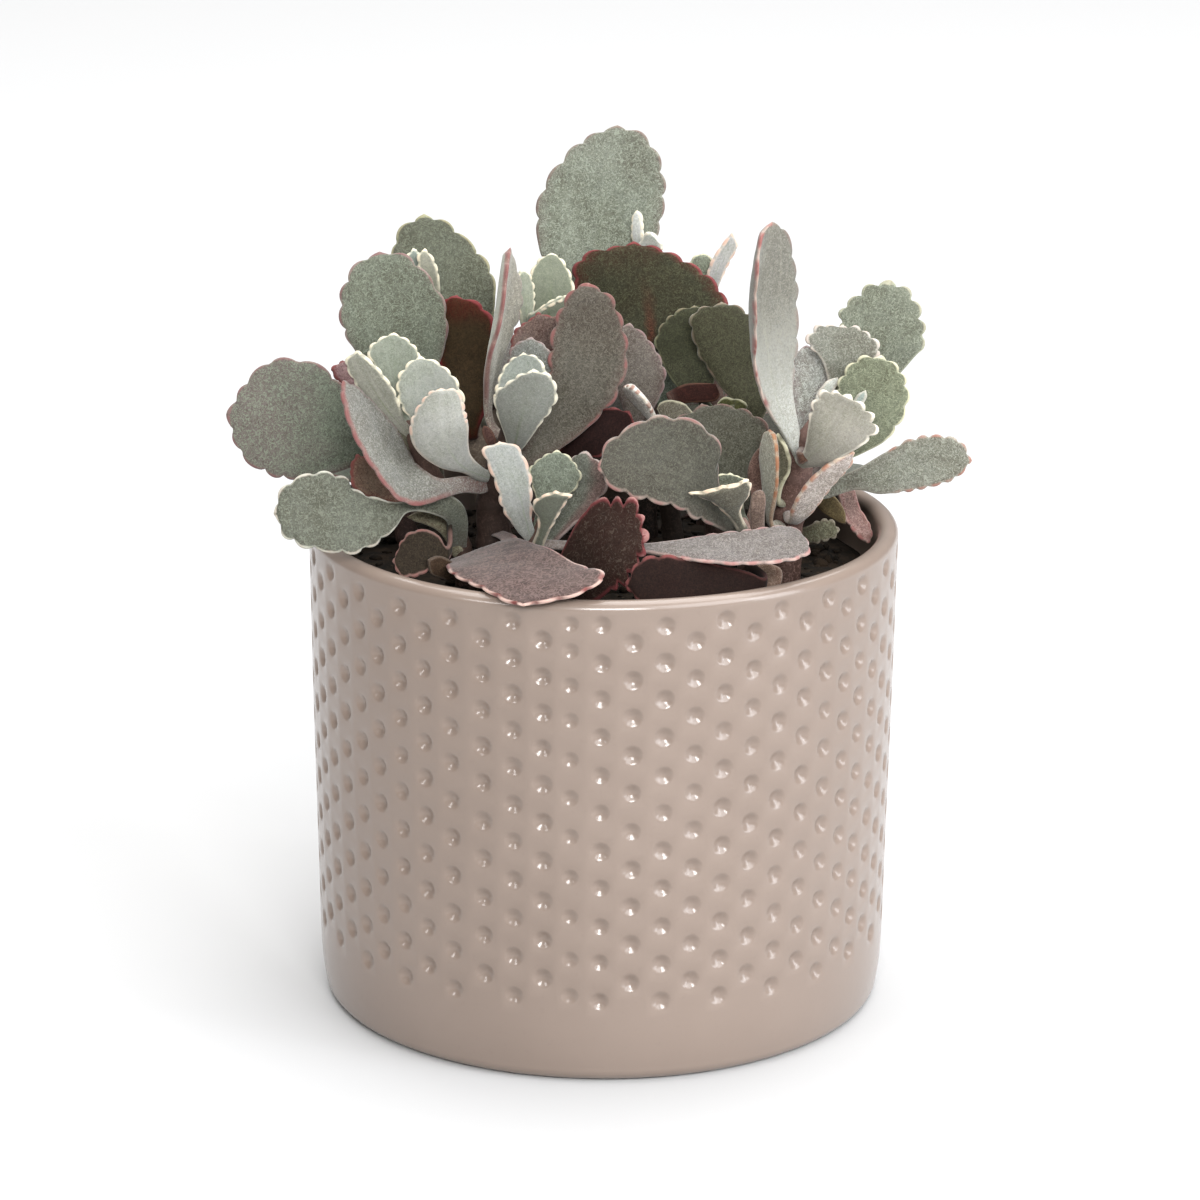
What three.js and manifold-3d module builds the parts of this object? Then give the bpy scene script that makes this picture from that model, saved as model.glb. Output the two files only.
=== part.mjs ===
// Potted flower dust plant: a glazed round pot with a compact clump of thick, scalloped succulent leaves.
// Millimetres, +Z up, origin at the centre of the pot's base.
import * as THREE from "three";
import { mergeVertices } from "three/addons/utils/BufferGeometryUtils.js";
import Module from "manifold-3d";

const wasm = await Module();
wasm.setup();

// ---- driving dimensions ----
const POT_HEIGHT = 100; // foot to the top of the lip
const RIM_RADIUS = 60; // outside of the lip
const FOOT_WALL_RADIUS = 58.2; // where the straight wall would meet the ground
const LIP_THICKNESS = 4.1;
const FOOT_CURVE_HEIGHT = 12; // the wall turns in over this height
const FOOT_CURVE_IN = 1.9;
const FOOT_FILLET = 3;
const FLOOR_THICKNESS = 6;
const SOIL_TOP = 90;
const GAP = 0.3; // clearance between separate pieces
const POT_SEGMENTS = 60;
const LEAF_AROUND = 8; // points round a leaf's section
const LEAF_ALONG = 7; // sections from base to tip
const LEAF_UPPER_SHARE = 0.3; // how much of the thickness lies above the margin

// ---- leaf table ----
// s: points along the leaf's middle line, v: direction across the blade at those points, f: which way the face looks,
// R and L: half widths on either side as [share of the length, mm], c: how much the blade is cupped on either side, h: thickness.
const LEAVES = [
  {n:"leaf_top_back",g:"",k:"sage",s:[[8.48,27.49,137.93],[-0.21,27.15,139.29],[-0.93,31.15,156.37],[2.26,33.06,174.45]],v:[[0.999,0.012,0.041],[0.999,0.012,0.041],[0.998,-0.02,-0.067],[0.984,-0.051,-0.169]],f:-1,R:[[0.0,1.3],[0.125,1.35],[0.208,1.3],[0.251,3.82],[0.332,7.81],[0.424,10.77],[0.579,12.27],[0.734,12.34],[0.844,10.97],[0.922,8.93],[0.98,5.65],[0.996,2.75],[1.0,0.0]],L:[[0.0,1.3],[0.125,1.35],[0.208,1.3],[0.239,3.26],[0.312,7.62],[0.397,11.69],[0.505,12.91],[0.614,12.95],[0.71,11.59],[0.816,9.01],[0.914,5.95],[0.967,2.88],[1.0,0.0]],c:[0.08, 0.08],h:1.7},
  {n:"leaf_dark_back",g:"",k:"dark",s:[[8.49,26.06,127.16],[9.3,17.0,130.75],[8.83,20.0,141.0],[5.88,23.0,152.27]],v:[[0.999,0.012,0.041],[0.999,0.012,0.041],[0.988,0.044,0.145],[0.969,0.071,0.235]],f:1,R:[[0.0,1.3],[0.186,1.35],[0.31,1.3],[0.316,4.53],[0.384,10.32],[0.489,14.85],[0.574,16.06],[0.68,13.66],[0.785,9.99],[0.915,4.8],[1.0,0.0]],L:[[0.0,1.3],[0.186,1.35],[0.31,1.3],[0.348,5.31],[0.46,10.22],[0.701,13.25],[0.915,13.73],[0.996,10.41],[1.0,5.43],[1.0,0.0]],c:[0.08, 0.08],h:1.7},
  {n:"leaf_small_back_a",g:"shoot_back_center",k:"mint",s:[[-14.14,8.0,135.78],[-12.19,10.0,136.51],[-11.0,11.0,145.04],[-10.84,13.0,152.07]],v:[[0.99,-0.04,-0.134],[0.99,-0.04,-0.134],[0.996,-0.024,-0.082],[1.0,-0.006,-0.021]],f:-1,R:[[0.0,1.3],[0.167,1.3],[0.338,2.58],[0.56,4.42],[0.715,4.36],[0.873,2.88],[0.97,1.44],[1.0,0.0]],L:[[0.0,1.3],[0.167,1.3],[0.277,2.18],[0.484,3.8],[0.715,4.39],[0.895,3.22],[0.977,1.41],[1.0,0.0]],c:[0.15, 0.15],h:1.7},
  {n:"leaf_small_back_b",g:"shoot_back_center",k:"mint",s:[[-14.17,8.0,136.37],[-15.61,7.61,137.47],[-16.41,6.58,143.94],[-16.82,6.49,150.17]],v:[[0.806,0.56,0.19],[0.806,0.56,0.19],[0.813,0.568,0.127],[0.818,0.572,0.061]],f:-1,R:[[0.0,1.3],[0.136,1.3],[0.391,1.79],[0.682,2.34],[0.912,1.61],[1.0,0.0]],L:[[0.0,1.3],[0.136,1.3],[0.418,1.77],[0.691,2.28],[0.933,1.29],[1.0,0.0]],c:[0.2, 0.2],h:1.7},
  {n:"leaf_small_back_c",g:"shoot_back_center",k:"mint",s:[[-14.17,8.0,136.37],[-14.55,4.4,140.73],[-11.5,2.45,143.89],[-7.47,2.5,145.76]],v:[[0.489,-0.449,-0.748],[0.489,-0.449,-0.748],[0.392,-0.53,-0.752],[0.351,-0.575,-0.739]],f:-1,R:[[0.0,1.3],[0.23,1.35],[0.383,1.3],[0.577,0.5],[0.753,0.5],[0.917,0.5],[1.0,0.0]],L:[[0.0,1.3],[0.23,1.35],[0.383,1.3],[0.478,0.5],[0.739,0.5],[0.917,0.5],[1.0,0.0]],c:[0.08, 0.08],h:1.7},
  {n:"leaf_upper_left_back",g:"",k:"sage2",s:[[-30.99,4.87,130.02],[-28.75,12.0,132.58],[-32.31,16.0,145.86],[-36.85,19.0,158.3]],v:[[0.969,0.072,0.237],[0.969,0.072,0.237],[0.957,0.084,0.278],[0.942,0.097,0.321]],f:-1,R:[[0.0,1.3],[0.137,1.35],[0.229,1.3],[0.253,3.37],[0.336,6.41],[0.452,8.44],[0.582,9.12],[0.686,8.23],[0.821,5.9],[0.94,3.12],[1.0,0.0]],L:[[0.0,1.3],[0.137,1.35],[0.229,1.3],[0.328,3.55],[0.512,7.23],[0.72,9.02],[0.877,8.38],[0.966,5.83],[1.0,2.77],[1.0,0.0]],c:[0.08, 0.08],h:1.7},
  {n:"leaf_tip_upper_a",g:"shoot_back_left",k:"mint",s:[[-34.47,5.87,142.78],[-36.29,8.0,145.15],[-38.25,7.0,149.92],[-38.83,7.0,154.25]],v:[[0.909,0.122,0.4],[0.909,0.122,0.4],[0.957,0.086,0.276],[0.99,0.042,0.131]],f:-1,R:[[0.0,1.3],[0.281,1.3],[0.518,1.88],[0.814,1.78],[0.961,0.95],[1.0,0.0]],L:[[0.0,1.3],[0.281,1.3],[0.518,1.47],[0.732,1.67],[0.9,1.36],[1.0,0.0]],c:[0.2, 0.2],h:1.7},
  {n:"leaf_tip_upper_b",g:"shoot_back_left",k:"mint",s:[[-34.47,5.87,142.78],[-34.6,6.0,144.79],[-35.34,5.0,149.97],[-36.33,5.0,154.7]],v:[[0.987,0.051,0.151],[0.987,0.051,0.151],[0.983,0.057,0.177],[0.977,0.063,0.203]],f:-1,R:[[0.0,1.3],[0.167,1.3],[0.349,1.55],[0.579,1.59],[0.824,1.18],[1.0,0.0]],L:[[0.0,1.3],[0.167,1.3],[0.446,1.34],[0.709,2.01],[0.929,1.64],[1.0,0.0]],c:[0.2, 0.2],h:1.7},
  {n:"leaf_round_left",g:"",k:"sage2",s:[[-38.18,-21.69,123.54],[-40.78,-3.87,125.17],[-42.29,-3.54,140.99],[-45.04,-2.25,155.22]],v:[[0.995,0.031,0.094],[0.995,0.031,0.094],[0.989,0.044,0.138],[0.981,0.057,0.185]],f:-1,R:[[0.0,1.3],[0.229,1.35],[0.381,1.3],[0.423,4.24],[0.509,7.84],[0.619,9.97],[0.723,10.7],[0.81,9.89],[0.915,7.3],[0.979,4.27],[1.0,0.0]],L:[[0.0,1.3],[0.229,1.35],[0.381,1.3],[0.489,4.35],[0.609,8.24],[0.735,10.13],[0.836,9.65],[0.921,7.56],[0.982,4.04],[1.0,0.0]],c:[0.08, 0.08],h:1.7},
  {n:"leaf_maroon_left",g:"",k:"dark",s:[[-27.34,5.29,116.51],[-26.75,-2.0,118.52],[-28.86,2.0,131.46],[-29.92,5.0,144.84]],v:[[0.988,0.044,0.147],[0.988,0.044,0.147],[0.993,0.033,0.111],[0.997,0.022,0.074]],f:1,R:[[0.0,1.3],[0.137,1.35],[0.229,1.3],[0.368,4.05],[0.56,6.5],[0.799,7.24],[0.923,5.28],[0.973,2.56],[1.0,0.0]],L:[[0.0,1.3],[0.137,1.35],[0.229,1.3],[0.402,3.54],[0.625,4.42],[0.849,4.0],[0.988,2.46],[1.0,0.0]],c:[0.08, 0.08],h:1.7},
  {n:"leaf_edge_left",g:"",k:"paleside",s:[[-19.51,-18.84,120.73],[-23.05,-12.0,124.87],[-21.53,-12.5,138.13],[-19.95,-12.0,148.21],[-18.72,-9.0,157.67]],v:[[0.359,0.933,-0.005],[0.359,0.933,-0.005],[0.287,0.957,-0.038],[0.189,0.962,-0.198],[0.102,0.944,-0.314]],f:-1,R:[[0.0,1.3],[0.128,1.35],[0.214,1.5],[0.308,2.38],[0.45,4.68],[0.607,7.22],[0.748,8.5],[0.874,7.48],[0.961,4.42],[1.0,0.0]],L:[[0.0,1.3],[0.128,1.35],[0.214,1.5],[0.308,2.38],[0.45,4.68],[0.607,7.22],[0.748,8.5],[0.874,7.48],[0.961,4.42],[1.0,0.0]],c:[0.16, 0.16],h:1.9},
  {n:"leaf_left_large",g:"",k:"sagelilac",s:[[-32.25,-18.22,109.4],[-41.79,-10.0,114.3],[-58.7,-14.0,122.91],[-74.65,-16.0,125.39]],v:[[0.388,0.265,0.883],[0.388,0.265,0.883],[0.261,0.277,0.925],[0.11,0.286,0.952]],f:-1,R:[[0.0,1.3],[0.168,1.35],[0.28,1.3],[0.436,4.7],[0.583,9.03],[0.671,10.98],[0.743,11.96],[0.829,11.7],[0.903,9.0],[0.964,4.58],[1.0,0.0]],L:[[0.0,1.3],[0.168,1.35],[0.28,1.3],[0.408,3.93],[0.512,7.74],[0.628,10.51],[0.783,11.3],[0.903,8.95],[0.964,4.99],[1.0,0.0]],c:[0.08, 0.08],h:1.7},
  {n:"leaf_left_low",g:"",k:"sagepale",s:[[-29.07,-14.0,97.56],[-28.99,-16.46,98.69],[-30.77,-22.38,107.0],[-39.23,-28.35,110.26],[-51.83,-32.15,109.82],[-64.22,-34.73,110.27]],v:[[0.96,0.096,0.264],[0.96,0.096,0.264],[0.599,0.234,0.766],[-0.007,0.285,0.959],[-0.074,0.287,0.955],[-0.025,0.288,0.957]],f:-1,R:[[0.0,1.3],[0.057,1.6],[0.285,3.39],[0.378,1.47],[0.514,0.82],[0.602,2.09],[0.684,4.05],[0.711,6.55],[0.804,7.97],[0.885,7.62],[0.95,5.86],[0.99,2.93],[1.0,0.0]],L:[[0.0,1.3],[0.057,1.6],[0.151,1.51],[0.305,1.38],[0.462,1.17],[0.529,4.06],[0.613,6.36],[0.722,7.79],[0.809,7.33],[0.905,5.9],[0.97,3.74],[1.0,0.0]],c:[0.08, 0.08],h:1.7},
  {n:"leaf_maroon_fold",g:"",k:"dark",s:[[-31.08,-16.65,105.84],[-42.07,-14.0,107.49],[-46.49,-13.0,111.35],[-49.44,-13.0,116.51]],v:[[0.5,0.783,0.371],[0.5,0.783,0.371],[0.535,0.767,0.353],[0.585,0.739,0.334]],f:-1,R:[[0.0,1.3],[0.295,1.35],[0.492,1.3],[0.558,1.64],[0.753,2.2],[0.923,1.39],[1.0,0.0]],L:[[0.0,1.3],[0.295,1.35],[0.492,1.3],[0.615,2.84],[0.716,5.11],[0.816,5.24],[0.954,2.83],[1.0,0.0]],c:[0.08, 0.08],h:1.7},
  {n:"leaf_maroon_bit",g:"",k:"dark",s:[[-38.36,-21.5,124.06],[-44.94,-9.62,124.54],[-49.38,-7.98,129.67],[-52.77,-7.33,134.23]],v:[[0.771,0.184,0.609],[0.771,0.184,0.609],[0.785,0.179,0.593],[0.802,0.173,0.572]],f:-1,R:[[0.0,1.3],[0.314,1.35],[0.523,1.3],[0.649,2.24],[0.82,2.73],[0.954,2.06],[1.0,0.0]],L:[[0.0,1.3],[0.314,1.35],[0.523,1.3],[0.636,1.43],[0.827,2.43],[0.985,2.52],[1.0,0.0]],c:[0.08, 0.08],h:1.7},
  {n:"leaf_side_left",g:"",k:"paleside",s:[[-22.14,-16.15,111.54],[-24.48,-19.51,112.02],[-32.39,-26.1,113.57],[-39.21,-27.92,115.46],[-45.55,-29.5,124.38],[-50.95,-29.0,135.73]],v:[[0.042,0.18,0.983],[0.042,0.18,0.983],[-0.099,0.515,0.851],[0.167,0.865,0.474],[0.414,0.865,0.284],[0.445,0.879,0.171]],f:-1,R:[[0.0,1.3],[0.054,1.35],[0.091,1.6],[0.195,2.16],[0.322,1.86],[0.404,3.89],[0.575,7.37],[0.704,7.1],[0.832,5.56],[0.939,2.92],[1.0,0.0]],L:[[0.0,1.3],[0.054,1.35],[0.091,1.6],[0.2,1.21],[0.315,2.47],[0.444,5.44],[0.519,6.26],[0.668,5.33],[0.821,4.55],[0.961,2.48],[1.0,0.0]],c:[0.1, 0.1],h:1.7},
  {n:"leaf_left_young_a",g:"",k:"pale",s:[[-38.22,-22.22,122.92],[-44.13,-25.15,131.37],[-48.4,-28.06,141.54]],v:[[0.834,-0.184,0.521],[0.884,-0.21,0.418],[0.918,-0.238,0.316]],f:-1,R:[[0.0,1.3],[0.159,1.26],[0.362,2.87],[0.56,3.62],[0.745,2.84],[0.907,1.37],[1.0,0.0]],L:[[0.0,1.3],[0.183,1.35],[0.45,2.0],[0.698,2.99],[0.933,2.99],[1.0,0.0]],c:[0.12, 0.12],h:1.7},
  {n:"leaf_left_young_b",g:"",k:"mint",s:[[-38.71,-21.11,125.09],[-39.77,-17.73,126.25],[-41.31,-17.64,134.18],[-41.7,-16.45,142.22]],v:[[0.98,0.06,0.19],[0.98,0.06,0.19],[0.993,0.037,0.116],[0.999,0.015,0.045]],f:-1,R:[[0.0,1.3],[0.197,1.3],[0.373,1.79],[0.601,4.2],[0.786,5.01],[0.899,3.49],[0.96,1.74],[1.0,0.0]],L:[[0.0,1.3],[0.197,1.3],[0.401,1.53],[0.653,3.46],[0.822,5.25],[0.927,3.62],[0.984,1.6],[1.0,0.0]],c:[0.2, 0.2],h:1.7},
  {n:"leaf_left_young_c",g:"",k:"mint",s:[[-36.41,-21.89,119.37],[-34.81,-23.7,121.29],[-35.31,-24.62,130.89],[-36.06,-24.44,139.33]],v:[[0.998,0.022,0.054],[0.998,0.022,0.054],[0.997,0.025,0.07],[0.996,0.029,0.087]],f:-1,R:[[0.0,1.3],[0.156,1.3],[0.301,4.13],[0.506,7.34],[0.687,7.05],[0.845,5.39],[0.949,2.85],[1.0,0.0]],L:[[0.0,1.3],[0.156,1.3],[0.402,2.85],[0.605,4.93],[0.817,4.92],[0.922,3.32],[0.98,1.81],[1.0,0.0]],c:[0.12, 0.12],h:1.7},
  {n:"leaf_left_young_d",g:"",k:"white",s:[[-21.71,-16.8,113.55],[-24.27,-19.74,114.35],[-28.8,-26.65,118.85],[-31.75,-31.43,126.59],[-31.92,-31.28,134.61]],v:[[0.461,0.248,0.852],[0.461,0.248,0.852],[0.745,0.195,0.639],[0.974,0.073,0.216],[1.0,0.008,0.018]],f:1,R:[[0.0,1.3],[0.077,1.35],[0.129,1.4],[0.397,2.93],[0.688,5.19],[0.903,4.55],[0.992,3.31],[1.0,1.76],[1.0,0.0]],L:[[0.0,1.3],[0.077,1.35],[0.129,1.4],[0.339,1.24],[0.507,4.04],[0.657,6.17],[0.771,6.15],[0.883,4.41],[0.981,2.15],[1.0,0.0]],c:[0.2, 0.2],h:1.7},
  {n:"leaf_centre_a",g:"",k:"lilac",s:[[-18.17,-19.82,125.71],[-15.24,-13.63,127.39],[-14.45,-13.6,134.36],[-14.48,-12.62,140.65]],v:[[0.993,-0.032,-0.113],[0.993,-0.032,-0.113],[0.998,-0.016,-0.056],[1.0,0.002,0.004]],f:-1,R:[[0.0,1.3],[0.212,1.35],[0.353,1.3],[0.414,3.26],[0.572,5.03],[0.789,4.31],[0.921,2.56],[1.0,0.0]],L:[[0.0,1.3],[0.212,1.35],[0.353,1.3],[0.425,2.99],[0.653,4.73],[0.878,4.41],[0.963,2.39],[1.0,0.0]],c:[0.1, 0.1],h:1.7},
  {n:"leaf_centre_b",g:"shoot_center",k:"mint",s:[[-18.56,-19.56,124.17],[-18.1,-20.0,124.71],[-16.7,-21.0,132.11],[-16.15,-19.0,138.93]],v:[[0.98,-0.054,-0.193],[0.98,-0.054,-0.193],[0.99,-0.039,-0.133],[0.997,-0.022,-0.073]],f:-1,R:[[0.0,1.3],[0.075,1.3],[0.46,3.43],[0.749,4.83],[0.928,3.65],[0.987,2.0],[1.0,0.0]],L:[[0.0,1.3],[0.075,1.3],[0.21,3.05],[0.385,4.79],[0.704,4.22],[0.901,2.46],[1.0,0.0]],c:[0.2, 0.2],h:1.7},
  {n:"leaf_centre_c",g:"shoot_center",k:"palegrey",s:[[-19.41,-18.92,121.06],[-18.02,-24.0,120.66],[-16.16,-29.0,129.09],[-14.0,-30.0,138.21]],v:[[0.966,-0.06,-0.249],[0.966,-0.06,-0.249],[0.968,-0.064,-0.244],[0.969,-0.067,-0.236]],f:1,R:[[0.0,1.3],[0.134,1.35],[0.223,1.3],[0.352,2.28],[0.615,4.28],[0.814,5.73],[0.955,4.5],[1.0,2.41],[1.0,0.0]],L:[[0.0,1.3],[0.134,1.35],[0.223,1.3],[0.377,2.5],[0.588,5.27],[0.709,6.12],[0.826,4.6],[0.932,2.42],[1.0,0.0]],c:[0.2, 0.2],h:1.7},
  {n:"leaf_big_right",g:"",k:"purplegrey",s:[[-21.27,-17.31,115.32],[-16.76,-17.22,115.16],[-7.87,-15.41,131.78],[-3.41,-11.25,150.97]],v:[[0.879,-0.137,-0.457],[0.879,-0.137,-0.457],[0.938,-0.1,-0.333],[0.975,-0.064,-0.211]],f:-1,R:[[0.0,1.3],[0.072,1.35],[0.12,1.3],[0.222,3.22],[0.375,6.72],[0.503,9.01],[0.608,10.48],[0.734,10.28],[0.844,8.46],[0.955,5.33],[0.995,2.5],[1.0,0.0]],L:[[0.0,1.3],[0.072,1.35],[0.12,1.3],[0.214,1.94],[0.363,2.6],[0.516,3.14],[0.684,4.65],[0.835,4.76],[0.927,3.53],[0.982,2.04],[1.0,0.0]],c:[0.08, 0.08],h:1.7},
  {n:"leaf_maroon_centre",g:"",k:"dark",s:[[-13.82,8.0,128.04],[-16.21,-4.0,129.91],[-15.43,-3.0,136.28],[-13.45,-2.0,143.27]],v:[[0.993,-0.034,-0.115],[0.993,-0.034,-0.115],[0.979,-0.058,-0.194],[0.962,-0.078,-0.262]],f:-1,R:[[0.0,1.3],[0.29,1.35],[0.483,1.3],[0.612,3.89],[0.852,5.8],[1.0,4.96],[1.0,2.48],[1.0,0.0]],L:[[0.0,1.3],[0.29,1.35],[0.483,1.3],[0.61,2.57],[0.736,3.55],[0.83,3.24],[0.911,1.59],[1.0,0.0]],c:[0.08, 0.08],h:1.7},
  {n:"leaf_lilac_right",g:"",k:"lilac2",s:[[8.65,-5.17,121.52],[6.41,-1.33,119.38],[6.33,-0.07,130.11],[5.06,2.95,139.95]],v:[[1.0,0.002,0.006],[1.0,0.002,0.006],[0.998,0.018,0.062],[0.992,0.036,0.118]],f:-1,R:[[0.0,1.3],[0.123,1.35],[0.205,1.3],[0.323,3.2],[0.458,4.96],[0.598,5.85],[0.747,4.81],[0.895,2.69],[1.0,0.0]],L:[[0.0,1.3],[0.123,1.35],[0.205,1.3],[0.38,2.89],[0.622,5.04],[0.864,4.56],[0.973,2.53],[1.0,0.0]],c:[0.08, 0.08],h:1.7},
  {n:"leaf_shadow",g:"",k:"dark",s:[[-22.37,-15.73,110.2],[-11.84,-12.0,111.7],[-2.85,-14.0,120.16],[4.69,-13.0,125.71]],v:[[0.643,-0.218,-0.734],[0.643,-0.218,-0.734],[0.622,-0.224,-0.75],[0.596,-0.232,-0.769]],f:-1,R:[[0.0,1.3],[0.206,1.35],[0.343,1.3],[0.556,1.47],[0.717,3.83],[0.874,3.83],[0.986,2.64],[1.0,0.0]],L:[[0.0,1.3],[0.206,1.35],[0.343,1.3],[0.502,2.65],[0.727,3.59],[0.902,3.33],[1.0,0.0]],c:[0.08, 0.08],h:1.7},
  {n:"leaf_edge_small",g:"",k:"greyedge",s:[[9.64,-5.87,119.86],[10.34,-10.0,121.87],[7.48,-12.0,126.91],[4.46,-13.0,131.05]],v:[[0.545,-0.838,-0.024],[0.545,-0.838,-0.024],[0.513,-0.857,0.049],[0.468,-0.874,0.133]],f:-1,R:[[0.0,1.3],[0.178,1.35],[0.297,1.0],[0.381,1.12],[0.508,2.2],[0.648,3.4],[0.775,4.0],[0.887,3.52],[0.965,2.08],[1.0,0.0]],L:[[0.0,1.3],[0.178,1.35],[0.297,1.0],[0.381,1.12],[0.508,2.2],[0.648,3.4],[0.775,4.0],[0.887,3.52],[0.965,2.08],[1.0,0.0]],c:[0.08, 0.08],h:1.7},
  {n:"leaf_front_upright",g:"",k:"white",s:[[-13.43,-30.27,103.19],[-14.33,-31.0,104.61],[-16.82,-35.0,115.5],[-20.31,-36.0,125.24]],v:[[0.965,0.079,0.249],[0.965,0.079,0.249],[0.95,0.092,0.298],[0.933,0.105,0.345]],f:-1,R:[[0.0,1.3],[0.082,1.3],[0.256,1.07],[0.492,2.14],[0.703,3.33],[0.881,3.12],[0.957,1.93],[1.0,0.0]],L:[[0.0,1.3],[0.082,1.3],[0.206,2.41],[0.444,3.83],[0.682,3.73],[0.873,3.68],[0.996,3.58],[1.0,1.89],[1.0,0.0]],c:[0.08, 0.08],h:1.7},
  {n:"leaf_front_small_a",g:"shoot_front",k:"green",s:[[-12.49,-30.76,106.22],[-12.57,-31.0,107.49],[-10.24,-30.0,115.19],[-9.29,-28.0,121.57]],v:[[0.957,-0.084,-0.279],[0.957,-0.084,-0.279],[0.975,-0.064,-0.213],[0.99,-0.04,-0.133]],f:-1,R:[[0.0,1.3],[0.089,1.3],[0.384,2.59],[0.586,4.43],[0.732,5.32],[0.89,3.59],[0.967,1.86],[1.0,0.0]],L:[[0.0,1.3],[0.089,1.3],[0.308,1.78],[0.535,3.86],[0.74,4.82],[0.882,3.12],[0.951,1.48],[1.0,0.0]],c:[0.1, 0.1],h:1.7},
  {n:"leaf_front_small_b",g:"shoot_front",k:"whitegreen",s:[[-13.73,-30.02,102.34],[-13.31,-33.37,102.85],[-11.52,-36.34,109.82],[-9.36,-38.27,116.25]],v:[[0.957,-0.077,-0.279],[0.957,-0.077,-0.279],[0.946,-0.088,-0.311],[0.934,-0.098,-0.343]],f:1,R:[[0.0,1.3],[0.197,1.3],[0.397,1.41],[0.693,2.08],[0.951,2.81],[1.0,3.2],[1.0,0.0]],L:[[0.0,1.3],[0.197,1.3],[0.461,0.91],[0.627,1.48],[0.693,3.11],[0.778,3.22],[0.887,2.01],[1.0,0.0]],c:[0.25, 0.25],h:1.7},
  {n:"leaf_front_small_c",g:"",k:"greenpurple",s:[[-14.42,-29.28,100.63],[-12.39,-29.0,101.59],[-5.72,-27.0,110.3],[-3.6,-24.0,120.13]],v:[[0.711,-0.566,-0.417],[0.711,-0.566,-0.417],[0.82,-0.516,-0.249],[0.888,-0.456,-0.049]],f:-1,R:[[0.0,1.3],[0.101,1.3],[0.275,1.51],[0.484,2.55],[0.642,4.47],[0.777,5.98],[0.886,5.12],[0.956,2.43],[1.0,0.0]],L:[[0.0,1.3],[0.101,1.3],[0.261,1.6],[0.466,2.89],[0.711,2.78],[0.886,3.01],[0.97,2.05],[1.0,0.0]],c:[0.08, 0.08],h:2.0},
  {n:"leaf_front_right_round",g:"",k:"sagegrey",s:[[28.28,-25.37,101.2],[28.85,-23.75,103.01],[16.81,-33.35,116.27],[-1.02,-38.38,121.16]],v:[[0.493,0.431,0.756],[0.493,0.431,0.756],[0.251,0.51,0.823],[0.064,0.567,0.821]],f:-1,R:[[0.0,1.3],[0.057,1.35],[0.095,1.3],[0.218,0.9],[0.347,2.08],[0.445,4.73],[0.49,9.46],[0.565,11.48],[0.66,11.99],[0.773,11.26],[0.889,8.27],[0.978,4.35],[1.0,0.0]],L:[[0.0,1.3],[0.057,1.35],[0.095,1.3],[0.232,3.04],[0.459,5.25],[0.716,5.46],[0.863,4.71],[0.956,2.79],[1.0,0.0]],c:[0.08, 0.08],h:1.7},
  {n:"leaf_grey_right",g:"",k:"greypurple",s:[[36.59,-11.06,102.73],[30.14,-12.64,105.89],[25.2,-11.66,116.61],[19.73,-8.78,125.96]],v:[[0.906,0.121,0.406],[0.906,0.121,0.406],[0.89,0.131,0.436],[0.873,0.141,0.467]],f:-1,R:[[0.0,1.3],[0.148,1.35],[0.246,1.3],[0.41,2.82],[0.584,7.72],[0.704,9.08],[0.836,6.83],[0.938,3.32],[1.0,0.0]],L:[[0.0,1.3],[0.148,1.35],[0.246,1.3],[0.422,4.02],[0.674,7.96],[0.92,9.44],[1.0,8.55],[1.0,4.52],[1.0,0.0]],c:[0.08, 0.08],h:1.7},
  {n:"leaf_cup_front",g:"shoot_right_front",k:"cup",s:[[27.91,-26.1,104.48],[27.71,-28.0,104.83],[25.12,-33.0,111.14],[22.98,-37.0,117.1]],v:[[0.884,0.115,0.454],[0.884,0.115,0.454],[0.899,0.107,0.425],[0.914,0.099,0.394]],f:1,R:[[0.0,1.3],[0.119,1.3],[0.417,1.26],[0.577,2.11],[0.702,4.85],[0.865,5.21],[0.918,2.96],[1.0,0.0]],L:[[0.0,1.3],[0.119,1.3],[0.403,1.03],[0.76,2.49],[0.93,4.58],[1.0,6.54],[1.0,4.43],[1.0,2.52],[1.0,0.0]],c:[0.25, 0.25],h:1.7},
  {n:"leaf_cup_back",g:"shoot_right_front",k:"green",s:[[27.47,-26.76,106.66],[26.55,-25.18,108.55],[25.24,-27.15,113.19],[24.79,-27.18,116.87]],v:[[0.951,0.077,0.3],[0.951,0.077,0.3],[0.974,0.057,0.219],[0.992,0.033,0.119]],f:-1,R:[[0.0,1.3],[0.236,1.3],[0.445,1.85],[0.693,3.44],[0.877,3.04],[1.0,0.0]],L:[[0.0,1.3],[0.236,1.3],[0.606,1.81],[0.853,3.7],[1.0,3.15],[1.0,0.0]],c:[0.15, 0.15],h:1.7},
  {n:"leaf_pink_back",g:"shoot_right_front",k:"pink",s:[[28.22,-25.51,101.87],[30.66,-14.29,108.02],[29.98,-13.73,114.08],[31.32,-13.22,118.92]],v:[[0.993,0.031,0.11],[0.993,0.031,0.11],[0.998,-0.019,-0.059],[0.962,-0.079,-0.261]],f:-1,R:[[0.0,1.3],[0.326,1.35],[0.544,1.3],[0.703,1.53],[0.917,1.36],[1.0,0.0]],L:[[0.0,1.3],[0.326,1.35],[0.544,1.3],[0.662,1.43],[0.805,1.23],[0.937,0.74],[1.0,0.0]],c:[0.08, 0.08],h:1.7},
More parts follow.
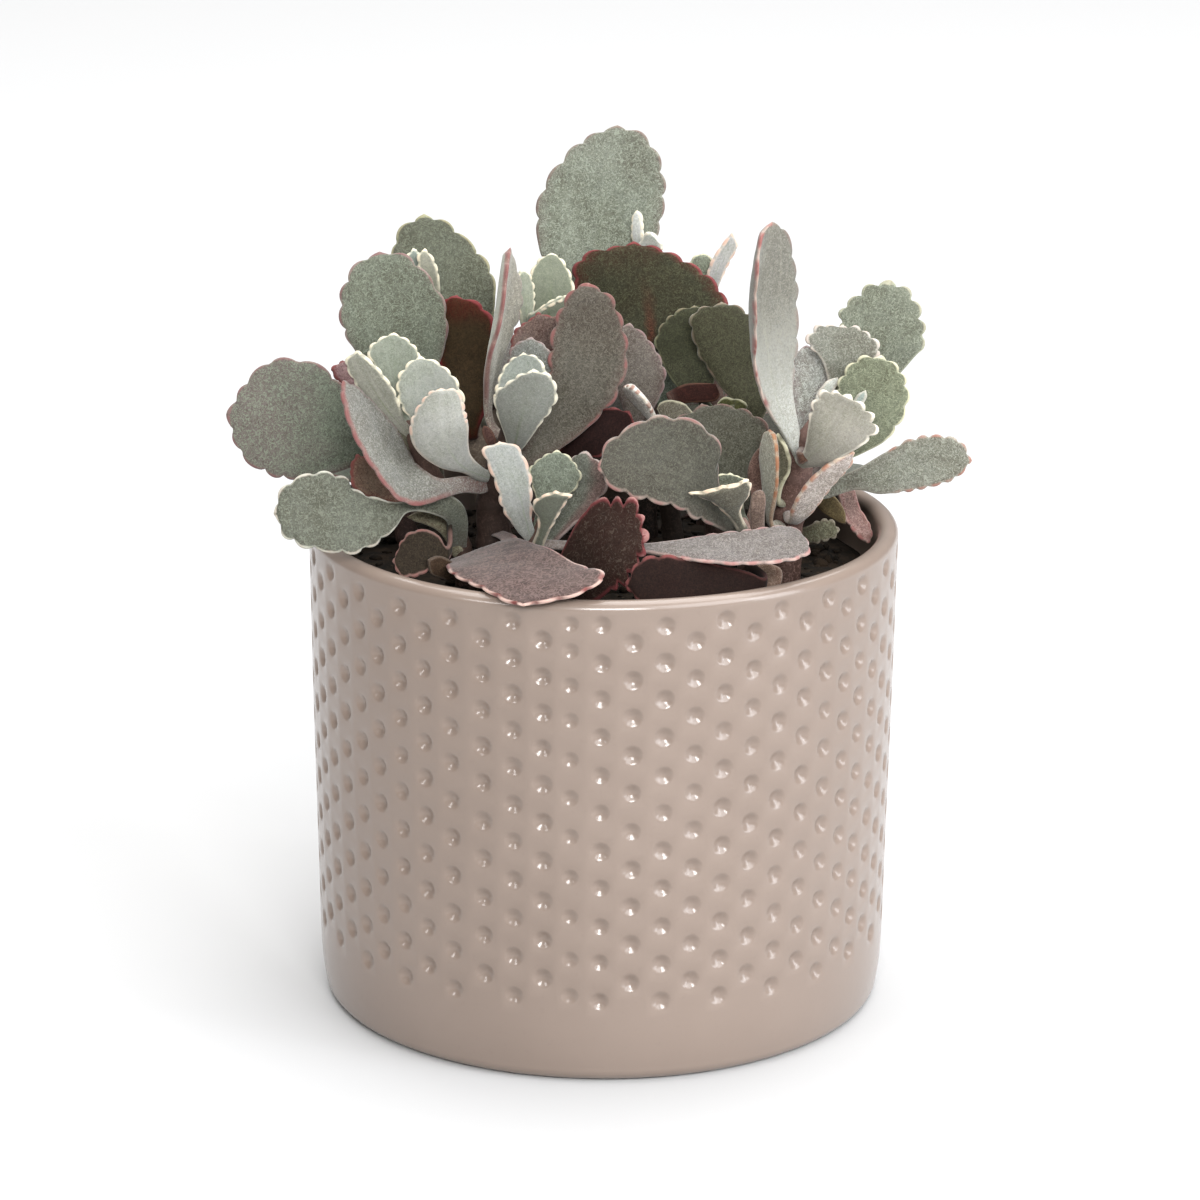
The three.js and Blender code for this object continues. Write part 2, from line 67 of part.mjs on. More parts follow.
  {n:"leaf_pink_front",g:"shoot_right_front",k:"pink",s:[[28.19,-25.58,102.19],[30.4,-24.41,104.03],[30.46,-26.3,109.3],[30.8,-26.1,113.34]],v:[[1.0,-0.018,-0.017],[1.0,-0.018,-0.017],[0.999,-0.021,-0.046],[0.996,-0.027,-0.082]],f:-1,R:[[0.0,1.3],[0.252,1.3],[0.508,1.29],[0.826,1.43],[0.975,0.83],[1.0,0.0]],L:[[0.0,1.3],[0.252,1.3],[0.4,1.45],[0.754,1.65],[0.941,1.31],[1.0,0.0]],c:[0.08, 0.08],h:1.7},
  {n:"leaf_green_edge_a",g:"",k:"greenorange",s:[[36.59,-11.06,102.73],[33.12,-20.0,104.65],[32.84,-23.0,115.58],[32.53,-22.0,124.52]],v:[[0.371,-0.897,-0.238],[0.371,-0.897,-0.238],[0.343,-0.936,-0.084],[0.319,-0.94,0.118]],f:-1,R:[[0.0,1.3],[0.199,1.35],[0.332,1.2],[0.412,1.4],[0.532,2.75],[0.666,4.25],[0.786,5.0],[0.893,4.4],[0.967,2.6],[1.0,0.0]],L:[[0.0,1.3],[0.199,1.35],[0.332,1.2],[0.412,1.4],[0.532,2.75],[0.666,4.25],[0.786,5.0],[0.893,4.4],[0.967,2.6],[1.0,0.0]],c:[0.08, 0.08],h:1.7},
  {n:"leaf_green_edge_b",g:"shoot_right",k:"green",s:[[37.39,-11.61,106.98],[34.19,-16.0,108.51],[35.63,-17.0,116.03],[34.52,-17.0,122.61]],v:[[0.724,-0.652,-0.226],[0.724,-0.652,-0.226],[0.779,-0.624,-0.062],[0.797,-0.589,0.136]],f:-1,R:[[0.0,1.3],[0.174,1.35],[0.29,1.3],[0.466,0.95],[0.674,1.77],[0.844,1.52],[1.0,0.0]],L:[[0.0,1.3],[0.174,1.35],[0.29,1.3],[0.493,1.56],[0.785,1.88],[0.938,1.09],[1.0,0.0]],c:[0.08, 0.08],h:1.7},
  {n:"leaf_tall_right",g:"",k:"tallpale",s:[[39.18,-13.0,116.01],[39.28,-15.0,116.55],[33.11,-19.0,131.5],[31.0,-20.0,150.36],[32.59,-18.0,165.15]],v:[[0.55,0.72,0.423],[0.55,0.72,0.423],[0.647,0.716,0.262],[0.717,0.697,-0.009],[0.719,0.673,-0.171]],f:-1,R:[[0.0,1.3],[0.059,1.3],[0.173,3.19],[0.355,5.85],[0.563,8.78],[0.743,9.57],[0.89,7.41],[0.979,3.84],[1.0,0.0]],L:[[0.0,1.3],[0.059,1.3],[0.209,1.7],[0.341,3.6],[0.482,6.2],[0.642,8.2],[0.812,8.2],[0.925,5.8],[0.976,3.0],[1.0,0.0]],c:[0.06, 0.85],h:2.1},
  {n:"leaf_lilac_inner",g:"",k:"lilac2",s:[[38.66,-12.65,113.81],[39.55,-9.0,115.36],[40.58,-8.0,127.12],[40.46,-6.0,137.76]],v:[[0.996,-0.027,-0.085],[0.996,-0.027,-0.085],[0.999,-0.013,-0.039],[1.0,0.003,0.011]],f:-1,R:[[0.0,1.3],[0.099,1.35],[0.164,1.3],[0.416,1.04],[0.622,2.38],[0.763,4.72],[0.893,3.77],[0.964,2.0],[1.0,0.0]],L:[[0.0,1.3],[0.099,1.35],[0.164,1.3],[0.403,2.15],[0.711,3.29],[0.937,2.42],[1.0,0.0]],c:[0.08, 0.08],h:1.7},
  {n:"leaf_wavy_right",g:"",k:"palewavy",s:[[44.11,-13.17,126.08],[45.09,-10.2,126.68],[46.93,-10.06,134.88],[47.49,-7.79,141.92]],v:[[0.974,-0.068,-0.217],[0.974,-0.068,-0.217],[0.988,-0.045,-0.148],[0.997,-0.022,-0.072]],f:-1,R:[[0.0,1.3],[0.181,1.3],[0.403,2.59],[0.628,5.21],[0.776,7.45],[0.912,5.9],[1.0,3.33],[1.0,0.0]],L:[[0.0,1.3],[0.181,1.3],[0.43,1.88],[0.66,4.15],[0.825,6.8],[0.95,5.73],[1.0,3.44],[1.0,0.0]],c:[0.15, 0.15],h:1.7},
  {n:"leaf_green_upper_right",g:"",k:"sagegreen",s:[[43.21,-13.56,124.74],[53.11,-2.02,128.17],[55.4,-0.3,137.71],[57.11,2.34,148.45]],v:[[0.973,-0.068,-0.222],[0.973,-0.068,-0.222],[0.982,-0.055,-0.182],[0.988,-0.044,-0.146]],f:-1,R:[[0.0,1.3],[0.258,1.35],[0.431,1.3],[0.502,3.89],[0.6,6.67],[0.702,8.61],[0.814,7.8],[0.924,5.73],[0.991,2.91],[1.0,0.0]],L:[[0.0,1.3],[0.258,1.35],[0.431,1.3],[0.542,4.84],[0.662,7.76],[0.823,8.35],[0.909,6.19],[0.979,3.35],[1.0,0.0]],c:[0.08, 0.08],h:1.7},
  {n:"leaf_green_right",g:"",k:"green",s:[[39.58,-13.23,117.28],[46.82,-12.0,116.41],[52.48,-14.0,126.67],[54.69,-13.0,137.08]],v:[[0.851,-0.156,-0.502],[0.851,-0.156,-0.502],[0.927,-0.112,-0.358],[0.978,-0.062,-0.199]],f:-1,R:[[0.0,1.3],[0.154,1.35],[0.256,1.3],[0.383,3.39],[0.507,5.64],[0.636,6.67],[0.761,6.93],[0.884,5.51],[0.979,2.78],[1.0,0.0]],L:[[0.0,1.3],[0.154,1.35],[0.256,1.3],[0.436,3.81],[0.611,6.63],[0.807,7.03],[0.93,5.22],[0.982,2.72],[1.0,0.0]],c:[0.08, 0.08],h:1.7},
  {n:"leaf_white_right",g:"",k:"white2",s:[[39.58,-13.23,117.28],[39.04,-25.06,118.43],[43.34,-31.22,125.98],[47.51,-30.8,133.36]],v:[[0.778,-0.19,-0.599],[0.778,-0.19,-0.599],[0.829,-0.167,-0.534],[0.865,-0.146,-0.48]],f:1,R:[[0.0,1.3],[0.232,1.35],[0.387,1.3],[0.533,3.42],[0.689,5.43],[0.791,7.07],[0.905,7.78],[0.968,5.31],[1.0,2.44],[1.0,0.0]],L:[[0.0,1.3],[0.232,1.35],[0.387,1.3],[0.551,1.85],[0.75,4.4],[0.91,5.35],[0.981,3.29],[1.0,0.0]],c:[0.1, 0.1],h:1.7},
  {n:"leaf_tiny_right",g:"shoot_right",k:"white",s:[[43.96,-13.23,125.86],[48.73,-17.0,127.41],[50.27,-17.0,129.47],[51.81,-17.0,131.52]],v:[[0.787,-0.179,-0.591],[0.787,-0.179,-0.591],[0.787,-0.179,-0.591],[0.787,-0.179,-0.591]],f:-1,R:[[0.0,1.3],[0.333,1.35],[0.555,1.3],[0.74,1.36],[0.916,1.02],[1.0,0.0]],L:[[0.0,1.3],[0.333,1.35],[0.555,1.3],[0.686,0.68],[0.86,0.74],[1.0,0.0]],c:[0.08, 0.08],h:1.7},
  {n:"leaf_sliver_right",g:"shoot_right",k:"white",s:[[44.11,-13.17,126.08],[43.37,-12.0,128.57],[44.52,-12.0,131.04],[46.53,-11.0,132.65]],v:[[0.901,-0.127,-0.416],[0.901,-0.127,-0.416],[0.799,-0.173,-0.575],[0.672,-0.214,-0.709]],f:-1,R:[[0.0,1.3],[0.345,1.3],[0.55,1.68],[0.893,1.07],[1.0,0.0]],L:[[0.0,1.3],[0.345,1.3],[0.553,1.0],[0.769,0.82],[1.0,0.0]],c:[0.08, 0.08],h:1.7},
  {n:"leaf_bud_right",g:"shoot_right",k:"bud",s:[[39.8,-13.36,117.91],[38.34,-26.95,120.15],[40.83,-28.02,121.07],[41.1,-29.32,124.86]],v:[[0.217,-0.278,-0.936],[0.217,-0.278,-0.936],[0.808,-0.177,-0.562],[0.996,-0.039,-0.079]],f:-1,R:[[0.0,1.3],[0.405,1.35],[0.675,1.3],[0.758,0.75],[0.856,0.92],[0.946,0.64],[1.0,0.0]],L:[[0.0,1.3],[0.405,1.35],[0.675,1.3],[0.708,1.1],[0.889,0.92],[0.967,0.5],[1.0,0.0]],c:[0.08, 0.08],h:1.7},
  {n:"leaf_edge_right",g:"",k:"edgepale",s:[[36.99,-11.33,105.09],[38.0,-22.0,105.87],[43.3,-28.0,115.58],[48.9,-31.0,122.72]],v:[[0.875,0.437,-0.207],[0.875,0.437,-0.207],[0.832,0.477,-0.283],[0.763,0.524,-0.379]],f:-1,R:[[0.0,1.3],[0.2,1.35],[0.333,1.3],[0.477,2.08],[0.702,2.46],[0.889,2.02],[1.0,0.0]],L:[[0.0,1.3],[0.2,1.35],[0.333,1.3],[0.457,2.93],[0.671,3.58],[0.883,2.21],[1.0,0.0]],c:[0.08, 0.08],h:1.9},
  {n:"leaf_right_long",g:"",k:"sagered",s:[[37.64,-11.78,108.08],[44.66,-10.0,108.79],[58.24,-13.0,113.64],[73.22,-15.0,116.55]],v:[[0.269,-0.277,-0.922],[0.269,-0.277,-0.922],[0.205,-0.282,-0.937],[0.145,-0.285,-0.947]],f:-1,R:[[0.0,1.3],[0.118,1.35],[0.197,1.5],[0.354,1.44],[0.479,3.59],[0.626,4.12],[0.777,3.95],[0.918,2.59],[1.0,0.0]],L:[[0.0,1.3],[0.118,1.35],[0.197,1.5],[0.295,2.11],[0.424,2.78],[0.586,4.52],[0.711,5.69],[0.843,5.81],[0.955,4.06],[1.0,0.0]],c:[0.08, 0.08],h:1.7},
  {n:"leaf_red_in_pot",g:"",k:"redpink",s:[[40.18,16.18,102.88],[48.02,8.0,105.34],[51.52,6.0,99.96],[54.29,2.0,94.51]],v:[[-0.753,-0.602,-0.268],[-0.753,-0.602,-0.268],[-0.816,-0.554,-0.166],[-0.865,-0.496,-0.075]],f:-1,R:[[0.0,1.3],[0.276,1.35],[0.459,1.3],[0.557,2.42],[0.721,2.95],[0.906,1.91],[1.0,0.0]],L:[[0.0,1.3],[0.276,1.35],[0.459,1.3],[0.547,1.98],[0.711,1.48],[0.84,1.96],[0.94,1.49],[1.0,0.0]],c:[0.08, 0.08],h:1.7},
  {n:"leaf_front_flat",g:"",k:"palepink",s:[[-13.43,-30.27,103.19],[6.87,-41.0,105.58],[18.66,-45.0,106.41],[30.33,-44.0,106.59],[39.81,-40.0,106.71]],v:[[-0.273,-0.878,-0.393],[-0.273,-0.878,-0.393],[-0.1,-0.924,-0.368],[0.219,-0.906,-0.363],[0.367,-0.853,-0.37]],f:-1,R:[[0.0,1.3],[0.24,1.35],[0.401,1.3],[0.496,2.09],[0.618,3.76],[0.767,5.02],[0.878,5.06],[0.963,3.83],[1.0,0.0]],L:[[0.0,1.3],[0.24,1.35],[0.401,1.3],[0.503,2.47],[0.634,4.39],[0.773,5.28],[0.923,5.68],[0.984,4.41],[1.0,0.0]],c:[0.08, 0.08],h:1.7},
  {n:"leaf_dark_low",g:"",k:"darkgreen",s:[[28.54,-24.94,97.62],[31.28,-42.33,98.81],[18.67,-47.76,101.16],[4.34,-49.08,100.25]],v:[[0.055,0.287,0.956],[0.055,0.287,0.956],[-0.021,0.288,0.957],[-0.087,0.287,0.954]],f:-1,R:[[0.0,1.3],[0.235,1.35],[0.392,1.3],[0.488,2.42],[0.691,3.68],[0.847,5.15],[0.944,4.24],[1.0,0.0]],L:[[0.0,1.3],[0.235,1.35],[0.392,1.3],[0.5,3.48],[0.667,5.23],[0.828,5.05],[0.947,3.13],[1.0,0.0]],c:[0.08, 0.08],h:1.7},
  {n:"leaf_green_mid",g:"",k:"deepgreen",s:[[22.98,19.55,115.83],[19.9,8.0,123.36],[17.84,12.0,131.39],[18.17,14.0,140.97]],v:[[0.974,0.065,0.219],[0.974,0.065,0.219],[0.996,0.027,0.089],[0.999,-0.01,-0.034]],f:-1,R:[[0.0,1.3],[0.261,1.35],[0.434,1.3],[0.519,3.71],[0.77,6.2],[0.944,4.42],[0.997,2.05],[1.0,0.0]],L:[[0.0,1.3],[0.261,1.35],[0.434,1.3],[0.544,4.54],[0.708,6.57],[0.802,7.32],[0.909,5.53],[0.971,2.81],[1.0,0.0]],c:[0.08, 0.08],h:1.7},
  {n:"leaf_olive_mid",g:"",k:"olivegrey",s:[[23.37,18.04,108.57],[30.36,1.0,118.92],[27.05,5.0,131.06],[23.71,8.0,143.02]],v:[[0.968,0.072,0.24],[0.968,0.072,0.24],[0.967,0.074,0.245],[0.965,0.075,0.25]],f:1,R:[[0.0,1.3],[0.275,1.35],[0.458,1.3],[0.557,4.15],[0.701,5.89],[0.843,6.4],[0.92,4.87],[0.976,2.64],[1.0,0.0]],L:[[0.0,1.3],[0.275,1.35],[0.458,1.3],[0.549,2.45],[0.69,5.13],[0.825,7.04],[0.947,7.16],[0.997,5.26],[1.0,2.46],[1.0,0.0]],c:[0.08, 0.08],h:1.7},
  {n:"leaf_tip_right_back_a",g:"shoot_back_right",k:"green",s:[[20.54,26.94,137.92],[20.06,27.21,141.1],[19.81,27.2,145.33],[20.17,27.18,149.13]],v:[[0.998,0.016,0.062],[0.998,0.016,0.062],[1.0,-0.006,-0.014],[0.995,-0.03,-0.097]],f:-1,R:[[0.0,1.3],[0.286,1.3],[0.581,2.27],[0.843,2.53],[0.976,1.28],[1.0,0.0]],L:[[0.0,1.3],[0.286,1.3],[0.522,1.9],[0.752,2.55],[0.923,1.77],[1.0,0.0]],c:[0.08, 0.08],h:1.7},
  {n:"leaf_tip_right_back_b",g:"shoot_back_right",k:"white",s:[[20.56,26.89,137.66],[21.09,25.79,139.73],[23.24,24.81,147.36],[26.03,24.86,154.09]],v:[[0.943,0.233,-0.236],[0.943,0.233,-0.236],[0.925,0.229,-0.304],[0.9,0.222,-0.376]],f:-1,R:[[0.0,1.3],[0.138,1.3],[0.425,1.66],[0.715,2.14],[0.886,2.16],[1.0,0.0]],L:[[0.0,1.3],[0.138,1.3],[0.394,1.59],[0.619,1.61],[0.837,0.8],[1.0,0.0]],c:[0.08, 0.08],h:1.7},
  {n:"leaf_green_low_mid",g:"shoot_mid",k:"green",s:[[10.41,-5.99,117.41],[17.3,-2.0,120.88],[13.65,-2.0,122.94],[10.61,-2.0,123.55]],v:[[0.476,0.253,0.842],[0.476,0.253,0.842],[0.357,0.269,0.895],[0.186,0.283,0.941]],f:-1,R:[[0.0,1.3],[0.333,1.35],[0.555,1.3],[0.698,2.37],[0.85,2.3],[0.974,1.3],[1.0,0.0]],L:[[0.0,1.3],[0.333,1.35],[0.555,1.3],[0.647,1.37],[0.892,1.99],[1.0,0.0]],c:[0.08, 0.08],h:1.7},
  {n:"leaf_green_low_mid_b",g:"shoot_back_right",k:"green",s:[[23.32,18.24,109.88],[27.81,-1.0,122.77],[25.39,0.0,124.17],[22.56,0.0,124.15]],v:[[0.56,0.237,0.794],[0.56,0.237,0.794],[0.293,0.275,0.916],[-0.009,0.289,0.957]],f:-1,R:[[0.0,1.3],[0.489,1.35],[0.815,1.3],[0.893,1.14],[0.947,1.3],[1.0,0.0]],L:[[0.0,1.3],[0.489,1.35],[0.815,1.3],[0.853,0.5],[0.95,1.12],[1.0,0.0]],c:[0.08, 0.08],h:1.7},
  {n:"leaf_tip_top_a",g:"shoot_top",k:"white",s:[[8.24,27.97,145.95],[8.41,27.64,149.38],[6.71,26.6,153.81],[6.47,26.54,158.22]],v:[[0.9,-0.346,0.265],[0.9,-0.346,0.265],[0.901,-0.408,0.147],[0.882,-0.469,0.041]],f:-1,R:[[0.0,1.3],[0.272,1.3],[0.474,0.92],[0.765,1.37],[0.952,0.92],[1.0,0.0]],L:[[0.0,1.3],[0.272,1.3],[0.474,1.87],[0.699,1.3],[0.917,0.96],[1.0,0.0]],c:[0.08, 0.08],h:1.7},
  {n:"leaf_tip_top_b",g:"shoot_top",k:"mintgrey",s:[[8.25,27.94,145.56],[7.15,25.18,149.07],[9.19,24.2,151.4],[10.6,23.23,153.3]],v:[[0.697,-0.196,-0.69],[0.697,-0.196,-0.69],[0.717,-0.189,-0.671],[0.743,-0.179,-0.645]],f:-1,R:[[0.0,1.3],[0.269,1.35],[0.448,1.3],[0.632,1.74],[0.866,2.38],[0.971,1.58],[1.0,0.0]],L:[[0.0,1.3],[0.269,1.35],[0.448,1.3],[0.663,2.05],[0.892,2.41],[0.998,1.89],[1.0,0.0]],c:[0.08, 0.08],h:1.7},
  {n:"leaf_pot_left_a",g:"",k:"dullgrey",s:[[-30.62,-15.96,104.03],[-30.66,-32.08,101.96],[-35.09,-34.26,103.38],[-41.31,-36.13,101.23]],v:[[0.014,0.531,0.847],[0.014,0.531,0.847],[-0.266,0.558,0.786],[-0.418,0.562,0.714]],f:-1,R:[[0.0,1.3],[0.35,1.35],[0.584,1.3],[0.7,2.95],[0.771,3.87],[0.873,3.03],[1.0,0.0]],L:[[0.0,1.3],[0.35,1.35],[0.584,1.3],[0.635,2.51],[0.837,5.14],[0.988,3.99],[1.0,0.0]],c:[0.08, 0.08],h:1.7},
  {n:"leaf_pot_left_b",g:"",k:"dullpurple",s:[[-28.81,-13.82,96.65],[-29.21,-16.13,97.34],[-31.52,-18.1,103.31],[-35.65,-19.57,106.18],[-39.37,-21.03,105.95]],v:[[0.912,0.125,0.392],[0.912,0.125,0.392],[0.753,0.193,0.628],[0.213,0.28,0.936],[-0.175,0.281,0.943]],f:-1,R:[[0.0,1.3],[0.14,1.3],[0.359,0.5],[0.583,1.06],[0.793,0.78],[1.0,0.0]],L:[[0.0,1.3],[0.14,1.3],[0.223,1.18],[0.56,1.97],[0.855,1.84],[1.0,0.0]],c:[0.08, 0.08],h:1.7},
  {n:"leaf_front_bend",g:"",k:"maroonlilac",s:[[-22.11,-14.2,101.07],[-18.75,-27.0,103.23],[-17.52,-39.0,103.43],[-16.1,-52.5,101.95],[-15.36,-61.5,100.25]],v:[[-0.951,-0.102,-0.292],[-0.951,-0.102,-0.292],[-0.966,-0.088,-0.244],[-0.981,-0.069,-0.182],[-0.989,-0.055,-0.137]],f:-1,R:[[0.0,1.3],[0.167,1.35],[0.278,1.6],[0.278,2.01],[0.278,5.32],[0.285,8.95],[0.337,13.16],[0.549,13.16],[0.677,10.98],[0.794,7.79],[0.92,4.21],[1.0,0.0]],L:[[0.0,1.3],[0.167,1.35],[0.278,1.6],[0.322,1.69],[0.448,4.23],[0.583,7.37],[0.771,11.96],[0.89,15.99],[0.948,14.6],[1.0,10.2],[1.0,5.13],[1.0,0.0]],c:[0.03, 0.03],h:1.7},
  {n:"leaf_dark_teeth",g:"",k:"darkhairy",s:[[-14.95,-28.62,99.43],[-9.35,-34.0,96.9],[-0.72,-41.0,104.52],[7.6,-44.0,108.88]],v:[[0.358,-0.449,-0.818],[0.358,-0.449,-0.818],[0.334,-0.435,-0.836],[0.303,-0.408,-0.861]],f:-1,R:[[0.0,1.3],[0.159,1.35],[0.265,1.3],[0.3,6.01],[0.428,7.3],[0.55,7.82],[0.774,6.89],[0.889,4.65],[0.969,2.39],[1.0,0.0]],L:[[0.0,1.3],[0.159,1.35],[0.265,1.3],[0.419,4.89],[0.689,8.75],[0.774,9.72],[0.913,7.91],[1.0,6.61],[1.0,4.2],[1.0,0.0]],c:[0.08, 0.08],h:1.7},
  {n:"leaf_low_behind",g:"shoot_left",k:"olivegrey",s:[[-31.08,-16.65,105.84],[-31.41,-15.02,107.84],[-34.22,-19.37,113.57],[-37.28,-21.61,118.88],[-40.58,-22.21,124.34]],v:[[0.773,0.262,0.578],[0.773,0.262,0.578],[0.768,0.281,0.576],[0.78,0.311,0.543],[0.795,0.319,0.516]],f:-1,R:[[0.0,1.3],[0.124,1.5],[0.229,1.2],[0.387,2.37],[0.562,3.65],[0.72,4.3],[0.86,3.78],[0.956,2.24],[1.0,0.0]],L:[[0.0,1.3],[0.124,1.5],[0.229,1.2],[0.387,2.37],[0.562,3.65],[0.72,4.3],[0.86,3.78],[0.956,2.24],[1.0,0.0]],c:[0.08, 0.08],h:1.7},
  {n:"leaf_tip_brown",g:"shoot_center",k:"dry",s:[[-21.05,-17.52,116.05],[-21.94,-17.0,117.74],[-22.46,-20.0,121.41],[-23.82,-21.0,124.73]],v:[[0.978,0.07,0.195],[0.978,0.07,0.195],[0.945,0.099,0.31],[0.905,0.125,0.408]],f:-1,R:[[0.0,1.3],[0.198,0.7],[0.294,0.31],[0.439,0.61],[0.599,0.94],[0.743,1.1],[0.872,0.97],[0.96,0.57],[1.0,0.0]],L:[[0.0,1.3],[0.198,0.7],[0.294,0.31],[0.439,0.61],[0.599,0.94],[0.743,1.1],[0.872,0.97],[0.96,0.57],[1.0,0.0]],c:[0.08, 0.08],h:0.9},
  {n:"leaf_rear_a",g:"shoot_rear_left",k:"sage2",s:[[-22.25,35.68,110.49],[-27.0,38.0,112.0],[-36.0,50.0,128.0],[-38.0,58.0,143.0]],v:[[0.797,-0.174,0.578],[0.797,-0.174,0.578],[0.909,-0.12,0.4],[0.987,-0.047,0.157]],f:1,R:[[0.0,1.3],[0.079,1.35],[0.132,1.4],[0.236,2.75],[0.392,6.25],[0.566,10.5],[0.722,12.5],[0.861,11.0],[0.957,6.25],[1.0,0.0]],L:[[0.0,1.3],[0.079,1.35],[0.132,1.4],[0.236,2.75],[0.392,6.25],[0.566,10.5],[0.722,12.5],[0.861,11.0],[0.957,6.25],[1.0,0.0]],c:[0.1, 0.1],h:1.7},
  {n:"leaf_rear_b",g:"shoot_rear_left",k:"sagelilac",s:[[-22.71,35.1,108.1],[-20.0,40.0,108.0],[-12.0,48.0,118.0],[-10.0,53.0,129.0]],v:[[0.824,-0.137,-0.549],[0.824,-0.137,-0.549],[0.927,-0.217,-0.307],[0.959,-0.278,-0.048]],f:1,R:[[0.0,1.3],[0.106,1.35],[0.177,1.4],[0.276,2.31],[0.424,5.25],[0.589,8.82],[0.737,10.5],[0.868,9.24],[0.959,5.25],[1.0,0.0]],L:[[0.0,1.3],[0.106,1.35],[0.177,1.4],[0.276,2.31],[0.424,5.25],[0.589,8.82],[0.737,10.5],[0.868,9.24],[0.959,5.25],[1.0,0.0]],c:[0.1, 0.1],h:1.7},
  {n:"leaf_rear_c",g:"shoot_rear_left",k:"purplegrey",s:[[-23.98,33.06,100.26],[-27.0,33.0,102.0],[-42.0,40.26,107.92],[-54.0,47.37,111.89]],v:[[-0.255,-0.871,0.42],[-0.255,-0.871,0.42],[-0.316,-0.864,0.392],[-0.386,-0.851,0.356]],f:1,R:[[0.0,1.3],[0.104,1.4],[0.212,2.53],[0.373,5.75],[0.552,9.66],[0.713,11.5],[0.857,10.12],[0.955,5.75],[1.0,0.0]],L:[[0.0,1.3],[0.104,1.4],[0.212,2.53],[0.373,5.75],[0.552,9.66],[0.713,11.5],[0.857,10.12],[0.955,5.75],[1.0,0.0]],c:[0.1, 0.1],h:1.7},
  {n:"leaf_rear_d",g:"shoot_rear_left",k:"sagegrey",s:[[-24.12,32.43,97.46],[-22.0,36.0,98.0],[-22.0,50.0,102.0],[-21.0,64.0,104.0]],v:[[-1.0,0.0,0.0],[-1.0,0.0,0.0],[-0.999,0.038,-0.011],[-0.997,0.074,-0.022]],f:1,R:[[0.0,1.3],[0.079,1.35],[0.132,1.4],[0.236,2.64],[0.392,6.0],[0.566,10.08],[0.722,12.0],[0.861,10.56],[0.957,6.0],[1.0,0.0]],L:[[0.0,1.3],[0.079,1.35],[0.132,1.4],[0.236,2.64],[0.392,6.0],[0.566,10.08],[0.722,12.0],[0.861,10.56],[0.957,6.0],[1.0,0.0]],c:[0.1, 0.1],h:1.7},
  {n:"leaf_rear_e",g:"shoot_rear_right",k:"sage",s:[[25.96,36.74,106.13],[29.0,40.0,106.0],[32.0,50.0,114.0],[32.0,56.0,123.0]],v:[[0.847,0.153,-0.508],[0.847,0.153,-0.508],[0.969,0.071,-0.238],[1.0,0.0,0.0]],f:1,R:[[0.0,1.3],[0.099,1.35],[0.165,1.4],[0.265,2.31],[0.416,5.25],[0.583,8.82],[0.733,10.5],[0.866,9.24],[0.958,5.25],[1.0,0.0]],L:[[0.0,1.3],[0.099,1.35],[0.165,1.4],[0.265,2.31],[0.416,5.25],[0.583,8.82],[0.733,10.5],[0.866,9.24],[0.958,5.25],[1.0,0.0]],c:[0.1, 0.1],h:1.7},
  {n:"leaf_rear_f",g:"shoot_rear_right",k:"purplegrey",s:[[27.39,37.07,112.21],[22.0,40.0,114.0],[14.0,52.0,126.0],[9.0,60.0,139.0]],v:[[0.879,0.126,0.46],[0.879,0.126,0.46],[0.924,0.175,0.34],[0.949,0.215,0.233]],f:1,R:[[0.0,1.3],[0.096,1.35],[0.16,1.4],[0.261,2.53],[0.412,5.75],[0.58,9.66],[0.731,11.5],[0.866,10.12],[0.958,5.75],[1.0,0.0]],L:[[0.0,1.3],[0.096,1.35],[0.16,1.4],[0.261,2.53],[0.412,5.75],[0.58,9.66],[0.731,11.5],[0.866,10.12],[0.958,5.75],[1.0,0.0]],c:[0.1, 0.1],h:1.7},
  {n:"leaf_rear_g",g:"shoot_rear_right",k:"sage2",s:[[24.39,36.2,100.67],[28.0,38.0,101.0],[43.0,46.88,105.74],[56.0,54.25,106.62]],v:[[-0.447,0.869,-0.213],[-0.447,0.869,-0.213],[-0.46,0.864,-0.208],[-0.473,0.858,-0.201]],f:1,R:[[0.0,1.3],[0.066,1.35],[0.11,1.4],[0.217,2.53],[0.377,5.75],[0.555,9.66],[0.715,11.5],[0.858,10.12],[0.956,5.75],[1.0,0.0]],L:[[0.0,1.3],[0.066,1.35],[0.11,1.4],[0.217,2.53],[0.377,5.75],[0.555,9.66],[0.715,11.5],[0.858,10.12],[0.956,5.75],[1.0,0.0]],c:[0.1, 0.1],h:1.7},
  {n:"leaf_rear_h",g:"shoot_rear_right",k:"maroonlilac",s:[[23.56,35.68,96.65],[23.0,39.0,98.0],[20.0,53.0,102.0],[16.0,66.0,101.0]],v:[[-0.974,-0.221,0.044],[-0.974,-0.221,0.044],[-0.965,-0.256,0.051],[-0.955,-0.29,0.058]],f:1,R:[[0.0,1.3],[0.113,1.4],[0.219,2.42],[0.379,5.5],[0.556,9.24],[0.716,11.0],[0.858,9.68],[0.956,5.5],[1.0,0.0]],L:[[0.0,1.3],[0.113,1.4],[0.219,2.42],[0.379,5.5],[0.556,9.24],[0.716,11.0],[0.858,9.68],[0.956,5.5],[1.0,0.0]],c:[0.1, 0.1],h:1.7},
